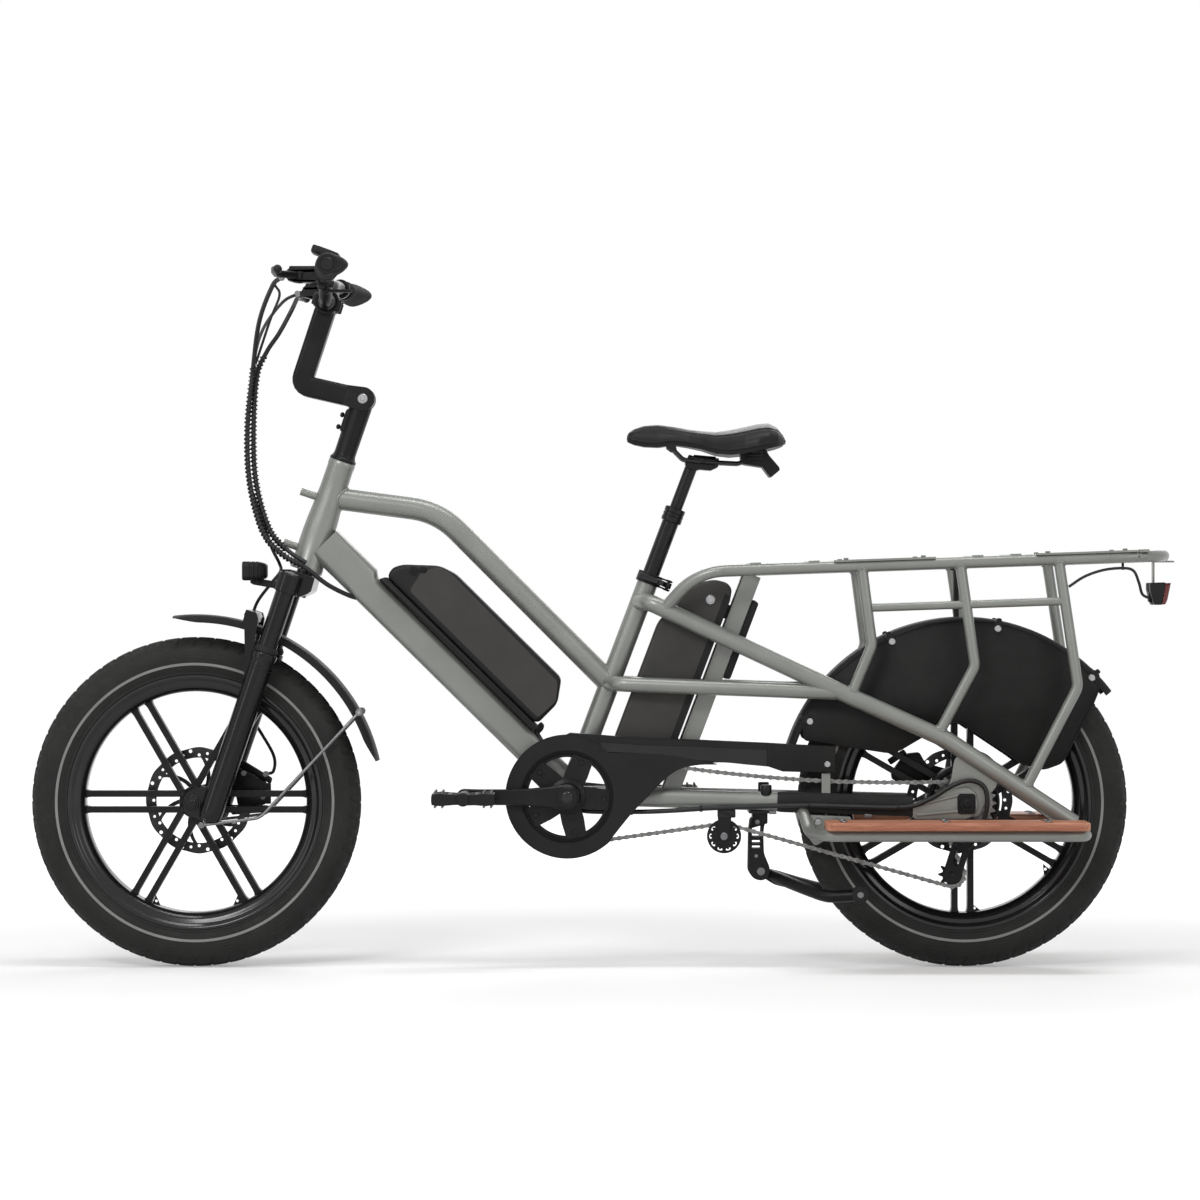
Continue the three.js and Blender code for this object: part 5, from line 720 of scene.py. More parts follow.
def fittings():
    """Dropouts, the battery channel, bridges and the lamp's bracket."""
    lug = softened([(REAR_X + a * 90, AXLE_Z + b * 90) for a, b in DROPOUT_SHARES], 0.3)
    parts = both(plate(lug, 70, 78))
    channel = [(143, 68), (174, 68), (174, 455), (143, 455)]
    spine = [on_seat(u, w)[::2] for u, w in ((143, 68), (146, 68), (146, 455), (143, 455))]
    parts.append(plate(spine, -17, 17))
    walls = [on_seat(u, w)[::2] for u, w in channel]
    parts += both(plate(walls, 14, 17))
    cap = [on_seat(u, w)[::2] for u, w in ((143, 437), (174, 437), (174, 455), (143, 455))]
    parts.append(plate(cap, -16, 16))
    parts.append(tube([(112, -36, 286), (112, 36, 286)], 11, count=24, side=UP))
    top = RACK["end_z"] - RACK["radius"]
    parts.append(plate([(919, top - 1.5), (955, top - 1.5), (955, top + 1.5), (919, top + 1.5)], -9, 9))
    parts.append(plate([(919, top - 46), (922, top - 46), (922, top), (919, top)], -9, 9))
    return parts


tubes = make("frame_tubes", frame_tubes() + rack_loop() + rear_tubes(-1) + rear_tubes(1), "paint", "frame",
             replaced=["main_frame"])
make("frame_welds", frame_welds(), "paint", "frame", angle=60)
make("frame_fittings", fittings(), "paint", "frame", bevel=0.8)


# Outlines with holes, cut from sheet


def stamped(outlines, y0, y1):
    """A flat piece in the side view: the first outline is its rim and the others are holes."""
    curve = bpy.data.curves.new("stamp", "CURVE")
    curve.dimensions = "2D"
    curve.fill_mode = "BOTH"
    curve.extrude = (y1 - y0) / 2
    for outline in outlines:
        spline = curve.splines.new("POLY")
        spline.points.add(len(outline) - 1)
        for point, (x, z) in zip(spline.points, outline):
            point.co = (x, z, 0, 1)
        spline.use_cyclic_u = True
    holder = bpy.data.objects.new("stamp", curve)
    mesh = holder.to_mesh()
    middle = (y0 + y1) / 2
    corners = [(v.co.x, middle + v.co.z, v.co.y) for v in mesh.vertices]
    faces = [tuple(p.vertices) for p in mesh.polygons]
    holder.to_mesh_clear()
    bpy.data.objects.remove(holder)
    bpy.data.curves.remove(curve)
    return corners, faces


def ring_of(radius, count, x, z):
    return [polar(radius, 360 * i / count, x, z) for i in range(count)]


def spun(part, x, z, degrees):
    """A part turned round an axle."""
    angle = math.radians(degrees)
    c, s = math.cos(angle), math.sin(angle)
    corners, faces = part
    return [(x + (px - x) * c - (pz - z) * s, y, z + (px - x) * s + (pz - z) * c) for px, y,
            pz in corners], faces


# Tyres: blocks on the tread, bead lines and a pale stripe on the walls
TYRE_SECTION = (
    (204, 22), (208, 26.5), (212.5, 30.8), (214.2, 33.2), (216.5, 33.6), (218, 33), (222, 35), (228, 36.9),
    (234, 37.7), (240, 38), (246, 37.6), (251, 36.6), (255, 35.2), (257.5, 34.2), (258.5, 33.6), (261, 32),
    (263.5, 30), (266, 27.6), (268, 25), (269.8, 22.2), (271.2, 20.6), (271.8, 19.6), (273.4, 15.5),
    (274.6, 11.2), (274.9, 10.2), (275.6, 5), (276, 1.6), (276, 0.4))
BLOCKS = 60
STEPS_IN_BLOCK = 10
GROOVE = 2.3


def tread(radius, y, angle):
    """How far the surface lies below the blocks at a place on the tread."""
    across = abs(y)
    if across > 33.7 or radius < 250:
        return 0
    place = angle / FULL * BLOCKS
    if across > 20.1:
        place += 0.25 * (across - 20) / 13 + (0.5 if y > 0 else 0)
        gap = 0.22
    elif across > 10.7:
        place += 0.5 - 0.2 * (across - 10) / 10
        gap = 0.2
    else:
        place += 0.18 * y / 10
        gap = 0.16
    share = place % 1
    in_line = across < 0.8 or 10.0 < across < 11.4 or 19.5 < across < 20.7
    return -GROOVE if share < gap or in_line else 0


def tyre(x):
    section = [(r, -y) for r, y in TYRE_SECTION] + [(r, y) for r, y in reversed(TYRE_SECTION)]
    return lathe(section, (x, 0, AXLE_Z), ACROSS, BLOCKS * STEPS_IN_BLOCK, closed=True, wave=tread)


def tyre_lines(x):
    stripe = [(228.6, 36.2), (228.9, 37.6), (233.1, 38.1), (233.4, 37.2)]
    return both(lathe(stripe, (x, 0, AXLE_Z), ACROSS, 180, closed=True))


def sipes(x):
    """Thin ribs round the walls beside the stripe."""
    parts = []
    for radius, y in ((221, 34.4), (224, 35.5), (243, 37.8), (247.5, 37.3)):
        parts += both(lathe([(radius - 0.7, y - 0.6), (radius, y + 0.45), (radius + 0.7, y - 0.6)],
                            (x, 0, AXLE_Z), ACROSS, 150, closed=True))
    return parts


RIM_SECTION = (
    (203.5, 21), (206, 27.5), (211.5, 30.5), (213.3, 31.6), (212.8, 33.4), (209.5, 33.6), (206.5, 32),
    (203.8, 28.4),
    (201, 27), (196.5, 26.4), (194.5, 25.2), (190, 21.5), (186.6, 17), (185, 13.5))
SPOKE = {"width": 10.4, "apart": 26.6, "root": 14, "tip": 188, "depth": 22}


def rim(x):
    section = [(r, -y) for r, y in RIM_SECTION] + [(r, y) for r, y in reversed(RIM_SECTION)]
    return lathe(section, (x, 0, AXLE_Z), ACROSS, 160, closed=True)


def spokes(x, turn):
    half = SPOKE["width"] / 2
    edge = [(SPOKE["root"], half), (150, half), (176, half), (181, half + 0.6), (185, half + 2.2),
            (SPOKE["tip"], half + 5)]
    outline = [(a, b) for a, b in edge] + [(a, -b) for a, b in reversed(edge)]
    parts = []
    for i in range(6):
        for side in SIDES:
            shape = [(x + a, AXLE_Z + b + side * SPOKE["apart"] / 2) for a, b in outline]
            half_depth = SPOKE["depth"] / 2 - 0.3 * (side + 1) - 0.15 * (i % 2)
            parts.append(spun(plate(shape, -half_depth, half_depth), x, AXLE_Z, turn + 60 * i))
    return parts


def tabs(x, start):
    """Small drilled lugs inside the rim."""
    parts = []
    for i, turn in enumerate((start, start + 42.7)):
        lean = 1 if i else -1
        shape = [(x + 187, AXLE_Z - 9 * lean), (x + 187, AXLE_Z + 7 * lean), (x + 171, AXLE_Z + 7 * lean)]
        hole = [(x + 180 + a, AXLE_Z + 2.5 * lean + b) for a, b in circle(2.4, 14)]
        parts.append(spun(stamped([shape, hole], -2.5, 2.5), x, AXLE_Z, turn))
    return parts


def front_hub(x):
    centre = (x, 0, AXLE_Z)
    shell = [(7.6, -44), (14, -44), (15, -43), (15, -38), (19, -36), (20, -31), (25, -26), (27.5, -22),
             (27.5, -12),
             (24, -8), (24, 8), (27.5, 12), (27.5, 22), (25, 26), (20, 31), (20, 39), (15, 40), (15, 43),
             (14, 44),
             (7.6, 44)]
    return [lathe(shell, centre, ACROSS, 48, closed=True)]


def motor_hub(x):
    centre = (x, 0, AXLE_Z)
    shell = [(7.6, -36), (21, -36), (22, -35), (24, -34.5), (50, -33), (52, -31.5), (54, -31.5), (56, -33),
             (58.5, -33),
             (60, -31), (60, -22), (61.5, -21), (61.5, 21), (60, 22), (60, 31), (58.5, 33), (56, 33),
             (54, 31.5),
             (52, 31.5), (50, 33), (24, 34.5), (22, 36), (22, 50), (15, 51), (15, 55), (14, 56), (7.6, 56)]
    parts = [lathe(shell, centre, ACROSS, 72, closed=True)]
    for i in range(8):
        a, b = polar(56.5, 22.5 + 45 * i, x, AXLE_Z)
        parts += both(hexagon(5.5, 32, 34.6, (a, 0, b)))
    return parts


def disc(x, y, count=6):
    """A brake disc: a drilled ring on curved arms, with the bolts of its collar."""
    y0, y1 = y - 1, y + 1
    holes = []
    for i in range(36):
        radius, size = ((76.6, 2.6), (84, 3.0), (80, 2.4))[i % 3]
        holes.append(ring_of(size, 12, *polar(radius, 10 * i, x, AXLE_Z)))
    wavy = [polar(89.2 + 0.8 * math.cos(math.radians(3 * i * 12)), 3 * i, x, AXLE_Z) for i in range(120)]
    parts = [stamped([wavy, ring_of(72, 96, x, AXLE_Z), *holes], y0, y1),
             stamped([ring_of(26, 48, x, AXLE_Z), ring_of(15.6, 40, x, AXLE_Z)], y0, y1)]
    for i in range(count):
        line = [polar(24 + 50 * k / 8, 60 * i + 26 * (k / 8) ** 1.2) for k in range(9)]
        left = [polar(math.hypot(a, b),
                      math.degrees(math.atan2(b, a)) + math.degrees(3.6 / math.hypot(a, b)), x, AXLE_Z)
                for a, b in line]
        right = [polar(math.hypot(a, b),
                       math.degrees(math.atan2(b, a)) - math.degrees(3.6 / math.hypot(a, b)), x, AXLE_Z)
                 for a, b in line]
        parts.append(stamped([left + right[::-1]], y0 + 0.1, y1 - 0.1))
        parts.append(drum(3.2, 0, 2.2,
                          (*polar(20.5, 60 * i + 12, x, 0)[:1], y1, polar(20.5, 60 * i + 12, 0, AXLE_Z)[1]),
                          ACROSS, 0.7, 12))
    return parts


for end, x, turn, tab, valve_at in (("front", FRONT_X, 0, 248.7, 65), ("rear", REAR_X, 30, 277.4, 100)):
    body = end + "_wheel"
    make(end + "_tyre_rubber", [tyre(x), *sipes(x)], "tyre", body, 28, replaced=[end + "_tyre"])
    make(end + "_tyre_stripe", tyre_lines(x), "stripe", body, 60)
    make(end + "_rim", [rim(x)], "gloss", body, 50, replaced=[end + "_wheel"])
    make(end + "_spokes", spokes(x, turn) + tabs(x, tab), "metal", body, 25, bevel=1.1)
    make(end + "_hub", front_hub(x) if end == "front" else motor_hub(x), "metal", body, 32)
    make(end + "_rotor", disc(x, 41 if end == "front" else 52), "dark_disc", body, 40,
         replaced=[end + "_disc"])
    valve = polar(1, valve_at)
    root = (x + 190 * valve[0], 0, AXLE_Z + 190 * valve[1])
    inward = Vector((-valve[0], 0, -valve[1]))
    make(end + "_valve",
         [lathe([(0, -10), (4, -10), (4, 2), (2.6, 3), (2.6, 22), (3.4, 22.5), (3.4, 30), (2.2, 31),
                                 (0, 31)], root, inward, 20)], "grip", body, 35)


# Fork, stem, bar and what is clamped to it
FORK = {"leg_u": -16, "leg_y": 65}
CROWN_PROFILE = (
    (-37, -13), (-34, -9), (-22, -5), (22, -5), (23, -9), (24, -28), (20, -34), (13, -40), (8, -44),
    (-36, -44),
    (-37, -42))


def on_steer_tube(profile, u, y, steps=40):
    """A turned shape along the steering axis from its (radius, w) line."""
    foot = on_steering(u, 0, y)
    return lathe(profile, foot, STEER_AXIS, steps, closed=True)


def fork_upper_parts():
    outline = [on_steering(u, w)[::2] for u, w in CROWN_PROFILE]
    parts = [plate(outline, -66, 66)]
    for side in SIDES:
        y = side * FORK["leg_y"]
        parts.append(on_steer_tube([(0.01, -44.2), (20, -44.2), (21, -43), (21, -13.5), (19.6, -12),
                                    (17.4, -11.9),
                                    (17, -12.6), (13.5, -12.6), (13, -13.4), (0.01, -13.4)], FORK["leg_u"],
                                   y))
        parts.append(on_steer_tube([(0.01, -290), (15.5, -290), (16.5, -289), (16.5, -44), (0.01, -44)],
                                   FORK["leg_u"], y))
        for degrees in (205, 225):
            parts.append(drum(3.2, 0, 2.4,
                              on_steering(FORK["leg_u"] - 21, -22 if degrees == 205 else -36, y), ACROSS,
                              0.8, 6))
    parts.append(on_steer_tube([(0.01, -44), (14.3, -44), (14.3, 211), (0.01, 211)], 0, 0))
    return parts


def knobs():
    """Turning caps on top of the stanchions."""
    parts = []
    for side in SIDES:
        y = side * FORK["leg_y"]
        crest = [polar(11.6 if i % 2 else 12.4, 360 * i / 48) for i in range(48)]
        rings = [[Vector(on_steering(FORK["leg_u"] + a * k, w, y + b * k)) for a, b in crest]
                 for k, w in ((0.96, -13.2), (1, -12.2), (1, -9.6), (0.94, -8.8))]
        parts.append(skin([[tuple(p) for p in ring] for ring in rings]))
        parts.append(on_steer_tube([(0.01, -9), (6, -9), (6.4, -8.2), (5.6, -7.4), (0.01, -7.2)],
                                   FORK["leg_u"], y, 24))
    return parts


def fork_lower_parts():
    parts = []
    for side in SIDES:
        y = side * FORK["leg_y"]
        parts.append(on_steer_tube(
            [(17.3, -330), (17.3, -151), (18.4, -149.6), (21.3, -150.4), (21.8, -152), (21.8, -160),
             (20.6, -163),
             (20, -170), (20, -425), (19.4, -436), (17, -442), (12, -444), (8, -444.5), (7.5, -443),
             (0.01, -443),
             (0.01, -330)], FORK["leg_u"], y, 44))
        toe = [(-6, -386), (-4, -400), (-3, -446), (-44, -447), (-56, -444), (-63, -436), (-66, -425),
               (-66, -417),
               (-62, -407), (-54, -399), (-40, -393), (-20, -380)]
        low, high = sorted((side * 56, side * 68))
        parts.append(plate([on_steering(u, w)[::2] for u, w in toe], low, high))
        for reach, rise in ((14, 1.4), (10.5, 5), (7, 8.5)):
            base = Vector((FRONT_X, side * 68, AXLE_Z))
            parts.append(drum(reach, 0, rise, tuple(base), (0, side, 0), 1, 36))
        pillar = [(-68, -91), (-50, -91), (-44, -100), (-36, -148), (-24, -156), (-18, -166), (-18, -202),
                  (-26, -208),
                  (-36, -200), (-44, -170), (-62, -120), (-69, -100)]
        low, high = sorted((side * 54, side * 71))
        parts.append(plate([on_steering(u, w)[::2] for u, w in pillar], low, high))
    arch = []
    for i in range(25):
        share = i / 24 * 2 - 1
        drop = 10 * abs(share) ** 4
        arch.append(((-68, -91 - drop), (-50, -91 - drop), (-47, -96 - drop), (-47, -107 - drop),
                     (-52, -109 - drop),
                     (-62, -109 - drop), (-68, -104 - drop), share * 69))
    rings = [[on_steering(u, w, row_[-1]) for u, w in row_[:-1]] for row_ in arch]
    parts.append(skin(rings))
    parts.append(drum(7, -70, 70, (FRONT_X, 0, AXLE_Z), ACROSS, 0.5, 24))
    return parts


def wipers():
    """Rubber seals where the stanchions enter the legs."""
    return [on_steer_tube([(16.6, -149), (19.6, -149.2), (20.4, -147), (20.2, -143), (18.6, -141),
                           (17.4, -138.5),
                           (16.7, -138.5)], FORK["leg_u"], side * FORK["leg_y"]) for side in SIDES]


def gills():
    """Two thin rings and a foot bolt on every leg."""
    parts = []
    for side in SIDES:
        y = side * FORK["leg_y"]
        for w in (-172, -178):
            parts.append(on_steer_tube([(19.4, w - 1.2), (20.7, w), (19.4, w + 1.2)], FORK["leg_u"], y))
        parts.append(on_steer_tube([(0.01, -449), (6.5, -449), (7.5, -448), (7.5, -444), (0.01, -444)],
                                   FORK["leg_u"], y, 6))
    return parts


make("fork_crown", fork_upper_parts(), "polish", "steering", 32, bevel=1.2, replaced=["fork_upper"])
make("fork_knobs", knobs(), "dull_steel", "steering", 40, bevel=0.4)
make("fork_legs", fork_lower_parts(), "polish", "fork", 30, bevel=1.4, replaced=["fork_lower"])
make("fork_wipers", wipers(), "grip", "fork", 40)
make("fork_rings", gills(), "metal", "fork", 40)


# Stem: cover, clamped neck, forked arm and face plate
PIVOT = on_steering(0, 303.7)
ELBOW = on_steering(-107, 293)
BAR_AXIS = on_steering(-108, 438)


def neck_parts():
    parts = [on_steer_tube([(14.7, 193.4), (22, 193.4), (22.6, 194.4), (22.4, 198), (20.6, 200), (19, 203),
                            (18.2, 207), (18.4, 240), (19, 288), (18.6, 296), (17.4, 300), (0.01, 300),
                            (0.01, 212), (14.7, 212)], 0, 0, 48)]
    cheek = [on_steering(u, w)[::2] for u,
             w in ((-8, 240), (-19, 241), (-21, 244), (-21, 276), (-19, 280), (-8, 281))]
    for side in SIDES:
        y0, y1 = sorted((side * 1.3, side * 12))
        parts.append(plate(cheek, y0, y1))
    forward = (-math.cos(HEAD_ANGLE), 0, math.sin(HEAD_ANGLE))
    for w in (247, 268):
        parts.append(drum(2.6, 0, 6, on_steering(-19, w), forward, 0.5, 16))
        parts.append(lathe([(0, 4), (3.4, 4.4), (4.6, 6.6), (4.2, 9), (2.4, 10.6), (0, 11)],
                           on_steering(-18, w), forward, 24))
    parts.append(drum(19.6, -17, 17, PIVOT, ACROSS, 2, 48))
    return parts


def arm_parts():
    parts = []
    section = rounded(40, 35, 7, 6)
    stations = [Vector(p) for p in bent([PIVOT, ELBOW, BAR_AXIS], 15, 6)]
    start = stations[0] + (stations[1] - stations[0]).normalized() * 21
    stations[0] = start
    end = stations[-1] + (stations[-2] - stations[-1]).normalized() * 12
    stations[-1] = end
    parts.append(sweep([tuple(p) for p in stations], section, ACROSS))
    cheek = []
    ahead = (Vector(ELBOW) - Vector(PIVOT)).normalized()
    up = Vector((-ahead.z, 0, ahead.x))
    if up.z < 0:
        up = -up
    for a, b in [(30, -17), (30, 17)]:
        cheek.append(Vector(PIVOT) + ahead * a + up * b)
    round_end = []
    for i in range(25):
        angle = math.radians(90 + 180 * i / 24)
        round_end.append(Vector(PIVOT) + ahead * 20 * math.cos(angle) + up * 20 * math.sin(angle))
    outline = [(p.x, p.z) for p in [cheek[1], *round_end, cheek[0]]]
    for side in SIDES:
        y0, y1 = sorted((side * 17.6, side * 22))
        parts.append(plate(outline, y0, y1))
    return parts


def cap_parts():
    parts = []
    for side in SIDES:
        parts.append(drum(8.4, 22, 25.4, PIVOT, (0, side, 0), 1.2, 40))
        parts.append(drum(4.4, 25.2, 26, PIVOT, (0, side, 0), 0.6, 6))
    return parts


def clamp_parts():
    """The face plate that holds the bar: a split ring with ears and four bolts."""
    parts = []
    outward = (Vector(BAR_AXIS) - Vector(ELBOW)).normalized()
    profile = [(16.1, -31), (20.4, -31), (21, -30), (21, -14), (19, -12), (19, 12), (21, 14), (21, 30),
               (20.4, 31),
               (16.1, 31)]
    parts.append(lathe(profile, BAR_AXIS, ACROSS, 60, closed=True))
    sideways = Vector((outward.z, 0, -outward.x))
    for y in (-23, 23):
        for way in SIDES:
            foot = Vector(BAR_AXIS) + sideways * way * 19.5 + Vector((0, y, 0)) - outward * 11
            parts.append(drum(5.4, 0, 18, tuple(foot), tuple(outward), 1.6, 24))
            parts.append(drum(4.2, 17.8, 21.4, tuple(foot), tuple(outward), 0.9, 20))
    return parts


make("stem_neck", neck_parts(), "metal", "steering", 32, bevel=1.2, replaced=["stem_lower"])
make("stem_boom", arm_parts(), "metal", "bar", 32, bevel=2.0, replaced=["stem_arm"])
make("stem_caps", cap_parts(), "steel", "steering", 40)
make("bar_clamp", clamp_parts(), "metal", "bar", 32, bevel=0.7)


# Handlebar, grips, brakes, display, shifter, bell and headlight
BX, _, BZ = BAR_AXIS
BAR_ROUTE = [(BX + 22, -350, BZ + 37), (BX + 3.7, -115.5, BZ + 37), (BX, -60, BZ), (BX, 60, BZ),
             (BX + 3.7, 115.5, BZ + 37),
             (BX + 22, 350, BZ + 37)]


def on_bar(y, back=0, up=0):
    share = (abs(y) - 115.5) / 234.5
    return BX + 3.7 + share * 18.3 + back, y, BZ + 37 + up


def bar_parts():
    parts = [tube(BAR_ROUTE, 11.1, 60, 32, UP, 12)]
    profile = [(11.4, -46), (13, -42), (15.9, -33), (15.9, 33), (13, 42), (11.4, 46)]
    parts.append(lathe(profile, BAR_AXIS, ACROSS, 40, closed=True))
    for side in SIDES:
        parts.append(drum(10.8, 0, 3, on_bar(side * 350), (0.078 * side, side, 0), 1.2, 32))
    return parts


GRIP_SHAPE = ((0, 1.02), (0.03, 1.16), (0.07, 1.18), (0.1, 1.0), (0.25, 1.04), (0.5, 1.1), (0.7, 1.15),
              (0.9, 1.1),
              (0.97, 1.0), (1.0, 0.86))


def grip_parts(side):
    rings = []
    steps = 66
    for k in range(steps + 1):
        along = k / steps
        for (a, sa), (b, sb) in zip(GRIP_SHAPE, GRIP_SHAPE[1:]):
            if a <= along <= b:
                size = sa + (sb - sa) * (along - a) / (b - a)
                break
        y = 351 - 132 * (1 - along)
        ring = []
        for i in range(64):
            angle = FULL * i / 64
            wing = max(math.cos(angle), 0) ** 1.5
            reach = 16.5 + (32 - 16.5) * along * wing
            ridge = 0
            if 0.12 < along < 0.93:
                ridge = 0.45 if (k % 2) ^ (i // 2 % 2) else -0.25
            x, _, z = on_bar(y, (reach * size + ridge) * math.cos(angle),
                             ((14.5 + 3 * along) * size + ridge) * math.sin(angle))
            ring.append((x, side * y, z))
        rings.append(ring)
    return [skin(rings)]


def grip_rings(side):
    parts = []
    for y in (221.5, 348.5):
        x, _, z = on_bar(y)
        parts.append(lathe([(11.4, -3), (16.4, -3), (17.2, -2), (17.2, 2), (16.4, 3), (11.4, 3)],
                           (x, side * y, z),
                           (0.078 * side, side, 0), 40, closed=True))
    return parts


def brake_parts(side):
    """Clamp, master cylinder, reservoir cap and hose nut of one brake."""
    x, _, z = on_bar(186)
    y = side * 186
    parts = [lathe([(11.4, -8), (15.6, -8), (16.8, -7), (16.8, 7), (15.6, 8), (11.4, 8)], (x, y, z), ACROSS,
                   40,
                   closed=True)]
    outline = [(x - 12, z - 14), (x - 20, z - 17), (x - 48, z - 17), (x - 62, z - 13), (x - 66, z - 8),
               (x - 66, z - 2),
               (x - 60, z + 3), (x - 30, z + 4), (x - 13, z + 5), (x - 10, z)]
    shell = plate(outline, y - 12, y - 9)
    parts.append(shell)
    parts.append(plate(outline, y + 9, y + 12))
    upper = [(x - 12, z - 1), (x - 60, z - 2), (x - 65, z + 1), (x - 60, z + 5.5), (x - 30, z + 6.5),
             (x - 13, z + 7)]
    parts.append(plate(upper, y - 12, y + 12))
    lower = [(x - 12, z - 13.5), (x - 60, z - 12), (x - 62, z - 14), (x - 50, z - 17.5), (x - 20, z - 17.5)]
    parts.append(plate(lower, y - 12, y + 12))
    parts.append(tube([(x - 24, y - side * 10, z + 1), (x - 30, y - side * 34, z + 1)], 8.4, count=28))
    parts.append(tube([(x - 30, y - side * 32, z + 1), (x - 31.4, y - side * 40, z + 1)], 5, count=6))
    parts.append(drum(4.6, -19, 8.6, (x - 42, side * 192, z - 0), UP, 0.8, 20))
    return parts


def cover_parts(side):
    x, _, z = on_bar(186)
    y = side * 186
    outline = rounded(42, 20, 4, 5)
    rings = [[(x - 39 + a * k, y + b * k, z + up) for a, b in outline] for k, up in
             ((1, 6.2), (1, 8.4), (0.94, 9.4))]
    parts = [skin(rings)]
    for dx in (-56, -22):
        parts.append(drum(2.2, 9.2, 10.2, (x + dx, y, z), UP, 0.4, 16))
    return parts


def blade_parts(side):
    """A flat brake blade with a hooked tip, turning on its pin."""
    hx, _, hz = on_bar(186, -42, -6)
    tx, _, tz = on_bar(322, -88, -6)
    line = bent([(hx, side * 192, hz), (hx - 10, side * 204, hz), (tx - 1, side * 232, tz),
                 (tx, side * 300, tz),
                 (tx + 8, side * 322, tz)], 26, 8)
    parts = [sweep(line, rounded(7, 12, 3, 4), UP, scale=lambda t: 1 - 0.12 * t)]
    parts[0] = sweep(line, rounded(12, 7, 3, 4), UP)
    parts.append(drum(8.4, -6, 6, (hx, side * 192, hz), UP, 1, 28))
    ball = [(0.01, -7.5), (4, -6.4), (6.6, -3.4), (7.5, 0), (6.6, 3.4), (4, 6.4), (0.01, 7.5)]
    parts.append(lathe(ball, (tx + 9, side * 323, tz), UP, 28, closed=False))
    return parts


def display_parts():
    x, y, z = on_bar(-126)
    y = -126
    tilt = math.radians(20)
    parts = [lathe([(11.4, -6), (14.2, -6), (15, -5), (15, 5), (14.2, 6), (11.4, 6)], (x, y, z), ACROSS, 36,
                   closed=True)]
    arm = [(x - 6, z + 12), (x + 6, z + 12), (x + 5, z + 34), (x - 7, z + 32)]
    parts.append(plate(arm, y - 6, y + 6))
    outline = rounded(46, 62, 9, 6)
    rings = []
    for k, h in ((0.9, -7), (0.98, -5), (1, -2), (1, 4), (0.97, 6), (0.93, 6.8)):
        ring = []
        for a, b in outline:
            ring.append((x + a * k * math.cos(tilt) + h * math.sin(tilt), y + b * k,
                         z + 35 - a * k * math.sin(tilt) + h * math.cos(tilt)))
        rings.append(ring)
    parts.append(skin(rings))
    return parts


def screen_parts():
    x, _, z = on_bar(-126)
    tilt = math.radians(20)
    outline = rounded(34, 50, 5, 6)
    rings = []
    for k, h in ((1, 6.0), (1, 7.0), (0.98, 7.3)):
        rings.append([(x + a * k * math.cos(tilt) + h * math.sin(tilt), -126 + b * k,
                       z + 35 - a * k * math.sin(tilt) + h * math.cos(tilt)) for a, b in outline])
    return [skin(rings)]


def shifter_parts():
    x, _, z = on_bar(-150)
    y = -150
    parts = [lathe([(11.4, -8), (15.2, -8), (16, -7), (16, 7), (15.2, 8), (11.4, 8)], (x, y, z), ACROSS, 36,
                   closed=True),
             drum(15, -22, -10.5, (x, y, z), UP, 2.4, 48), drum(12.4, -10.6, -9.4, (x, y, z), UP, 0.6, 40),
             drum(3, -33.6, -21, (x, y, z), UP, 0.6, 20)]
    parts.append(tube([(x - 10, y + 6, z - 16), (x - 24, y + 12, z - 16)], 5, count=20))
    return parts


def paddle_parts():
    x, _, z = on_bar(-150)
    level = z - 28.35
    outline = [(-4, -6), (10, -8.6), (30, -8.6), (42, -7), (44, -3), (42, 1.4), (30, 2), (10, 4), (-4, 5)]
    rings = [[(x + a, -150 + b * k + (1 - k) * -3, level + h) for a, b in outline] for k, h in
             ((0.92, -2.4), (1, -1.4), (1, 1.4), (0.92, 2.4))]
    return [skin(rings), drum(7.8, -3, 3, (x, -150, level), UP, 0.8, 28)]


def bell_parts():
    x, y, z = BX + 1, -100, BZ + 27
    dome = [(0.01, 20), (8, 19.4), (15, 16), (18.6, 11), (19.6, 5), (19.6, 3), (18.4, 3), (0.01, 3)]
    return [lathe(dome, (x - 4, y, z + 10), UP, 40, closed=True)]


def bell_mount():
    x, y, z = BX + 1, -100, BZ + 27
    return [lathe([(11.4, -4), (14, -4), (14.6, -3), (14.6, 3), (14, 4), (11.4, 4)], (x, y, z),
                  (0, 0.83, -0.55), 32,
                  closed=True),
            tube([(x - 4, y, z + 8), (x - 4, y, z + 14)], 4, count=16)]


make("bar_tube", bar_parts(), "metal", "bar", 40, replaced=["handlebar"])
for side, end in ((-1, "near"), (1, "far")):
    make(end + "_grip_rubber", grip_parts(side), "grip", "bar", 50, replaced=[end + "_grip"])
    make(end + "_grip_rings", grip_rings(side), "metal", "bar", 40, bevel=0.3)
    make(end + "_brake_body", brake_parts(side), "metal", "bar", 32, bevel=1.2,
         replaced=[end + "_brake_housing"])
    make(end + "_brake_cover", cover_parts(side), "plastic", "bar", 40, bevel=0.4)
    make(end + "_brake_blade", blade_parts(side), "metal", end + "_lever", 40,
         replaced=[end + "_brake_lever"])
make("display_case", display_parts(), "plastic", "bar", 40, bevel=0.5, replaced=["display"])
make("display_screen", screen_parts(), "screen", "bar", 50)
make("shifter_body", shifter_parts(), "plastic", "bar", 40, replaced=["shifter"])
make("shifter_blade", paddle_parts(), "plastic", "paddle", 50, bevel=0.4, replaced=["shifter_paddle"])
make("bell_dome", bell_parts(), "metal", "bar", 40)
make("bell_mount", bell_mount(), "plastic", "bar", 40)


# Headlight: a ribbed shell with a lens in a bezel, on a bracket bolted to the crown
LIGHT = on_steering(-80, -27)


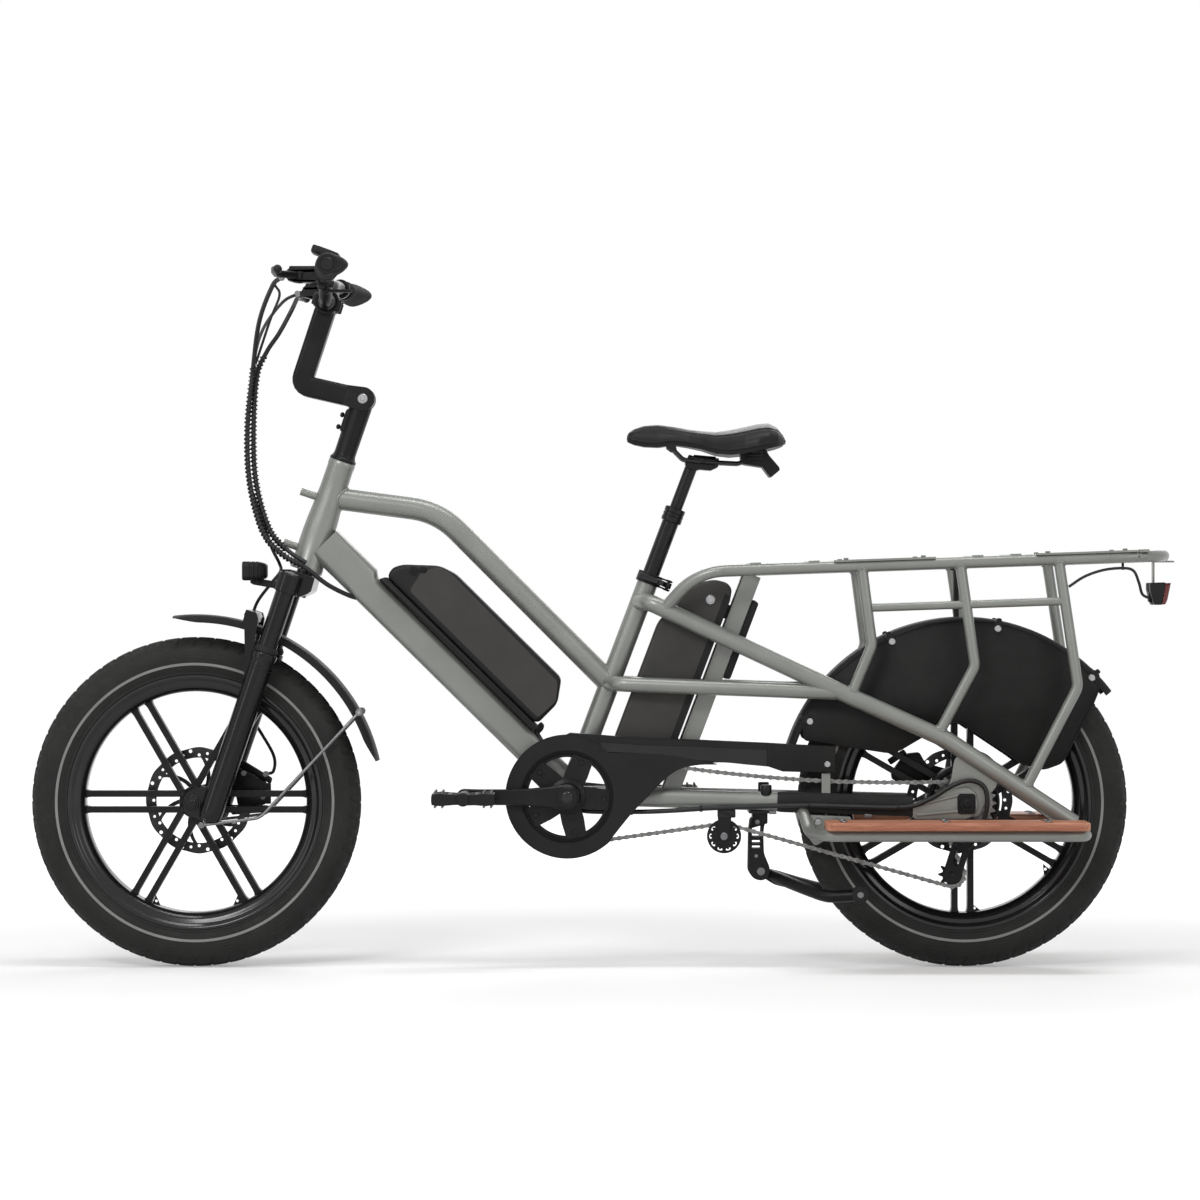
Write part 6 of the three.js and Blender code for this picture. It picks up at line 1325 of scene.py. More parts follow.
def light_shell():
    lx, _, lz = LIGHT
    rings = []
    for dx, k in ((20, 0.62), (17, 0.8), (10, 0.92), (6, 0.95), (5.6, 0.99), (2.4, 0.99), (2, 0.95),
                  (-1, 0.96),
                  (-1.4, 1), (-4.6, 1), (-5, 0.96), (-8, 0.97), (-8.4, 1.0), (-18, 1.0), (-20, 0.97)):
        rings.append([(lx + dx, a * k, lz + b * k) for a, b in rounded(46, 32, 9, 6)])
    arm = [(lx - 8, lz - 13), (lx + 8, lz - 13), on_steering(-37.4, -32)[::2], on_steering(-37.4, -44)[::2],
           (lx - 3, lz - 23), (lx - 8, lz - 20)]
    parts = [skin(rings), plate(arm, -5, 5)]
    parts.append(tube([(lx + 4, -9, lz - 18), (lx + 4, 9, lz - 18)], 4.4, count=6))
    parts.append(tube([on_steering(-38, -37, 0), on_steering(-44, -37, 0)], 6, count=6))
    return parts


def light_bezel():
    lx, _, lz = LIGHT
    rings = []
    for dx, k in ((-19, 0.98), (-20.6, 0.95), (-21, 0.86), (-19.6, 0.82), (-17, 0.8)):
        rings.append([(lx + dx, a * k, lz + b * k) for a, b in rounded(46, 32, 8, 6)])
    return [skin(rings, caps=False)]


def light_lens():
    lx, _, lz = LIGHT
    rings = []
    for dx, k in ((-17, 0.82), (-19, 0.8), (-20.2, 0.6), (-20.6, 0.3)):
        rings.append([(lx + dx, a * k, lz + b * k) for a, b in rounded(46, 32, 8, 6)])
    return [skin(rings)]


make("headlight_shell", light_shell(), "plastic", "steering", 35, bevel=0.8, replaced=["headlight"])
make("headlight_bezel", light_bezel(), "gloss", "steering", 40)
make("headlight_lens", light_lens(), "clear", "steering", 50)


# Drive: chain, toothed wheels, cranks and pedals
PITCH = 12.7
CHAIN_Y = -52


def pitch_radius(teeth):
    return PITCH / 2 / math.sin(math.pi / teeth)


def gear(teeth, x, z, turn=0):
    """The outline of a sprocket: hollows for the rollers between pointed teeth."""
    radius = pitch_radius(teeth)
    shape = []
    for i in range(teeth):
        middle = 360 / teeth * i + turn
        step = 360 / teeth
        for share, reach in ((-0.5, -3.9), (-0.4, -3.7), (-0.3, -2.9), (-0.21, -0.8), (-0.13, 1.6),
                             (-0.06, 2.9),
                             (0.06, 2.9), (0.13, 1.6), (0.21, -0.8), (0.3, -2.9), (0.4, -3.7)):
            shape.append(polar(radius + reach, middle + share * step, x, z))
    return shape


GUIDE, TENSION, IDLER = (REAR_X - 3, 214), (REAR_X - 21, 157), (199, 221)
RING_R, COG_R, PULLEY_R = pitch_radius(40), pitch_radius(18), pitch_radius(10)
SAG_POINT = ((CRANK_X + REAR_X) / 2, (CRANK_Z + RING_R + AXLE_Z + COG_R) / 2 - 42)
CHAIN_WHEELS = (
    (CRANK_X, CRANK_Z, RING_R, -1), (*SAG_POINT, 0, 1), (REAR_X, AXLE_Z, COG_R, -1), (*GUIDE, PULLEY_R, 1),
    (*TENSION, PULLEY_R, -1), (*IDLER, PULLEY_R, 1))


def tangent(a, b):
    dx, dz = b[0] - a[0], b[1] - a[1]
    heading = math.atan2(dz, dx) - math.asin((b[3] * b[2] - a[3] * a[2]) / math.hypot(dx, dz))
    nx, nz = -math.sin(heading), math.cos(heading)
    return [(w[0] - w[3] * w[2] * nx, w[1] - w[3] * w[2] * nz) for w in (a, b)]


def chain_line():
    """The chain's line as close points, one loop."""
    count = len(CHAIN_WHEELS)
    runs = [tangent(wheel, CHAIN_WHEELS[(i + 1) % count]) for i, wheel in enumerate(CHAIN_WHEELS)]
    line = []
    for i, (x, z, radius, turn) in enumerate(CHAIN_WHEELS):
        arrive, leave = runs[i - 1][1], runs[i][0]
        if not radius:
            start, end = Vector(runs[i - 1][0]), Vector(runs[i][1])
            for k in range(1, 40):
                t = k / 40
                line.append(tuple(start * (1 - t) ** 2 + Vector((x, z)) * 2 * t * (1 - t) + end * t ** 2))
            continue
        first = math.degrees(math.atan2(arrive[1] - z, arrive[0] - x))
        last = math.degrees(math.atan2(leave[1] - z, leave[0] - x))
        span = ((last - first) * turn) % 360
        steps = max(2, round(span / 4))
        line += [polar(radius, first + turn * span * k / steps, x, z) for k in range(steps + 1)]
    return line


def even_steps(line):
    """Places one link apart round a closed line."""
    lengths = [math.dist(a, b) for a, b in zip(line, line[1:] + line[:1])]
    count = round(sum(lengths) / PITCH / 2) * 2
    step, places, travelled, i = sum(lengths) / count, [], 0, 0
    for k in range(count):
        while travelled + lengths[i] < k * step:
            travelled += lengths[i]
            i += 1
        share = (k * step - travelled) / lengths[i]
        a, b = line[i], line[(i + 1) % len(line)]
        places.append((a[0] + (b[0] - a[0]) * share, a[1] + (b[1] - a[1]) * share))
    return places


def chain_parts():
    plates, rollers = [], []
    places = even_steps(chain_line())
    for k, (x, z) in enumerate(places):
        x1, z1 = places[(k + 1) % len(places)]
        dx, dz = x1 - x, z1 - z
        length = math.hypot(dx, dz)
        ux, uz = dx / length, dz / length
        shape = []
        for a, b in ((-4, 0), (-3.4, 2.3), (-1.8, 3.7), (0.6, 3.9), (3, 3), (length / 2, 2.6),
                     (length - 3, 3),
                     (length - 0.6, 3.9), (length + 1.8, 3.7), (length + 3.4, 2.3), (length + 4, 0),
                     (length + 3.4, -2.3), (length + 1.8, -3.7), (length - 0.6, -3.9), (length - 3, -3),
                     (length / 2, -2.6), (3, -3), (0.6, -3.9), (-1.8, -3.7), (-3.4, -2.3)):
            shape.append((x + ux * a - uz * b, z + uz * a + ux * b))
        low, high = (1.6, 2.3) if k % 2 else (2.4, 3.1)
        plates.append(plate(shape, CHAIN_Y - high, CHAIN_Y - low))
        plates.append(plate(shape, CHAIN_Y + low, CHAIN_Y + high))
        rollers.append(drum(3.6, -1.6, 1.6, (x, CHAIN_Y, z), ACROSS, 0.2, 14))
        rollers.append(drum(1.8, -3.5, 3.5, (x, CHAIN_Y, z), ACROSS, 0.4, 12))
    return plates, rollers


link_plates, link_rollers = chain_parts()
make("chain_plates", link_plates, "chain", "frame", 40, replaced=["chain"])
make("chain_rollers", link_rollers, "dull_steel", "frame", 40)


def spider(count, inner, outer, x, z, width_in, width_out, turn=0):
    arms = []
    for i in range(count):
        shape = [(x + inner, z - width_in / 2), (x + outer * 0.6, z - width_out * 0.56),
                 (x + outer, z - width_out / 2),
                 (x + outer, z + width_out / 2), (x + outer * 0.6, z + width_out * 0.56),
                 (x + inner, z + width_in / 2)]
        angle = math.radians(360 * i / count + turn)
        c, s = math.cos(angle), math.sin(angle)
        arms.append([(x + (a - x) * c - (b - z) * s, z + (a - x) * s + (b - z) * c) for a, b in shape])
    return arms


def ring_parts():
    x, z = CRANK_X, CRANK_Z
    parts = [stamped([gear(40, x, z), ring_of(68, 80, x, z)], CHAIN_Y - 1, CHAIN_Y + 1)]
    parts.append(lathe([(65.4, -1.8), (70.4, -1.8), (71, -1.2), (71, 1.2), (70.4, 1.8), (65.4, 1.8)],
                       (x, CHAIN_Y - 1.4, z), ACROSS, 96, closed=True))
    for arm in spider(5, 16, 70, x, z, 36, 34, -5):
        parts.append(plate(arm, CHAIN_Y - 4.6, CHAIN_Y - 1.2))
    parts.append(lathe([(12.6, 3), (31, 3), (31, -6.2), (29, -8), (23, -9.6), (21, -14), (20, -22.4),
                        (12.6, -22.4)], (x, CHAIN_Y, z), ACROSS,
                       48, closed=True))
    return parts


def ring_bolts():
    parts = []
    for i in range(5):
        a, b = polar(61, 72 * i - 5, CRANK_X, CRANK_Z)
        parts.append(drum(4.6, -7, -4.2, (a, CHAIN_Y, b), ACROSS, 0.6, 24))
        parts.append(hexagon(4.4, -7.4, -6.8, (a, CHAIN_Y, b)))
    return parts


make("ring_and_spider", ring_parts(), "metal", "crank", 34, bevel=0.5, replaced=["chainring"])
make("ring_bolts", ring_bolts(), "metal", "crank", 40)


CRANK_ARM = 170


def arm_part(side):
    """One crank arm: deep at the spindle, drawn in towards the pedal."""
    x, z, reach = CRANK_X, CRANK_Z, side * CRANK_ARM
    parts = []
    low, high = (-88, -75) if side < 0 else (75, 88)
    outline = []
    for i in range(17):
        outline.append(polar(21.5, 90 + 180 * i / 16))
    for a, b in ((14, -20.4), (30, -17.6), (60, -14.8), (100, -13.2), (146, -13.2)):
        outline.append((a, b))
    for i in range(17):
        a, b = polar(14, -90 + 180 * i / 16)
        outline.append((a + CRANK_ARM, b))
    for a, b in ((146, 13.2), (100, 13.2), (60, 14.8), (30, 17.6), (14, 20.4)):
        outline.append((a, b))
    rings = []
    for y, inset in ((low, 0.82), (low + 1.6, 0.93), (low + 3.4, 1), (high - 3.4, 1), (high - 1.6, 0.93),
                     (high, 0.82)):
        ring = []
        for a, b in outline:
            pull = (1 - inset) * 14
            a2 = a + (pull if a < -4 else -pull if a > 174 else 0) * 0.7
            ring.append((x + side * a2, y, z + b * inset))
        rings.append(ring)
    parts.append(skin(rings))
    face = low if side < 0 else high
    parts.append(drum(17.6, -1.4, 2.4, (x, face, z), (0, side, 0), 1.4, 44))
    parts.append(drum(11.4, -1, 1.6, (x + reach, face, z), (0, side, 0), 1, 36))
    axle = (x + reach, side * 77, z)
    parts.append(tube([axle, (x + reach, side * 180, z)], 5, count=24))
    parts.append(tube([(x + reach, side * 88, z), (x + reach, side * 92.6, z)], 9, count=6))
    if side > 0:
        parts.append(tube([(x, -75, z), (x, 77, z)], 12.1, count=40))
    return parts


def arm_bolt(side):
    face = side * 88
    parts = [drum(9.4, 2, 3.8, (CRANK_X, face, CRANK_Z), (0, side, 0), 0.8, 36)]
    parts.append(lathe([(4.2, 3.2), (8.4, 3.2), (8.4, 4.2), (7.6, 4.6), (4.2, 4.6)],
                       (CRANK_X, face, CRANK_Z),
                       (0, side, 0), 36, closed=True))
    parts.append(hexagon(7.6, 2, 3.4, (CRANK_X, face, CRANK_Z), (0, side, 0)))
    return parts


for side, end in ((-1, "near"), (1, "far")):
    make(end + "_crank", arm_part(side), "metal", "crank", 30, replaced=[end + "_crank_arm"])
    make(end + "_crank_bolt", arm_bolt(side), "gloss", "crank", 40)


def pedal_parts(side):
    x, z = CRANK_X + side * CRANK_ARM, CRANK_Z
    parts = []
    for y0, y1 in ((95.5, 105), (130, 138), (165, 174.5)):
        outline = [(x + a, z + b) for a, b in (
            (-52, -5), (-49, -9), (-38, -10.4), (-12, -8.4), (12, -8.4), (38, -10.4), (49, -9), (52, -5),
            (52, 5),
            (49, 9), (38, 10.4), (12, 8.4), (-12, 8.4), (-38, 10.4), (-49, 9), (-52, 5))]
        a0, a1 = sorted((side * y0, side * y1))
        parts.append(plate(outline, a0, a1))
    for dx in (-45.5, -22, 22, 45.5):
        width = 12 if abs(dx) > 30 else 7
        outline = [(x + dx - width / 2, z - 9), (x + dx + width / 2, z - 9), (x + dx + width / 2, z + 9),
                   (x + dx - width / 2, z + 9)]
        a0, a1 = sorted((side * 98, side * 172))
        parts.append(plate(outline, a0, a1))
    a0, a1 = sorted((side * 95.2, side * 174))
    parts.append(lathe([(5.4, a0), (10, a0), (11.4, a0 + 2), (11.4, a1 - 2), (10, a1), (5.4, a1)],
                       (x, 0, z), ACROSS, 36,
                       closed=True))
    a0, a1 = sorted((side * 174, side * 180.4))
    parts.append(lathe([(0.01, a0), (10, a0), (9, a1), (0.01, a1)], (x, 0, z), ACROSS, 30, closed=True))
    return parts


def pedal_pins(side):
    x, z = CRANK_X + side * CRANK_ARM, CRANK_Z
    parts = []
    for dx in (-46, -34, 34, 46):
        for y in (100, 134, 170):
            parts.append(drum(1.7, -14, 14, (x + dx, side * y, z), UP, 0.5, 10))
    return parts


for side, end in ((-1, "near"), (1, "far")):
    make(end + "_pedal_body", pedal_parts(side), "plastic", end + "_pedal", 32, bevel=1.0,
         replaced=[end + "_pedal"])
    make(end + "_pedal_pins", pedal_pins(side), "dull_steel", end + "_pedal", 40)


def cog_parts():
    parts = []
    for i, teeth in enumerate((12, 15, 18, 21, 25)):
        y = CHAIN_Y + (i - 2) * 4.8
        shape = [gear(teeth, REAR_X, AXLE_Z, 7 * i), ring_of(12, 24, REAR_X, AXLE_Z)]
        if teeth > 20:
            for k in range(6):
                shape.append(ring_of(4.6 if teeth > 24 else 3, 14,
                                     *polar(pitch_radius(teeth) - 13, 60 * k + 20, REAR_X, AXLE_Z)))
        parts.append(stamped(shape, y - 0.9, y + 0.9))
    parts.append(lathe([(7.8, -36.4), (16, -36.4), (16, -66.2), (7.8, -66.2)], (REAR_X, 0, AXLE_Z), ACROSS,
                       40,
                       closed=True))
    return parts


make("cogs", cog_parts(), "chain", "cassette", 34, bevel=0.25, replaced=["cassette"])


def pulley_parts(place):
    x, z = place
    shape = [gear(10, x, z), ring_of(3.4, 20, x, z)] + [
        ring_of(2.6, 12, *polar(11.6, 72 * k, x, z)) for k in range(5)]
    return [stamped(shape, CHAIN_Y - 1.1, CHAIN_Y + 1.1),
            lathe([(3, -3.7), (6.4, -3.7), (7, -3), (7, 3), (6.4, 3.7), (3, 3.7)], (x, CHAIN_Y, z), ACROSS,
                  30,
                  closed=True)]


make("guide_pulley", pulley_parts(GUIDE), "plastic", "guide_jockey", 34, bevel=0.3,
     replaced=["guide_jockey"])
make("tension_pulley", pulley_parts(TENSION), "plastic", "tension_jockey", 34, bevel=0.3,
     replaced=["tension_jockey"])


def idler_parts():
    """A toothed roller behind a round disc with small windows near its rim."""
    x, z = IDLER
    windows = []
    for i in range(10):
        a = math.radians(36 * i)
        windows.append([(x + (22.4 + 2.2 * math.sin(t)) * math.cos(a + 0.19 * math.cos(t)),
                         z + (22.4 + 2.2 * math.sin(t)) * math.sin(a + 0.19 * math.cos(t)))
                        for t in (FULL * k / 18 for k in range(18))])
    parts = [stamped([ring_of(28.6, 72, x, z), ring_of(4.6, 20, x, z), *windows], CHAIN_Y - 6.4,
                     CHAIN_Y - 5),
             stamped([gear(10, x, z), ring_of(4.6, 20, x, z)], CHAIN_Y - 1.1, CHAIN_Y + 1.1),
             lathe([(4.6, -6.6), (12, -6.6), (12, -5), (11, -4), (11, 3.6), (4.6, 3.6)], (x, CHAIN_Y, z),
                   ACROSS, 40,
                   closed=True)]
    return parts


make("idler_disc", idler_parts(), "metal", "idler", 34, bevel=0.35, replaced=["idler_wheel"])


# Seat: clamp with its lever, the post in two sections, and the padded saddle
SADDLE_STATIONS = (
    (37.8, 9, 889, 880), (41, 15, 895, 877.5), (50, 19, 901, 874), (66, 21, 906, 870.5),
    (90, 24, 908, 869.5),
    (115, 29, 905, 873), (140, 38, 900.5, 869.5), (163, 50, 897.5, 865), (187, 67, 896.1, 857.5),
    (211, 83, 899.4, 855), (233, 94, 904, 857.5), (256, 99, 909, 862), (274, 97, 910, 865.5),
    (288, 86, 903, 868.5), (297, 70, 891, 871.5), (301.5, 54, 882, 873.5))
SHELL = 7


def on_post(profile, steps=44):
    return lathe(profile, on_seat(0, 0), SEAT_AXIS, steps, closed=True)


def clamp_parts_of_seat():
    parts = [on_post([(17.8, 379), (20.6, 379), (21.2, 379.8), (21.2, 396.2), (20.6, 397), (17.8, 397)])]
    for w0, w1 in ((379.3, 382.2), (393.8, 396.7)):
        outline = [(18, -6), (34, -6), (37, -5), (39, -2), (39, 2), (37, 5), (34, 6), (18, 6)]
        rings = [[on_seat(u, w, y) for u, y in outline] for w in (w0, w1)]
        parts.append(skin(rings))
    parts.append(lathe([(0.01, 378.4), (4.6, 378.4), (5.2, 379), (5.2, 380), (3, 380), (3, 396), (5, 396),
                        (5, 397.2),
                        (0.01, 397.8)], on_seat(33, 0), SEAT_AXIS, 28, closed=True))
    return parts


def quick_lever():
    parts = [lathe([(3.4, 383.2), (5.8, 383.2), (6.2, 384), (6.2, 392), (5.8, 392.8), (3.4, 392.8)],
                   on_seat(33, 0),
                   SEAT_AXIS, 32, closed=True)]
    line = smooth_route([on_seat(32, 388, -5), on_seat(28, 388, -17), on_seat(15, 388, -26.4),
                         on_seat(-2, 388, -28),
                         on_seat(-17, 388, -28.4)], 8)
    parts.append(sweep(line, rounded(10, 4.4, 1.8, 4), SEAT_AXIS, scale=lambda t: 0.86 + 0.14 * t))
    return parts


def outer_post():
    parts = [on_post([(10.95, 400), (10.95, 512), (12, 514), (16.6, 514), (17.5, 513), (17.5, 506),
                      (16.9, 505.4),
                      (16.9, 504.6), (17.5, 504), (17.5, 500), (16.9, 499.4), (16.9, 498.6), (17.5, 498),
                      (17.5, 491),
                      (16.6, 489.6), (14.2, 488.6), (14.2, 231), (13.4, 230), (0.01, 230), (0.01, 400)])]
    return parts


def inner_post():
    parts = [on_post([(0.01, 442), (10.6, 442), (10.6, 592), (9, 598), (0.01, 598)])]
    outline = [(-12, 588), (-8, 584), (9, 584), (14, 588), (32, 593), (41, 602), (42, 608), (38, 617),
               (30, 616), (8, 611),
               (-11, 602), (-13, 594)]
    parts.append(plate([on_seat(u, w)[::2] for u, w in outline], -18, 18))
    for side in SIDES:
        parts.append(tube([on_seat(-2, 601, side * 17.6), on_seat(34, 611, side * 17.6)], 7.4, count=28))
        parts.append(tube([on_seat(14, 604, side * 24), on_seat(14, 604, side * 28)], 4.6, count=6))
    for u, w in ((-6, 596), (30, 606)):
        parts.append(lathe([(0.01, -8), (5.2, -8), (5.8, -7), (5.8, 9), (4.4, 10.4), (0.01, 10.4)],
                           on_seat(u, w), SEAT_AXIS, 24, closed=True))
    return parts


RAIL_ROUTE = [(109, 874), (112, 869), (131.7, 849), (156.9, 845.7), (224, 842.4), (246, 852)]


def saddle_rails():
    parts = []
    for side in SIDES:
        parts.append(tube([(x, side * 22, z) for x, z in RAIL_ROUTE], 3.5, 16, 20, ACROSS))
    return parts


def saddle_shell():
    """The moulded pan under the padding, with its rear block."""
    rings = []
    for x, width, top, under in SADDLE_STATIONS:
        high = under + min(SHELL, (top - under) * 0.375)
        inner = max(width - 3, width / 2)
        ring = []
        for share in (1, 0.9, 0.6, 0.3, 0, -0.3, -0.6, -0.9, -1):
            ring.append((x, (width - 0.35) * share, high))
        for share in (-1, -0.85, -0.5, 0, 0.5, 0.85, 1):
            ring.append((x, inner * share, under + 1.4 * (1 - share * share)))
        rings.append(ring)
    parts = [skin(rings)]
    block = [(227, 862), (246, 866), (268, 869), (275, 856), (292, 836), (293, 831), (280, 820), (276, 820),
             (264, 836),
             (232, 841), (228, 846)]
    parts.append(plate(block, -30, 30))
    for side in SIDES:
        parts.append(plate([(103, 876), (118, 876), (121, 866), (112, 862), (104, 868)],
                           *sorted((side * 17, side * 27))))
    return parts


def elastomers():
    """Two short spring pads between the rails' ends and the pan."""
    parts = []
    for side in SIDES:
        parts.append(lathe([(0.01, 0), (11, 0), (12.4, 2), (11, 4), (12.6, 7), (11, 10), (12.4, 13),
                            (11, 15), (0.01, 15)],
                           (252, side * 40, 849), UP, 28, closed=True))
    return parts


def cover_point(share_along, share_round):
    """A place on the saddle's covered top: along its length and round its section."""
    stations = SADDLE_STATIONS
    place = share_along * (len(stations) - 1)
    i = min(int(place), len(stations) - 2)
    t = place - i
    ends = [stations[max(i - 1, 0)], stations[i], stations[i + 1], stations[min(i + 2, len(stations) - 1)]]
    a, b, c, d = ends
    values = []
    for k in range(4):
        tangent_in = (c[k] - a[k]) / 2
        tangent_out = (d[k] - b[k]) / 2
        h = t * t * (3 - 2 * t)
        values.append(b[k] + (c[k] - b[k]) * (0.5 * h + 0.5 * t)
                      + 0.25 * ((t ** 3 - 2 * t * t + t) * tangent_in + (t ** 3 - t * t) * tangent_out))
    x, width, top, under = values
    low = under + min(SHELL, (top - under) * 0.375) + 0.5
    angle = math.pi * share_round
    y = width * math.cos(angle)
    crown = math.sin(angle) ** 0.72
    z = low + (top - low) * crown
    centre = abs(y) / max(width, 1)
    dent = 2.6 * math.exp(-((centre / 0.16) ** 2)) * smooth_step((x - 90) / 40) * smooth_step((285 - x) / 40)
    return Vector((x, y, z - dent))


def smooth_step(t):
    t = min(max(t, 0), 1)
    return t * t * (3 - 2 * t)


SEAMS = (0.2, 0.8)


def saddle_cover():
    """The padded cover: swelling panels between sewn seams, tucked in under its rim."""
    long_steps, round_steps = 150, 96
    rings = []
    for i in range(long_steps + 1):
        along = i / long_steps
        ring = []
        for k in range(round_steps + 1):
            share = k / round_steps
            point = cover_point(along, share)
            swell = 0
            for seam in SEAMS:
                swell -= 1.2 * math.exp(-(((share - seam) / 0.009) ** 2))
                swell += 0.5 * math.exp(-(((abs(share - seam) - 0.03) / 0.02) ** 2))
            wrinkle = 0.28 * noise.noise(Vector((point.x * 0.05, point.y * 0.09, 3)))
            fine = 0.12 * noise.noise(Vector((point.x * 0.25, point.y * 0.3, 7)))
            edge = smooth_step(share / 0.06) * smooth_step((1 - share) / 0.06)
            ring.append(tuple(point + Vector((0, 0, (swell + wrinkle + fine) * edge))))
        x, y_end, z_end = ring[-1][0], abs(ring[-1][1]), ring[-1][2]
        for share in (0.97, 0.8, 0.4, 0, -0.4, -0.8, -0.97):
            ring.append((x, -y_end * share, z_end - 0.3))
        rings.append(ring)
    return [skin(rings)]


def saddle_seams():
    """Raised thread along both seams, stitch by stitch."""
    parts = []
    for seam in SEAMS:
        for way in (-0.012, 0.012):
            for i in range(64):
                a = 0.1 + 0.84 * (i + 0.12) / 64
                b = 0.1 + 0.84 * (i + 0.82) / 64
                start, end = cover_point(a, seam + way), cover_point(b, seam + way)
                middle = (start + end) / 2 + Vector((0, 0, 0.55))
                parts.append(sweep([start + Vector((0, 0, -0.1)), middle, end + Vector((0, 0, -0.1))],
                                   circle(0.42, 6)))
    return parts


def rim_cord():
    """A piping round the lower edge of the cover."""
    line = []
    for i in range(61):
        p = cover_point(0.02 + 0.96 * i / 60, 0)
        line.append((p.x, p.y + 0.2, p.z + 0.6))
    for i in range(60, -1, -1):
        p = cover_point(0.02 + 0.96 * i / 60, 1)
        line.append((p.x, p.y - 0.2, p.z + 0.6))
    return [sweep(line, circle(1.5, 8), None, closed=True)]


make("seat_clamp_ring", clamp_parts_of_seat(), "metal", "frame", 34, bevel=0.5, replaced=["seat_clamp"])
make("seat_quick_lever", quick_lever(), "gloss", "seat_lever", 40, replaced=["seat_lever"])
make("post_outer", outer_post(), "polish", "seatpost", 34, replaced=["seatpost_lower"])
make("post_inner", inner_post(), "polish", "saddle", 34, bevel=0.8, replaced=["seatpost_upper"])
make("saddle_rails", saddle_rails(), "gloss", "saddle", 40)
make("saddle_pan", saddle_shell(), "plastic", "saddle", 34, bevel=0.8, replaced=["saddle_base"])
make("saddle_pads", elastomers(), "grip", "saddle", 50)
saddle_top = make("saddle_padding", saddle_cover(), "leather", "saddle", 60, replaced=["saddle_cover"])
make("saddle_thread", saddle_seams(), "thread", "saddle", 60)
make("saddle_piping", rim_cord(), "plastic", "saddle", 60)


# Guards, skirts, batteries, stand, boards, tail lamp and cables


def insets(outline, distance):
    """A closed outline drawn in by a distance."""
    count = len(outline)
    area = sum(outline[i][0] * outline[(i + 1) % count][1] - outline[(i + 1) % count][0] * outline[i][1]
               for i in range(count))
    way = 1 if area > 0 else -1
    moved = []
    for i, (x, z) in enumerate(outline):
        (x0, z0), (x1, z1) = outline[i - 1], outline[(i + 1) % count]
        ax, az, bx, bz = x - x0, z - z0, x1 - x, z1 - z
        la, lb = math.hypot(ax, az) or 1, math.hypot(bx, bz) or 1
        nx, nz = -az / la - bz / lb, ax / la + bx / lb
        size = min(2 / max(nx * nx + nz * nz, 0.4), 1.2)
        moved.append((x + way * nx * size * distance, z + way * nz * size * distance))
    return moved


def softened_outline(points, radius, steps=5):
    """The outline with each corner rounded."""
    line, count = [], len(points)
    for i in range(count):
        before, corner, after = Vector(points[i - 1]), Vector(points[i]), Vector(points[(i + 1) % count])
        back, ahead = before - corner, after - corner
        reach = min(radius, back.length / 2.2, ahead.length / 2.2)
        start, end = corner + back.normalized() * reach, corner + ahead.normalized() * reach
        for k in range(steps + 1):
            t = k / steps
            line.append(tuple(start * (1 - t) ** 2 + corner * 2 * t * (1 - t) + end * t ** 2))
    return line


def cushion(outline, y0, y1, edge, steps=6):
    """A plate with both rims rounded off."""
    levels = [(y0 + edge * (1 - math.cos(math.pi / 2 * k / steps)),
               edge * (1 - math.sin(math.pi / 2 * k / steps)))
              for k in range(steps + 1)]
    levels += [(y1 - (y - y0), inset) for y, inset in reversed(levels)]
    return skin([[(x, y, z) for x, z in insets(outline, inset)] for y, inset in levels])


def guard_part(x, radius, first, last, pointed=0.0, steps=90):
    """A swept mudguard: flat crown, rolled shoulders and turned-in lips."""
    rings = []
    for i in range(steps + 1):
        share = i / steps
        angle = first + (last - first) * share
        near_end = min(share, 1 - share) * abs(last - first)
        trim = 1 - pointed * max(0, 1 - near_end / 8) ** 1.5
        section = [(-28, 0), (0, 0.8), (28, 0), (35, -1.8), (39.6, -5.2 * trim - 1), (41, -9 * trim),
                   (41, -13 * trim),
                   (38.6, -13 * trim), (38.4, -9.4 * trim), (37, -7 * trim), (33.6, -4.2), (27, -2.4),
                   (0, -1.6),
                   (-27, -2.4), (-33.6, -4.2), (-37, -7 * trim), (-38.4, -9.4 * trim), (-38.6, -13 * trim),
                   (-41, -13 * trim), (-41, -9 * trim), (-39.6, -5.2 * trim - 1), (-35, -1.8)]
        ring = []
        for y, rise in section:
            a, b = polar(radius + rise, angle, x, AXLE_Z)
            ring.append((a, y, b))
        rings.append(ring)
    return skin(rings)


def front_guard_parts():
    parts = [guard_part(FRONT_X, 313.4, 12.8, 96.8, 0.75)]
    u0, w0 = -59, -91 - 16 - 0.35
    outline = [on_steering(u0 - 7, w0)[::2], on_steering(u0 + 7, w0)[::2], on_steering(u0 + 7, w0 - 5)[::2],
               on_steering(u0 - 7, w0 - 5)[::2]]
    parts.append(plate(outline, -8, 8))
    return parts


GUARD_RADIUS = 314


def front_stays():
    parts = []
    shares = ((0.046, -0.115, 72), (0.3545, -0.0774, 68), (0.874, 0.480, 41.6))
    for side in SIDES:
        points = [(FRONT_X + a * GUARD_RADIUS, side * y, AXLE_Z + b * GUARD_RADIUS) for a, b, y in shares]
        parts.append(tube(points, 2.6, 28, 14, ACROSS))
        end = points[-1]
        parts.append(drum(6.2, -1, 3.6, end, (0, side, 0), 0.8, 24))
        start = points[0]
        parts.append(drum(5.4, -3, 3, start, (0, side, 0), 0.8, 24))
    return parts


def stay_bolts():
    parts = []
    for side in SIDES:
        x, z = FRONT_X + 0.874 * GUARD_RADIUS, AXLE_Z + 0.480 * GUARD_RADIUS
        parts.append(drum(3.6, 3.4, 5.4, (x, side * 41, z), (0, side, 0), 0.6, 6))
    return parts


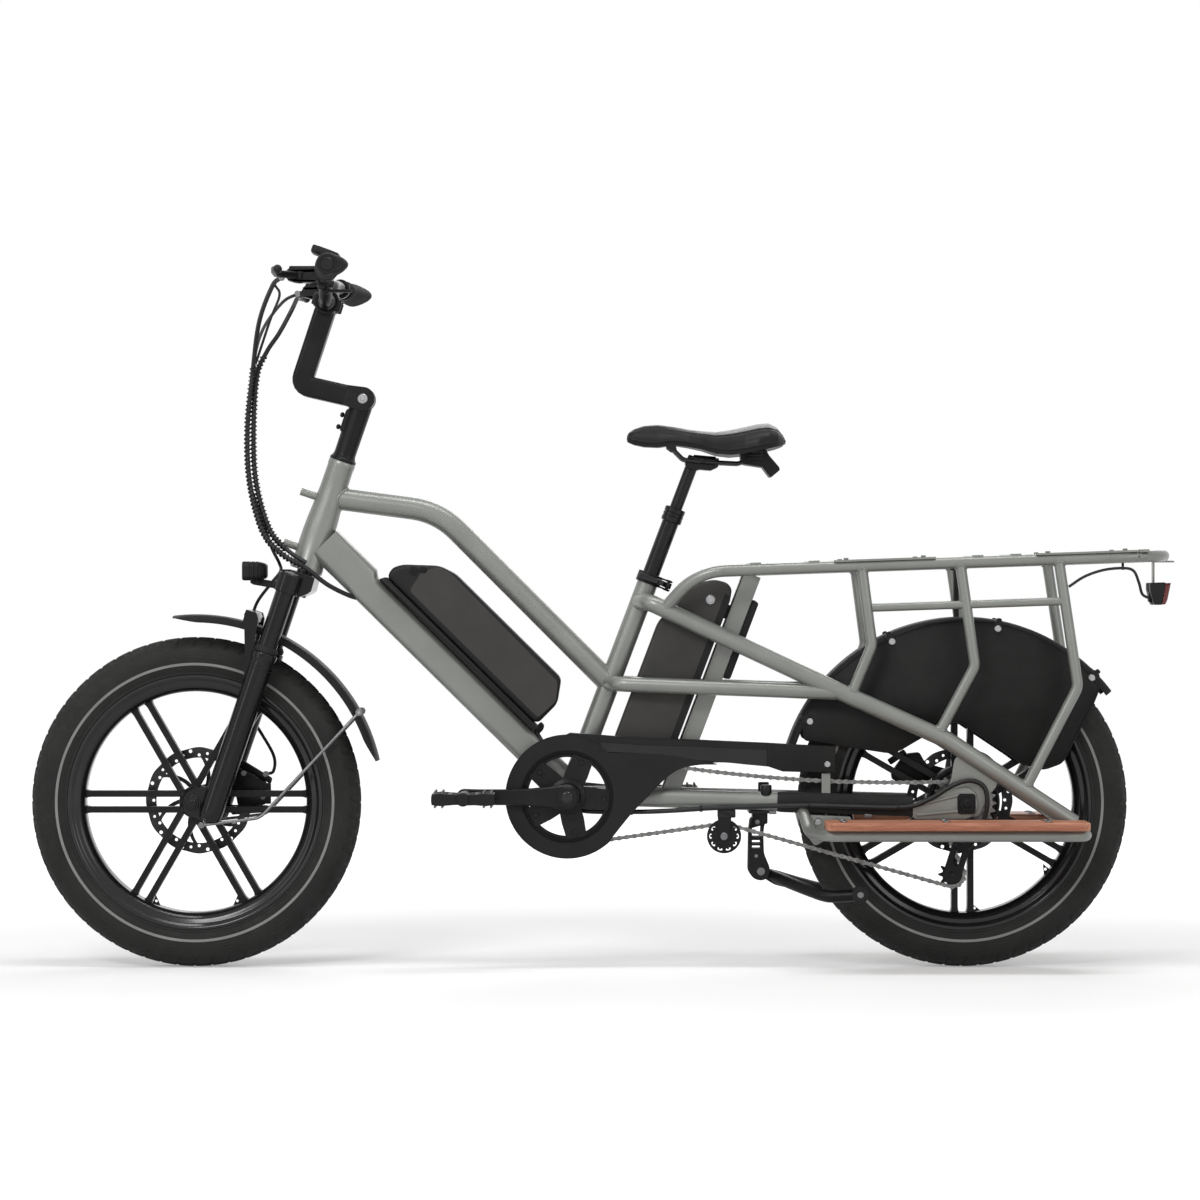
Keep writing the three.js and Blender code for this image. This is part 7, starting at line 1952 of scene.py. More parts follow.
def rear_guard_parts():
    parts = [guard_part(REAR_X, 309.6, 37, 163, 0.0)]
    top = AXLE_Z + math.sqrt(310 ** 2 - (590 - REAR_X) ** 2)
    hang = rack_height(590) - 8.4
    for y in (-8, 8):
        parts.append(tube([(590, y, top - 3), (590, y, hang)], 4, count=16))
    parts.append(plate([(580, hang - 3.4), (600, hang - 3.4), (600, hang), (580, hang)], -9, 9))
    return parts


SKIRT = (
    (-0.858, 0.331), (-0.858, 0.453), (-0.810, 0.543), (-0.715, 0.665), (-0.555, 0.798), (-0.370, 0.893),
    (-0.184, 0.957), (-0.025, 0.978), (0.177, 0.962), (0.347, 0.909), (0.480, 0.840), (0.623, 0.739),
    (0.724, 0.617), (0.686, 0.522), (0.522, 0.209), (0.421, 0.172), (0.288, 0.209), (0.246, 0.241),
    (-0.025, 0.421), (-0.115, 0.410), (-0.348, 0.272), (-0.401, 0.262))
SKIRT_BOLTS = ((-0.385, 0.856), (0.177, 0.925), (0.676, 0.665), (-0.821, 0.432), (-0.736, 0.209))


def skirt_parts(side):
    outline = softened_outline([(REAR_X + a * GUARD_RADIUS, AXLE_Z + b * GUARD_RADIUS) for a, b in SKIRT],
                               9)
    rings = []
    for y, inset in ((46, 0.7), (46.6, 0), (47.4, 0), (48, 0.7)):
        rings.append([(x, side * y, z) for x, z in insets(outline, inset)])
    parts = [skin(rings)]
    rim = [(x, side * 47.6, z) for x, z in insets(outline, 2.2)]
    parts.append(sweep(rim, circle(1.3, 8), None, closed=True))
    for x in (430, 482):
        parts.append(drum(7, 46, 66, (x, 0, rail_height(x)), (0, side, 0), 0.6, 24))
    return parts


def skirt_bolts(side):
    parts = []
    for a, b in SKIRT_BOLTS:
        place = (REAR_X + a * GUARD_RADIUS, side * 48, AXLE_Z + b * GUARD_RADIUS)
        parts.append(drum(6, 0, 2.2, place, (0, side, 0), 1.1, 28))
        parts.append(hexagon(5, 1.8, 2.9, place, (0, side, 0)))
    return parts


def skirt_clips(side):
    """Small moulded clips that hold the sheet's edge to the mudguard."""
    parts = []
    for a, b in SKIRT_BOLTS[:4]:
        turn = math.degrees(math.atan2(b, a))
        reach = math.hypot(a, b) * GUARD_RADIUS
        for along, width, height in ((reach + 7, 15, 10), (reach + 13, 8, 9)):
            x, z = polar(along, turn, REAR_X, AXLE_Z)
            out = Vector((math.cos(math.radians(turn)), 0, math.sin(math.radians(turn))))
            across = Vector((-out.z, 0, out.x))
            outline = [(x + out.x * p + across.x * q, z + out.z * p + across.z * q)
                       for p, q in rounded(height, width, 2.4, 3)]
            parts.append(plate(outline, *sorted((side * 40, side * (50 if along < reach + 10 else 47.6)))))
    return parts


make("front_guard", front_guard_parts(), "guard", "fork", 40, replaced=["front_fender"])
make("front_guard_stays", front_stays(), "dull_steel", "fork", 40)
make("front_guard_bolts", stay_bolts(), "steel", "fork", 40)
make("rear_guard", rear_guard_parts(), "guard", "frame", 40, replaced=["rear_fender"])
for side, end in ((-1, "near"), (1, "far")):
    make(end + "_skirt_sheet", skirt_parts(side), "guard", "frame", 45, replaced=[end + "_skirt"])
    make(end + "_skirt_bolts", skirt_bolts(side), "steel", "frame", 40)
    make(end + "_skirt_clips", skirt_clips(side), "plastic", "frame", 40, bevel=0.6)


# Batteries: a two-part shell with a seam round it, a lock and a base strip
FRONT_PACK = ((0.02, 0), (0, 0.08), (0, 0.587), (0.07, 1), (0.77, 1), (0.85, 0.89), (0.975, 0.4), (1, 0.2),
              (0.985, 0))
REAR_PACK = (
    (100, 47), (108, 39), (325, 39), (357, 52.5), (390, 59.6), (412.8, 81.6), (425.7, 103.6),
    (427.3, 124.6),
    (420.5, 135.2), (402.4, 139.4), (108, 139.4), (100, 131))


def front_pack_parts():
    outline = softened_outline([on_down(48.3 + b * 84, 120 + a * 356)[::2] for a, b in FRONT_PACK], 9)
    return [cushion(outline, -42, -0.8, 8), cushion(outline, 0.8, 42, 8),
            plate(insets(outline, 1.2), -2, 2)]


def pack_faces():
    """The lighter middle of each flank, inside the dark rim, with a cut corner round the locks."""
    inner = softened_outline([on_down(u, w)[::2] for w, u in
                              ((126, 58), (124, 99), (145, 124.5), (394, 128), (420, 121), (436, 96),
                               (428, 58))], 7)
    parts = []
    for side in SIDES:
        rings = []
        for y, inset in ((40, 0), (42.3, 0), (42.9, 0.9)):
            rings.append([(x, side * y, z) for x, z in insets(inner, inset)])
        parts.append(skin(rings))
    return parts


def base_strips():
    rear = [on_seat(u, w)[::2] for u, w in ((127, 110), (139.2, 110), (139.2, 402), (134, 409), (127, 409))]
    return [plate(rear, *sorted((side * 28, side * 32.5))) for side in SIDES]


def cradle_parts():
    """The tray under the front battery, as wide as the battery, with a low stop at its foot."""
    tray = softened_outline([on_down(u, w)[::2] for u,
                             w in ((36.6, 117), (47.6, 112), (47.6, 472), (36.6, 478))], 3)
    foot = softened_outline([on_down(u, w)[::2] for u,
                             w in ((37, 106), (50, 106), (56, 110), (56, 118), (37, 118))], 3)
    return [cushion(tray, -41, 41, 2, 3), cushion(foot, -20, 20, 2, 3)]


def locks():
    x, _, z = on_down(88, 446)
    front = []
    for side in SIDES:
        for dx, dz in ((0, 0), (16, 1)):
            spot = (x + dx, 0, z + dz)
            front.append(drum(8 - dx * 0.1, 41, 43.2, spot, (0, side, 0), 1, 36))
            front.append(drum(4.6, 43, 44, spot, (0, side, 0), 0.6, 30))
    x, _, z = on_seat(108, 390.5)
    rear = [drum(8, 31.4, 33.4, (x, 0, z), (0, side, 0), 1, 36) for side in SIDES]
    rear += [drum(5, 33, 34.2, (x, 0, z), (0, side, 0), 0.6, 30) for side in SIDES]
    return front, rear


def rear_pack_parts():
    outline = softened_outline([on_seat(u, w)[::2] for w, u in REAR_PACK], 10)
    parts = [cushion(outline, -32, -0.7, 7), cushion(outline, 0.7, 32, 7),
             plate(insets(outline, 1.2), -2, 2)]
    for w in (130, 370):
        foot = [on_seat(138, w)[::2], on_seat(142.6, w)[::2], on_seat(142.6, w + 24)[::2],
                on_seat(138, w + 24)[::2]]
        parts.append(plate(foot, -10, 10))
    return parts


rear_strips = base_strips()
front_locks, rear_locks = locks()
make("front_pack", front_pack_parts(), "plastic", "front_battery", 45, replaced=["front_battery"])
make("front_pack_faces", pack_faces(), "casing", "front_battery", 30)
make("front_cradle", cradle_parts(), "plastic", "frame", 40, replaced=["front_battery_cradle"])
make("front_pack_locks", front_locks, "metal", "front_battery", 40)
make("rear_pack", rear_pack_parts(), "casing", "rear_battery", 45, replaced=["rear_battery"])
make("rear_pack_base", rear_strips, "plastic", "rear_battery", 35, bevel=0.8)
make("rear_pack_locks", rear_locks, "steel", "rear_battery", 40)


def control_parts():
    outline = softened_outline([on_seat(u, w)[::2] for u,
                                w in ((174.4, 275), (186, 278), (186, 414), (174.4, 417))], 4)
    parts = [cushion(outline, -22, 22, 3, 4)]
    return parts


make("control_case", control_parts(), "plastic", "frame", 40, bevel=0.4, replaced=["control_box"])


# Boards: rounded planks with a groove near the rim and the bolts that hold them
def board_parts(side):
    plan = softened_outline([(363, 90), (740, 90), (756, 99), (795, 99), (795, 190), (363, 190)], 14)
    rings = []
    for z, inset in ((236.4, 2.4), (237.2, 0.8), (238.6, 0), (247.6, 0), (249.2, 0.8), (250, 2.4),
                     (250, 6.4),
                     (249.3, 7), (249.3, 8.2), (250, 8.8)):
        rings.append([(x, side * y, z) for x, y in insets(plan, inset)])
    return [skin(rings)]


def board_bolts(side):
    parts = []
    for x in (392, 560, 728):
        for y in (112, 165):
            parts.append(drum(7, -0.4, 1.8, (x, side * y, 250), UP, 1.2, 28))
            parts.append(hexagon(6, 1.4, 2.4, (x, side * y, 250), UP))
    return parts


for side, end in ((-1, "near"), (1, "far")):
    make(end + "_board", board_parts(side), "wood", "frame", 40, replaced=[end + "_footboard"])
    make(end + "_board_bolts", board_bolts(side), "dull_steel", "frame", 40)


# Tail lamp: red lens in a black back shell
def lamp_lens():
    outline = softened_outline([(937, 642.4), (947, 643), (941, 614), (937.6, 606.4), (931, 606.4)], 2)
    parts = [cushion(outline, -29.6, 29.6, 3, 4)]
    return parts


def lamp_back():
    outline = softened_outline([(912, 643), (938, 643.6), (932, 605.8), (919, 605.8), (912, 631)], 2.4)
    parts = [cushion(outline, -30, -6.2, 2, 4), cushion(outline, 6.2, 30, 2, 4)]
    parts.append(plate([(912.4, 612), (918.4, 607), (923, 607), (923, 628), (912.4, 628)], -8, 8))
    parts.append(plate([(922.6, 607), (925, 607), (925, 643), (922.6, 643)], -8, 8))
    return parts


make("tail_lens", lamp_lens(), "lamp", "frame", 45, replaced=["tail_light"])
make("tail_back", lamp_back(), "plastic", "frame", 45)


# Chain case: a base plate, a raised front shield with its blade, an upper band and a rear block
CASE_R = 103
CASE_TOP = ((0.044, 1.030), (0.528, 0.997), (1.173, 0.949), (2.142, 0.917), (3.239, 0.868), (4.321, 0.804))
CASE_LOW = (
    (4.321, 0.400), (3.465, 0.416), (3.465, 0.465), (2.949, 0.513), (2.449, 0.553), (1.980, 0.497),
    (1.625, 0.400),
    (1.319, 0.174), (1.093, -0.133), (0.722, -0.665))
BLADE = ((90.5, 358.4), (140, 351), (187.5, 341.4), (160, 340.2), (134, 336), (114, 327), (97, 313),
         (69, 284),
         (44, 258), (10, 215.6))


def case_arc(first, last, steps=60):
    """The round front of the case, clockwise from its foot."""
    return [polar(CASE_R, first + (last - first) * i / steps, CRANK_X, CRANK_Z) for i in range(1, steps)]


def case_line():
    top = [(CRANK_X + a * CASE_R, CRANK_Z + b * CASE_R) for a, b in CASE_TOP]
    low = [(CRANK_X + a * CASE_R, CRANK_Z + b * CASE_R) for a, b in CASE_LOW]
    smooth_low = [(p.x, p.y) for p in smooth_route([(x, z, 0) for x, z in low[2:]], 5)]
    return top + low[:2] + smooth_low + case_arc(-42.6, -272.4)


def case_parts():
    outline = case_line()
    hole = [polar(76, -360 * i / 72, CRANK_X, CRANK_Z) for i in range(72)]
    parts = [stamped([outline, hole], -66.4, -64)]
    wall = [p for p in case_arc(-100, -272.4, 48)] + [(CRANK_X + a * CASE_R, CRANK_Z + b * CASE_R) for a,
                                                      b in CASE_TOP]
    inner = [(x + 2.2 * (CRANK_X - x) / math.dist((x, z), (CRANK_X, CRANK_Z)),
              z + 2.2 * (CRANK_Z - z) / math.dist((x, z), (CRANK_X, CRANK_Z))) if x < CRANK_X + 40
             else (x, z - 2.2)
             for x, z in wall]
    parts.append(skin([[(x, -65, z), (x, -44, z), (a, -44, b), (a, -65, b)] for (x, z),
                       (a, b) in zip(wall, inner)]))
    return parts


def case_shield():
    hole = [polar(77.4, -360 * i / 72, CRANK_X, CRANK_Z) for i in range(72)]
    front = [polar(CASE_R - 1.6, a, CRANK_X, CRANK_Z) for a in (46, 60, 74)][::-1]
    round_front = [polar(CASE_R - 1.6, -47 - 227 * i / 60, CRANK_X, CRANK_Z) for i in range(61)]
    blade = [(p.x, p.y) for p in smooth_route([(x, z, 0) for x, z in BLADE], 5)]
    parts = [stamped([round_front + front + blade, hole], -69.2, -66)]
    band = [(CRANK_X + a * CASE_R, CRANK_Z + b * CASE_R - 1.6) for a, b in CASE_TOP[1:5]]
    parts.append(plate([*band, *[(x, z - 9.4) for x, z in band[::-1]]], -68.6, -66))
    return parts


def case_slope():
    """The hollow between the upper band and the blade, leaning up towards the light."""
    upper = [(CRANK_X + a * CASE_R, CRANK_Z + b * CASE_R - 10.6) for a, b in CASE_TOP[1:5]]
    lower = [(CRANK_X + 60, 362), (75, 358.6), (150, 348.6), (271, 338)]
    top = [Vector((x, 0, z)) for x, z in upper]
    low = [Vector((x, 0, z)) for x, z in lower]
    rings = []
    for a, b in zip(top, low):
        rings.append([(a.x, -66.2, a.z), (a.x, -66.6, a.z), (b.x, -69, b.z), (b.x, -66.2, b.z)])
    return [skin(rings)]


def case_block():
    a, b = CRANK_X + 3.22 * CASE_R, CRANK_X + 4.33 * CASE_R
    return [cushion([(a, 376.6), (b, 371), (b, 326.6), (a + 26, 329), (a, 338)], -70.4, -62, 2, 4)]


def case_bolts():
    parts = []
    for x, z in ((370.5, 341),):
        parts.append(drum(5.4, -72.2, -68, (x, 0, z), ACROSS, 1.2, 28))
        parts.append(hexagon(5, -72.9, -71.4, (x, 0, z)))
    return parts


make("chain_case_plate", case_parts(), "plastic", "frame", 34, bevel=0.6, replaced=["chain_case"])
make("chain_case_shield", case_shield(), "plastic", "frame", 34, bevel=1.2)
make("chain_case_slope", case_slope(), "gloss", "frame", 50)
make("chain_case_block", case_block(), "guard", "frame", 40)
make("chain_case_bolts", case_bolts(), "steel", "frame", 40)
make("chain_case_tab", [plate([(361, 286), (375.6, 286), (375.6, 326), (361, 326)], -63.8, -60)], "paint",
     "frame", 34,
     bevel=0.6)


# Derailleur: knuckle, links and a cage with windows round the two pulleys
def cage_side(y0, y1):
    outline = capsule(GUIDE, TENSION, 15, 40)
    (gx, gz), (tx, tz) = GUIDE, TENSION
    middle = ((gx + tx) / 2, (gz + tz) / 2)
    window = capsule((gx * 0.3 + middle[0] * 0.7, gz * 0.3 + middle[1] * 0.7),
                     (tx * 0.3 + middle[0] * 0.7, tz * 0.3 + middle[1] * 0.7), 5, 20)[::-1]
    return stamped([outline, window], y0, y1)


def shifting_parts():
    body = (REAR_X + 2, 226)
    parts = [cage_side(CHAIN_Y - 6, CHAIN_Y - 4.4), cage_side(CHAIN_Y + 4.4, CHAIN_Y + 6)]
    for x, z in (GUIDE, TENSION):
        parts.append(drum(4, CHAIN_Y - 7.4, CHAIN_Y + 7, (x, 0, z), ACROSS, 0.8, 24))
    parts.append(cushion(capsule(body, GUIDE, 17, 36), -72, CHAIN_Y - 5.8, 2.4, 4))
    parts.append(cushion(capsule((REAR_X + 6, 245), body, 11, 30), -81.6, -61, 2, 4))
    for shift in (-6, 6):
        start, end = (body[0] + shift - 10, body[1] + 9), (body[0] + shift + 14, body[1] - 15)
        parts.append(cushion(capsule(start, end, 3.6, 20), -79, -71, 1.2, 3))
    parts.append(lathe([(0.01, -60), (9.4, -60), (10, -61), (10, -80), (8, -82), (0.01, -82)],
                       (GUIDE[0], 0, GUIDE[1]), ACROSS, 32, closed=True))
    return parts


def shifting_bolts():
    parts = []
    for x, z, y in ((REAR_X + 6, 245, -81), (*GUIDE, -81.4), (REAR_X + 2, 226, -78.6),
                    (*TENSION, CHAIN_Y - 7)):
        parts.append(drum(5, y - 1.8, y + 1, (x, 0, z), ACROSS, 0.8, 24))
        parts.append(hexagon(4.6, y - 2.6, y - 1, (x, 0, z)))
    return parts


make("derailleur_body", shifting_parts(), "metal", "frame", 36, bevel=0.3, replaced=["derailleur"])
make("derailleur_bolts", shifting_bolts(), "metal", "frame", 40)


# Idler bracket and the stand under the stays
def hanger_parts():
    """A wide hanger from the stay to the idler's pin."""
    x, z = IDLER
    parts = [cushion(softened_outline([(188, 264), (212, 264), (209, z + 8), (206, z - 4), (192, z - 4),
                                       (189, z + 8)], 3),
                     -62.4, -59.4, 0.9, 3)]
    parts.append(cushion(softened_outline([(188, 252), (218, 252), (218, 265), (188, 265)], 2), -63, -44.6,
                         0.8, 3))
    parts.append(drum(3.9, -61, -44, (x, 0, z), ACROSS, 0.4, 24))
    return parts


make("idler_hanger", hanger_parts(), "metal", "frame", 40, bevel=0.3, replaced=["idler_bracket"])
make("hanger_bolt", [drum(6.4, -65.4, -62, (*IDLER[:1], 0, IDLER[1]), ACROSS, 1.2, 28),
                    hexagon(6, -66.4, -64.6, (IDLER[0], 0, IDLER[1]))], "dull_steel", "frame", 40)

STAND = (262, 160)


def stand_bracket():
    """A block bolted under the stays with two windowed ears."""
    parts = [cushion(softened_outline([(240, 258.7), (280, 258.7), (280, 263.6), (240, 263.6)], 1.4), -58,
                     58, 1, 3)]
    parts.append(cushion(softened_outline([(247, 262), (273, 262), (273, 240), (247, 232)], 2), -20, 20, 2,
                         4))
    for side in SIDES:
        ear = softened_outline([(244, 250), (270, 250), (266, 226), (267, 190), (277, 166), (275, 150),
                                (264, 144),
                                (250, 147), (240, 160), (241, 226)], 6)
        windows = [softened_outline([(247, 236), (247, 218), (261, 218), (262, 236)], 3),
                   softened_outline([(247, 212), (247, 207), (261, 207), (261, 212)], 1),
                   softened_outline([(247, 203), (247, 198), (261, 198), (261, 203)], 1)]
        y0, y1 = sorted((side * 12.2, side * 19))
        parts.append(stamped([ear, *windows], y0, y1))
    parts.append(drum(4.9, -21, 21, (STAND[0], 0, STAND[1]), ACROSS, 0.8, 28))
    return parts


def stand_bolts():
    parts = []
    for side in SIDES:
        for x, z, r in ((262, 160, 7), (254, 186, 3.4), (256, 243, 4.4)):
            y = 19 if r != 4.4 else 20
            parts.append(drum(r, y, y + 2.4, (x, 0, z), (0, side, 0), 0.8, 24))
    for y in (-48, 48):
        parts.append(drum(6, 262, 268, (260, y, 0), UP, 1, 6))
    return parts


def stand_legs():
    parts = [drum(12, -11.6, 11.6, (STAND[0], 0, STAND[1]), ACROSS, 1.2, 36)]
    for side in SIDES:
        route = smooth_route([(STAND[0], side * 4, STAND[1]), (280, side * 7, 153), (304, side * 32, 144),
                              (336, side * 66, 133), (368, side * 96, 124), (398, side * 106, 125),
                              (424, side * 112, 127.6)], 8)
        parts.append(sweep(route, circle(10.2, 24), None, scale=lambda t: 0.7 + 0.3 * min(4 * t, 1)))
        rib = smooth_route([(270, side * 9, 150), (288, side * 14, 140), (312, side * 38, 136)], 6)
        parts.append(sweep(rib, circle(3.4, 12)))
    return parts


def stand_feet():
    parts = []
    for side in SIDES:
        profile = [(0.01, -13), (11.6, -13), (13.6, -11.6), (14, -10), (14, -8), (13, -7.4), (13, -6.4),
                   (14, -5.8),
                   (14, -1), (13, -0.4), (13, 0.6), (14, 1.2), (14, 6), (13, 6.6), (13, 7.6), (14, 8.2),
                   (14, 10.4),
                   (13.2, 12.4), (11.4, 13), (0.01, 13)]
        parts.append(lathe(profile, (422, side * 112, 128), (0, side, 0), 40, closed=True))
    return parts


make("stand_bracket", stand_bracket(), "metal", "frame", 36, bevel=0.6, replaced=["kickstand_bracket"])
make("stand_bolts", stand_bolts(), "dull_steel", "frame", 40)
make("stand_legs", stand_legs(), "metal", "kickstand", 40, replaced=["kickstand"])
make("stand_feet", stand_feet(), "grip", "kickstand", 50)
make("stand_caps", [drum(5.4, 12.6, 14, (422, side * 112, 128), (0, side, 0), 0.6, 24) for side in SIDES],
     "dull_steel",
     "kickstand", 40)


# Brake calipers: an angular body on both sides of the disc, with an arm and a foot
FRONT_BODY = ((-618, 332), (-592, 320), (-571, 306), (-565, 292), (-570, 270), (-600, 262), (-618, 267),
              (-625, 300))
FRONT_ARM = ((-618, 348), (-561, 313), (-564, 303), (-622, 334))
FRONT_FOOT = ((-634, 268), (-568, 267), (-561, 256), (-630, 251))
REAR_BODY = ((484, 322), (500, 344), (512, 355), (532, 357), (541, 341), (556, 319), (548, 304), (500, 304),
             (486, 311))
REAR_ARM = ((478, 344), (506, 362), (512, 354), (484, 335))


def front_gripper():
    body = softened_outline(FRONT_BODY, 4)
    parts = [cushion(body, 45.6, 56, 2, 3), cushion(body, 32, 40.2, 2, 3)]
    bridge = softened_outline([(-572, 305), (-563, 305), (-563, 270), (-572, 270)], 2)
    parts.append(plate(bridge, 39, 47))
    parts.append(cushion(softened_outline(FRONT_ARM, 3), 46, 57.4, 1.4, 3))
    parts.append(cushion(softened_outline(FRONT_FOOT, 3), 47, 56.6, 1.4, 3))
    parts.append(tube([(-588, 34, 286), (-588, 28, 286)], 9, count=30))
    return parts


def rear_gripper():
    body = softened_outline(REAR_BODY, 4)
    back = softened_outline([(486, 314), (486, 324), (500, 342), (508, 334), (498, 312)], 3)
    parts = [cushion(body, 56.4, 64, 2, 3), cushion(body, 43, 50.8, 2, 3), plate(back, 50, 57)]
    parts.append(cushion(softened_outline(REAR_ARM, 3), 50, 62, 1.4, 3))
    arm = capsule((REAR_X - 42, AXLE_Z + 50), (REAR_X - 14, AXLE_Z + 42), 8, 24)
    parts.append(cushion(arm, 57.4, 64, 1.4, 3))
    parts.append(drum(6.8, 63, 69.6, (REAR_X - 14, 0, AXLE_Z + 42), ACROSS, 0.6, 24))
    return parts


def gripper_bolts(spots, y0, side):
    parts = []
    for x, z in spots:
        parts.append(drum(5, y0, y0 + 3, (x, 0, z), (0, side, 0), 0.9, 24))
        parts.append(hexagon(4.4, y0 + 2.2, y0 + 3.8, (x, 0, z), (0, side, 0)))
    return parts


make("front_gripper", front_gripper(), "metal", body_of_node["front_caliper"], 40,
     replaced=["front_caliper"])
make("rear_gripper", rear_gripper(), "metal", body_of_node["rear_caliper"], 40, replaced=["rear_caliper"])
front_spots = [(-608, 322), (-576, 282)]
rear_spots = [(503, 320), (530, 344)]
make("front_gripper_bolts", gripper_bolts(front_spots, 55, 1) + gripper_bolts(front_spots, -32.8, -1),
     "dull_steel",
     body_of_node["front_caliper"], 40)
make("rear_gripper_bolts", gripper_bolts(rear_spots, 63.4, 1), "dull_steel", body_of_node["rear_caliper"],
     40)


# Cables: a bundle of two strands in wound housing, plain hoses, the rear cables and the lamp's lead
BUNDLE = ((-530, -178, 1141), (-546, -150, 1128), (-574, -70, 1074), (-590, -10, 990), (-599, 0, 900),
          (-594, -10, 810),
          (-570, -34, 728), (-536, -52, 690), (-498, -58, 668), (-462, -50, 640), (-428, -26, 622),
          (-408, -12, 616))
FAR_HOSE = ((-528, 178, 1141), (-552, 150, 1124), (-578, 60, 1072), (-588, -10, 1010), (-596, -4, 930))
FRONT_HOSE = ((-592, -10, 800), (-568, -24, 735), (-556, -22, 700), (-545, -10, 676), (-546, 28, 662),
              (-566, 62, 640),
              (-592, 88, 606), (-603, 93, 560), (-604, 93, 500), (-612, 92, 440), (-592, 90, 402),
              (-562, 78, 352),
              (-560, 60, 325), (-572, 50, 320))
REAR_CABLE = ((0.0227, -30, 264.5), (0.0634, -38, 261), (0.1843, -47, 261), (0.2749, -58, 264),
              (0.3656, -62, 268),
              (0.4864, -68, 271), (0.6073, -74.5, 273), (0.7281, -82, 271), (0.8489, -89, 271),
              (0.9094, -90, 285),
              (0.9622, -91, 306), (1.0076, -92, 315), (1.0423, -92, 305), (1.0514, -91, 280),
              (1.0438, -86, 250),
              (1.0249, -78, 230))


def strand(route, radius, shift=(0, 0, 0), count=14):
    line = smooth_route(route, 10)
    return sweep([p + Vector(shift) for p in line], circle(radius, count))


def wrap(route, radius, pitch, first=0.0, last=1.0):
    """A flat band wound round a route."""
    line = smooth_route(route, 24)
    line = line[int(first * (len(line) - 1)):int(last * (len(line) - 1)) + 1]
    lengths = [0]
    for a, b in zip(line, line[1:]):
        lengths.append(lengths[-1] + (b - a).length)
    turns = lengths[-1] / pitch
    steps = int(turns * 14)
    wound, i = [], 0
    for k in range(steps + 1):
        goal = lengths[-1] * k / steps
        while i < len(line) - 2 and lengths[i + 1] < goal:
            i += 1
        share = (goal - lengths[i]) / max(lengths[i + 1] - lengths[i], 1e-6)
        place = line[i] + (line[i + 1] - line[i]) * share
        along = (line[i + 1] - line[i]).normalized()
        side = (ACROSS - along * along.dot(ACROSS)).normalized()
        other = along.cross(side)
        angle = FULL * turns * k / steps
        wound.append(place + side * radius * math.cos(angle) + other * radius * math.sin(angle))
    return sweep(wound, rounded(1.6, 2.6, 0.5, 2))


SECOND = ((-518, 20, 1120), (-526, -10, 1096), (-545, -16, 1060), (-566, -8, 1030), (-583, -2, 990),
          (-589, 2, 900),
          (-584, -6, 812), (-560, -28, 733), (-528, -46, 697), (-497, -54, 676))


def steering_cables():
    """Brake hoses and wires, and the hose to the front caliper."""
    parts = [strand(BUNDLE, 3.9), strand(SECOND, 3.8), strand(FAR_HOSE, 2.8), strand(FRONT_HOSE, 2.8)]
    parts.append(strand([(-541, -150, 1131), (-536, -120, 1116), (-556, -60, 1080), (-584, -14, 1010)],
                        2.2))
    return parts


def cable_winding():
    """The spiral bands round both strands."""
    return [wrap(BUNDLE, 5.0, 7.0, 0.26, 0.72), wrap(SECOND, 4.9, 7.0, 0.36, 0.88)]


def hose_ferrules(places):
    parts = []
    for place in places:
        parts.append(lathe([(0.01, -7), (4.6, -7), (5.2, -6), (5.2, 2), (3.6, 7), (0.01, 7)], place, ACROSS,
                           24,
                           closed=True))
    return parts


def rear_route(points):
    return [(CRANK_X + a * (REAR_X - CRANK_X), y, z) for a, y, z in points]


def cable_ties():
    """Bands that hold the rear cables to the stay."""
    parts = []
    route = smooth_route(rear_route(REAR_CABLE), 10)
    for share in (0.12, 0.25, 0.4, 0.52):
        i = int(share * (len(route) - 1))
        along = (route[i + 1] - route[i]).normalized()
        parts.append(lathe([(4.1, -2.4), (5.2, -2.4), (5.2, 2.4), (4.1, 2.4)], route[i], along, 24,
                           closed=True))
    return parts


LEAD = ((0, 1, 1.0121), (0.1866, 0.9778, 0.6576), (0.4225, 0.8667, 0.4406), (0.669, 0.6889, 0.4008),
        (0.7993, 0.5, 0.5249), (0.8704, 0.3556, 0.951), (0.9155, 0.2889, 1.3743), (1, 0.2444, 1.5375))
LEAD_ROUTE = [(769 + 142 * a, -90 * out, rack_height(769 + 142 * a) - 45.4 * below) for a, out,
              below in LEAD]
steering_body = body_of_node["cable_bundle"]
make("steering_cables", steering_cables(), "housing", steering_body, 60, replaced=["cable_bundle"])
make("cable_winding", cable_winding(), "housing", steering_body, 60)
make("hose_ferrules", hose_ferrules([(-528, -178, 1141), (-528, 178, 1141)]), "dull_steel", steering_body,
     40)
make("caliper_ferrule", hose_ferrules([FRONT_HOSE[-1]]), "dull_steel", "fork", 40)
make("rear_cable_run", [strand(rear_route(REAR_CABLE), 4)], "housing", "frame", 60,
     replaced=["rear_cables"])
make("rear_cable_ties", cable_ties(), "plastic", "frame", 50)
make("lead_clip", [drum(2.2, 0, 14, (864, LEAD_ROUTE[4][1], 664), UP, 0.8, 16)], "plastic", "frame", 50)
make("lamp_lead", [strand(LEAD_ROUTE, 2.4)], "housing", "frame", 60, replaced=["tail_light_lead"])
make("pack_lead", [strand([(-130, -12, 420), (-119, -14, 402), (-109, -20, 386), (-102, -26, 374)], 3.2)],
     "housing",
     "frame", 60)



# Sleeve on the near chain stay, the strap ends below it and the stand's clamp bolts
def stay_at(x, side=-1):
    share = (x - 40) / 472
    return x, side * (36 + 38 * share), 285 - 13 * share


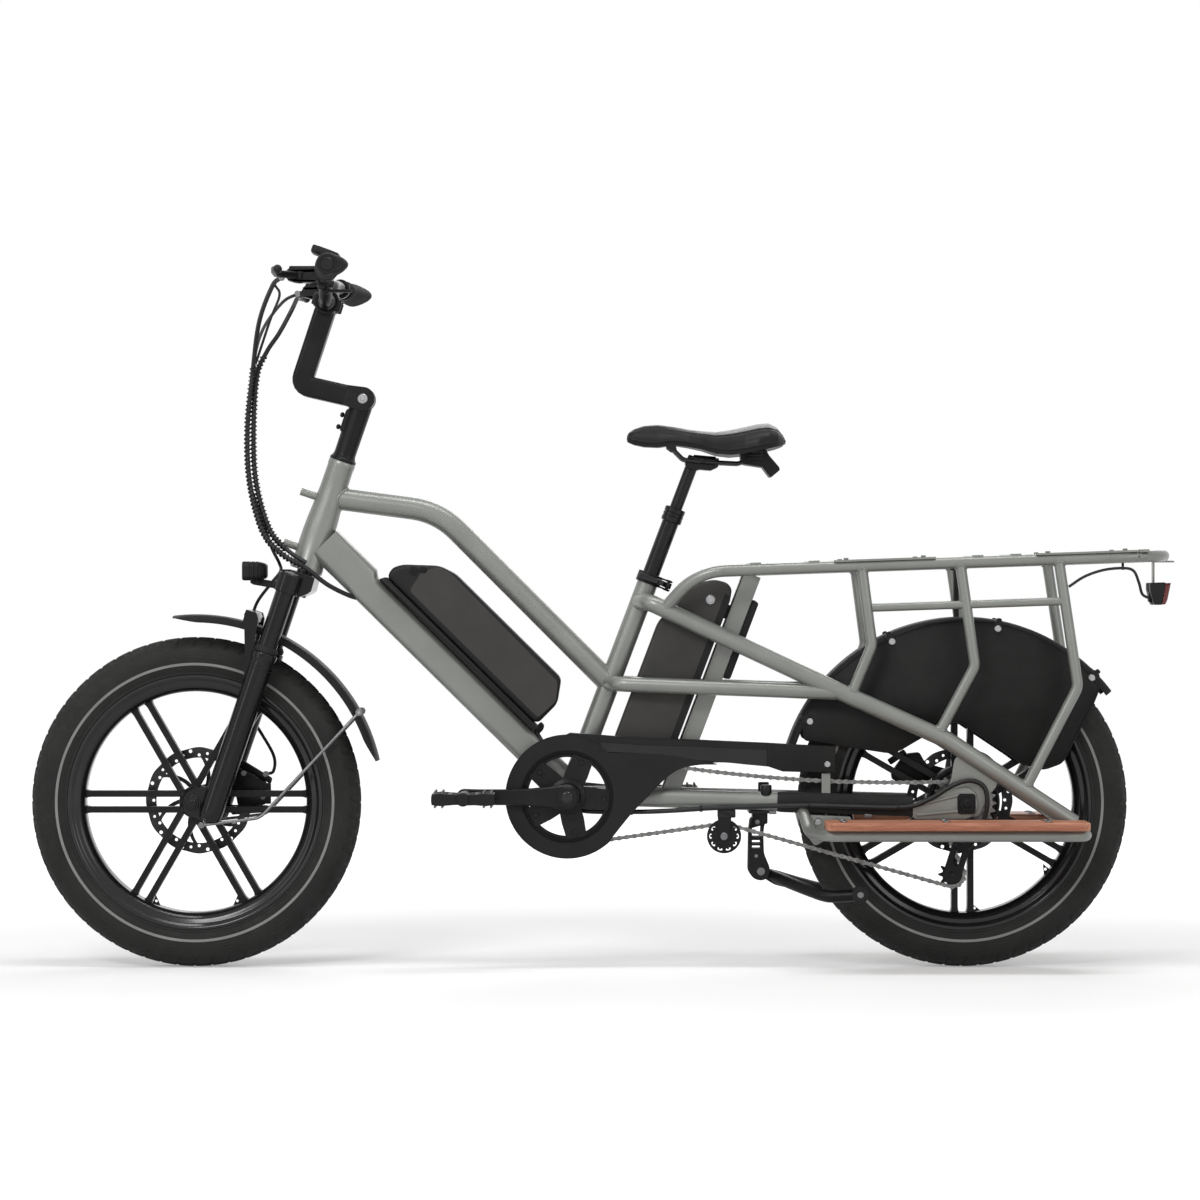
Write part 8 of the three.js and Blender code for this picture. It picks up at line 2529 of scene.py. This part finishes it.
def stay_sleeve():
    section = [(math.copysign(abs(math.cos(a)) ** 0.8, math.cos(a)) * 10.4, math.copysign(
        abs(math.sin(a)) ** 0.8, math.sin(a)) * 17.2) for a in (FULL * k / 36 for k in range(36))]
    stations = [stay_at(288 + 224 * i / 40) for i in range(41)]
    return [sweep(stations, section, ACROSS, scale=lambda t: 0.95 + 0.05 * min(1, 30 * t, 30 * (1 - t)))]


def strap_ends():
    parts = []
    for x in (129, 280, 438):
        place = Vector(stay_at(x)) + Vector((0, -2, -17))
        parts.append(sweep([place + Vector((a, 0, 0)) for a in (-6, -5.4, 5.4, 6)], rounded(7, 7.6, 2.4, 4),
                           ACROSS))
    return parts


def clamp_heads():
    parts = []
    for side in SIDES:
        x, y, z = stay_at(269, side)
        parts.append(lathe([(0.01, 10), (8.8, 10), (9.4, 11), (9.4, 26), (8.2, 27.6), (0.01, 27.6)],
                           (x, y, z), UP, 32, closed=True))
    return parts


def foot_plates():
    """The plates that hold the foot bars under the stays, and their bolts."""
    plates, bolts = [], []
    for side in SIDES:
        outline = softened_outline([(328, 258), (410, 254), (410, 240), (372, 236), (366, 214), (350, 205),
                                    (341, 216)], 5)
        y0, y1 = sorted((side * 62, side * 68))
        plates.append(cushion(outline, y0, y1, 1, 3))
        for x in (355, 385):
            bolts.append(drum(6, 67.6, 71, (x, 0, 246), (0, side, 0), 1.2, 26))
            bolts.append(hexagon(5.4, 70, 72, (x, 0, 246), (0, side, 0)))
    return plates, bolts


def dropout_relief():
    """The raised casting on the outside of the near dropout, with two ribs."""
    outline = softened_outline([(508, 277.3), (521.4, 280.4), (581.7, 301.9), (601.8, 305), (616, 295.2),
                                (620.6, 273),
                                (615.2, 257.2), (601.8, 250.5), (512.4, 250.5)], 6)
    parts = [cushion(outline, -83, -77, 2.2, 4)]
    for (x0, z0), (x1, z1) in (((520, 274), (588, 291)), ((520, 258), (586, 264))):
        parts.append(cushion(capsule((x0, z0), (x1, z1), 3, 20), -85.6, -82, 1.8, 4))
    return parts


def axle_nuts():
    parts = []
    for side in SIDES:
        seat = (REAR_X, 0, AXLE_Z)
        washer = [(REAR_X + a, AXLE_Z + b) for a, b in rounded(30, 34, 5, 4)]
        start = 83 if side < 0 else 78.4
        parts.append(plate(washer, *sorted((side * start, side * (start + 2.6)))))
        parts.append(hexagon(25, start + 2.6, start + 9, seat, (0, side, 0)))
        parts.append(drum(7, start, start + 13, seat, (0, side, 0), 1.2, 30))
    parts.append(drum(7, -80, 80, (REAR_X, 0, AXLE_Z), ACROSS, 0.6, 30))
    return parts


bar_plates, plate_bolts = foot_plates()
make("foot_plates", bar_plates, "paint", "frame", 40)
make("foot_plate_bolts", plate_bolts, "steel", "frame", 40)
make("dropout_casting", dropout_relief(), "paint", "frame", 40)
make("axle_nuts", axle_nuts(), "metal", "frame", 34, bevel=0.6, replaced=["rear_axle"])
make("stay_sleeve", stay_sleeve(), "grip", "frame", 50)
make("strap_ends", strap_ends(), "dull_steel", "frame", 40)
make("clamp_heads", clamp_heads(), "metal", "frame", 40)
REPLACED = {
    "main_frame", "front_tyre", "rear_tyre", "front_wheel", "rear_wheel", "front_disc", "rear_disc",
    "fork_upper",
    "fork_lower", "stem_lower", "stem_arm", "handlebar", "near_grip", "far_grip", "near_brake_housing",
    "far_brake_housing", "near_brake_lever", "far_brake_lever", "display", "shifter", "shifter_paddle",
    "headlight",
    "chain", "chainring", "near_crank_arm", "far_crank_arm", "near_pedal", "far_pedal", "cassette",
    "guide_jockey",
    "tension_jockey", "idler_wheel"}
REPLACED |= {
    "seat_clamp", "seat_lever", "seatpost_lower", "seatpost_upper", "saddle_base", "saddle_cover",
    "front_fender",
    "rear_fender", "near_skirt", "far_skirt", "front_battery", "rear_battery", "control_box",
    "near_footboard",
    "far_footboard", "tail_light"}
REPLACED |= {
    "chain_case", "derailleur", "idler_bracket", "kickstand_bracket", "kickstand", "front_caliper",
    "rear_caliper",
    "cable_bundle", "rear_cables", "tail_light_lead", "front_battery_cradle", "rear_axle"}
DRESS = {
    "front_battery": "casing", "rear_battery": "casing", "near_footboard": "wood", "chainring": "metal",
    "far_footboard": "wood", "saddle_cover": "leather", "tail_light": "lamp",
}
for node in nodes:
    if node in REPLACED:
        continue
    surface = DRESS.get(node)
    if not surface:
        slot = nodes[node].material_slots[0].material.name
        surface = {"black_plastic": "plastic", "black_metal": "metal", "bare_steel": "steel",
                   "grip_rubber": "grip", "tyre_rubber": "tyre"}[slot]
    dress(node, surface)


# Floor, light and camera


def pale_ground(name, color):
    """A white floor that keeps the shadow near the object and melts into the backdrop further out."""
    material = bpy.data.materials.new(name)
    material.use_nodes = True
    tree = material.node_tree
    shader = tree.nodes["Principled BSDF"]
    coords = add_node(tree, "ShaderNodeTexCoord").outputs["Object"]
    tint = ramp(tree, noise_of(tree, coords, 3, 3), [(0.3, color), (0.7, tuple(c * 1.02 for c in color))])
    tree.links.new(tint, shader.inputs["Base Color"])
    shader.inputs["Roughness"].default_value = 0.9
    shader.inputs["Specular IOR Level"].default_value = 0.2
    path = add_node(tree, "ShaderNodeLightPath")
    seen = add_node(tree, "ShaderNodeMath",
                    {0: path.outputs["Is Camera Ray"], 1: path.outputs["Is Glossy Ray"]},
                    operation="MAXIMUM").outputs[0]
    seen = add_node(tree, "ShaderNodeMath", {0: seen, 1: path.outputs["Is Transmission Ray"]},
                    operation="MAXIMUM").outputs[0]
    away = add_node(tree, "ShaderNodeVectorMath", {0: coords}, operation="LENGTH").outputs["Value"]
    spread = add_node(tree, "ShaderNodeMapRange",
                      {"Value": away, "From Min": 1.0, "From Max": 3.5, "To Min": 0.22,
                       "To Max": 0.8}).outputs[0]
    shader.inputs["Emission Color"].default_value = (1, 1, 1, 1)
    level = add_node(tree, "ShaderNodeMath", {0: seen, 1: spread}, operation="MULTIPLY").outputs[0]
    tree.links.new(level, shader.inputs["Emission Strength"])
    return material


floor_mesh = bpy.data.meshes.new("floor")
HALF_FLOOR = 12
floor_mesh.from_pydata(
    [(-HALF_FLOOR, -HALF_FLOOR, 0), (HALF_FLOOR, -HALF_FLOOR, 0), (HALF_FLOOR, HALF_FLOOR, 0),
     (-HALF_FLOOR, HALF_FLOOR, 0)], [], [(0, 1, 2, 3)])
floor = bpy.data.objects.new("floor", floor_mesh)
floor.data.materials.append(pale_ground("pale_floor", (0.80, 0.80, 0.80)))
bpy.context.scene.collection.objects.link(floor)

world = bpy.data.worlds.new("studio")
bpy.context.scene.world = world
world.use_nodes = True
tree = world.node_tree
path = add_node(tree, "ShaderNodeLightPath")
shown = add_node(tree, "ShaderNodeMath",
                 {0: path.outputs["Is Camera Ray"], 1: path.outputs["Is Glossy Ray"]},
                 operation="MAXIMUM").outputs[0]
shown = add_node(tree, "ShaderNodeMath", {0: shown, 1: path.outputs["Is Transmission Ray"]},
                 operation="MAXIMUM").outputs[0]
strength = add_node(tree, "ShaderNodeMapRange", {"Value": shown, "To Min": 0.30, "To Max": 1.0}).outputs[0]
backdrop = tree.nodes["Background"]
backdrop.inputs["Color"].default_value = (1, 1, 1, 1)
tree.links.new(strength, backdrop.inputs["Strength"])


def area_light(name, place, target, size, power):
    data = bpy.data.lights.new(name, "AREA")
    data.shape = "RECTANGLE"
    data.size, data.size_y = size
    data.energy = power
    lamp = bpy.data.objects.new(name, data)
    lamp.location = place
    lamp.rotation_euler = (Vector(target) - Vector(place)).to_track_quat("-Z", "Y").to_euler()
    bpy.context.scene.collection.objects.link(lamp)


area_light("key_light", (-1.8, -3.8, 2.9), (0, 0, 0.5), (1.6, 1.0), 84)
area_light("top_light", (0.1, -0.6, 3.4), (0, 0, 0.2), (2.6, 0.5), 42)
area_light("side_light", (-3.1, -2.3, 1.4), (-0.4, 0, 0.5), (0.35, 1.9), 11)
area_light("fill_light", (2.8, -3.0, 1.6), (0, 0, 0.5), (2.0, 1.6), 25)
area_light("rim_light", (0.5, 3.4, 2.6), (0, 0, 0.5), (3.0, 1.4), 40)

CAMERA_PLACE = (-0.005, -6.9, 0.614)
HALF_VIEW = 1.0068
camera_data = bpy.data.cameras.new("camera")
camera_data.angle = 2 * math.atan(HALF_VIEW / -CAMERA_PLACE[1])
camera = bpy.data.objects.new("camera", camera_data)
camera.location = CAMERA_PLACE
camera.rotation_euler = (math.pi / 2, 0, 0)
bpy.context.scene.collection.objects.link(camera)
bpy.context.scene.camera = camera
bpy.context.scene.view_settings.view_transform = "Standard"
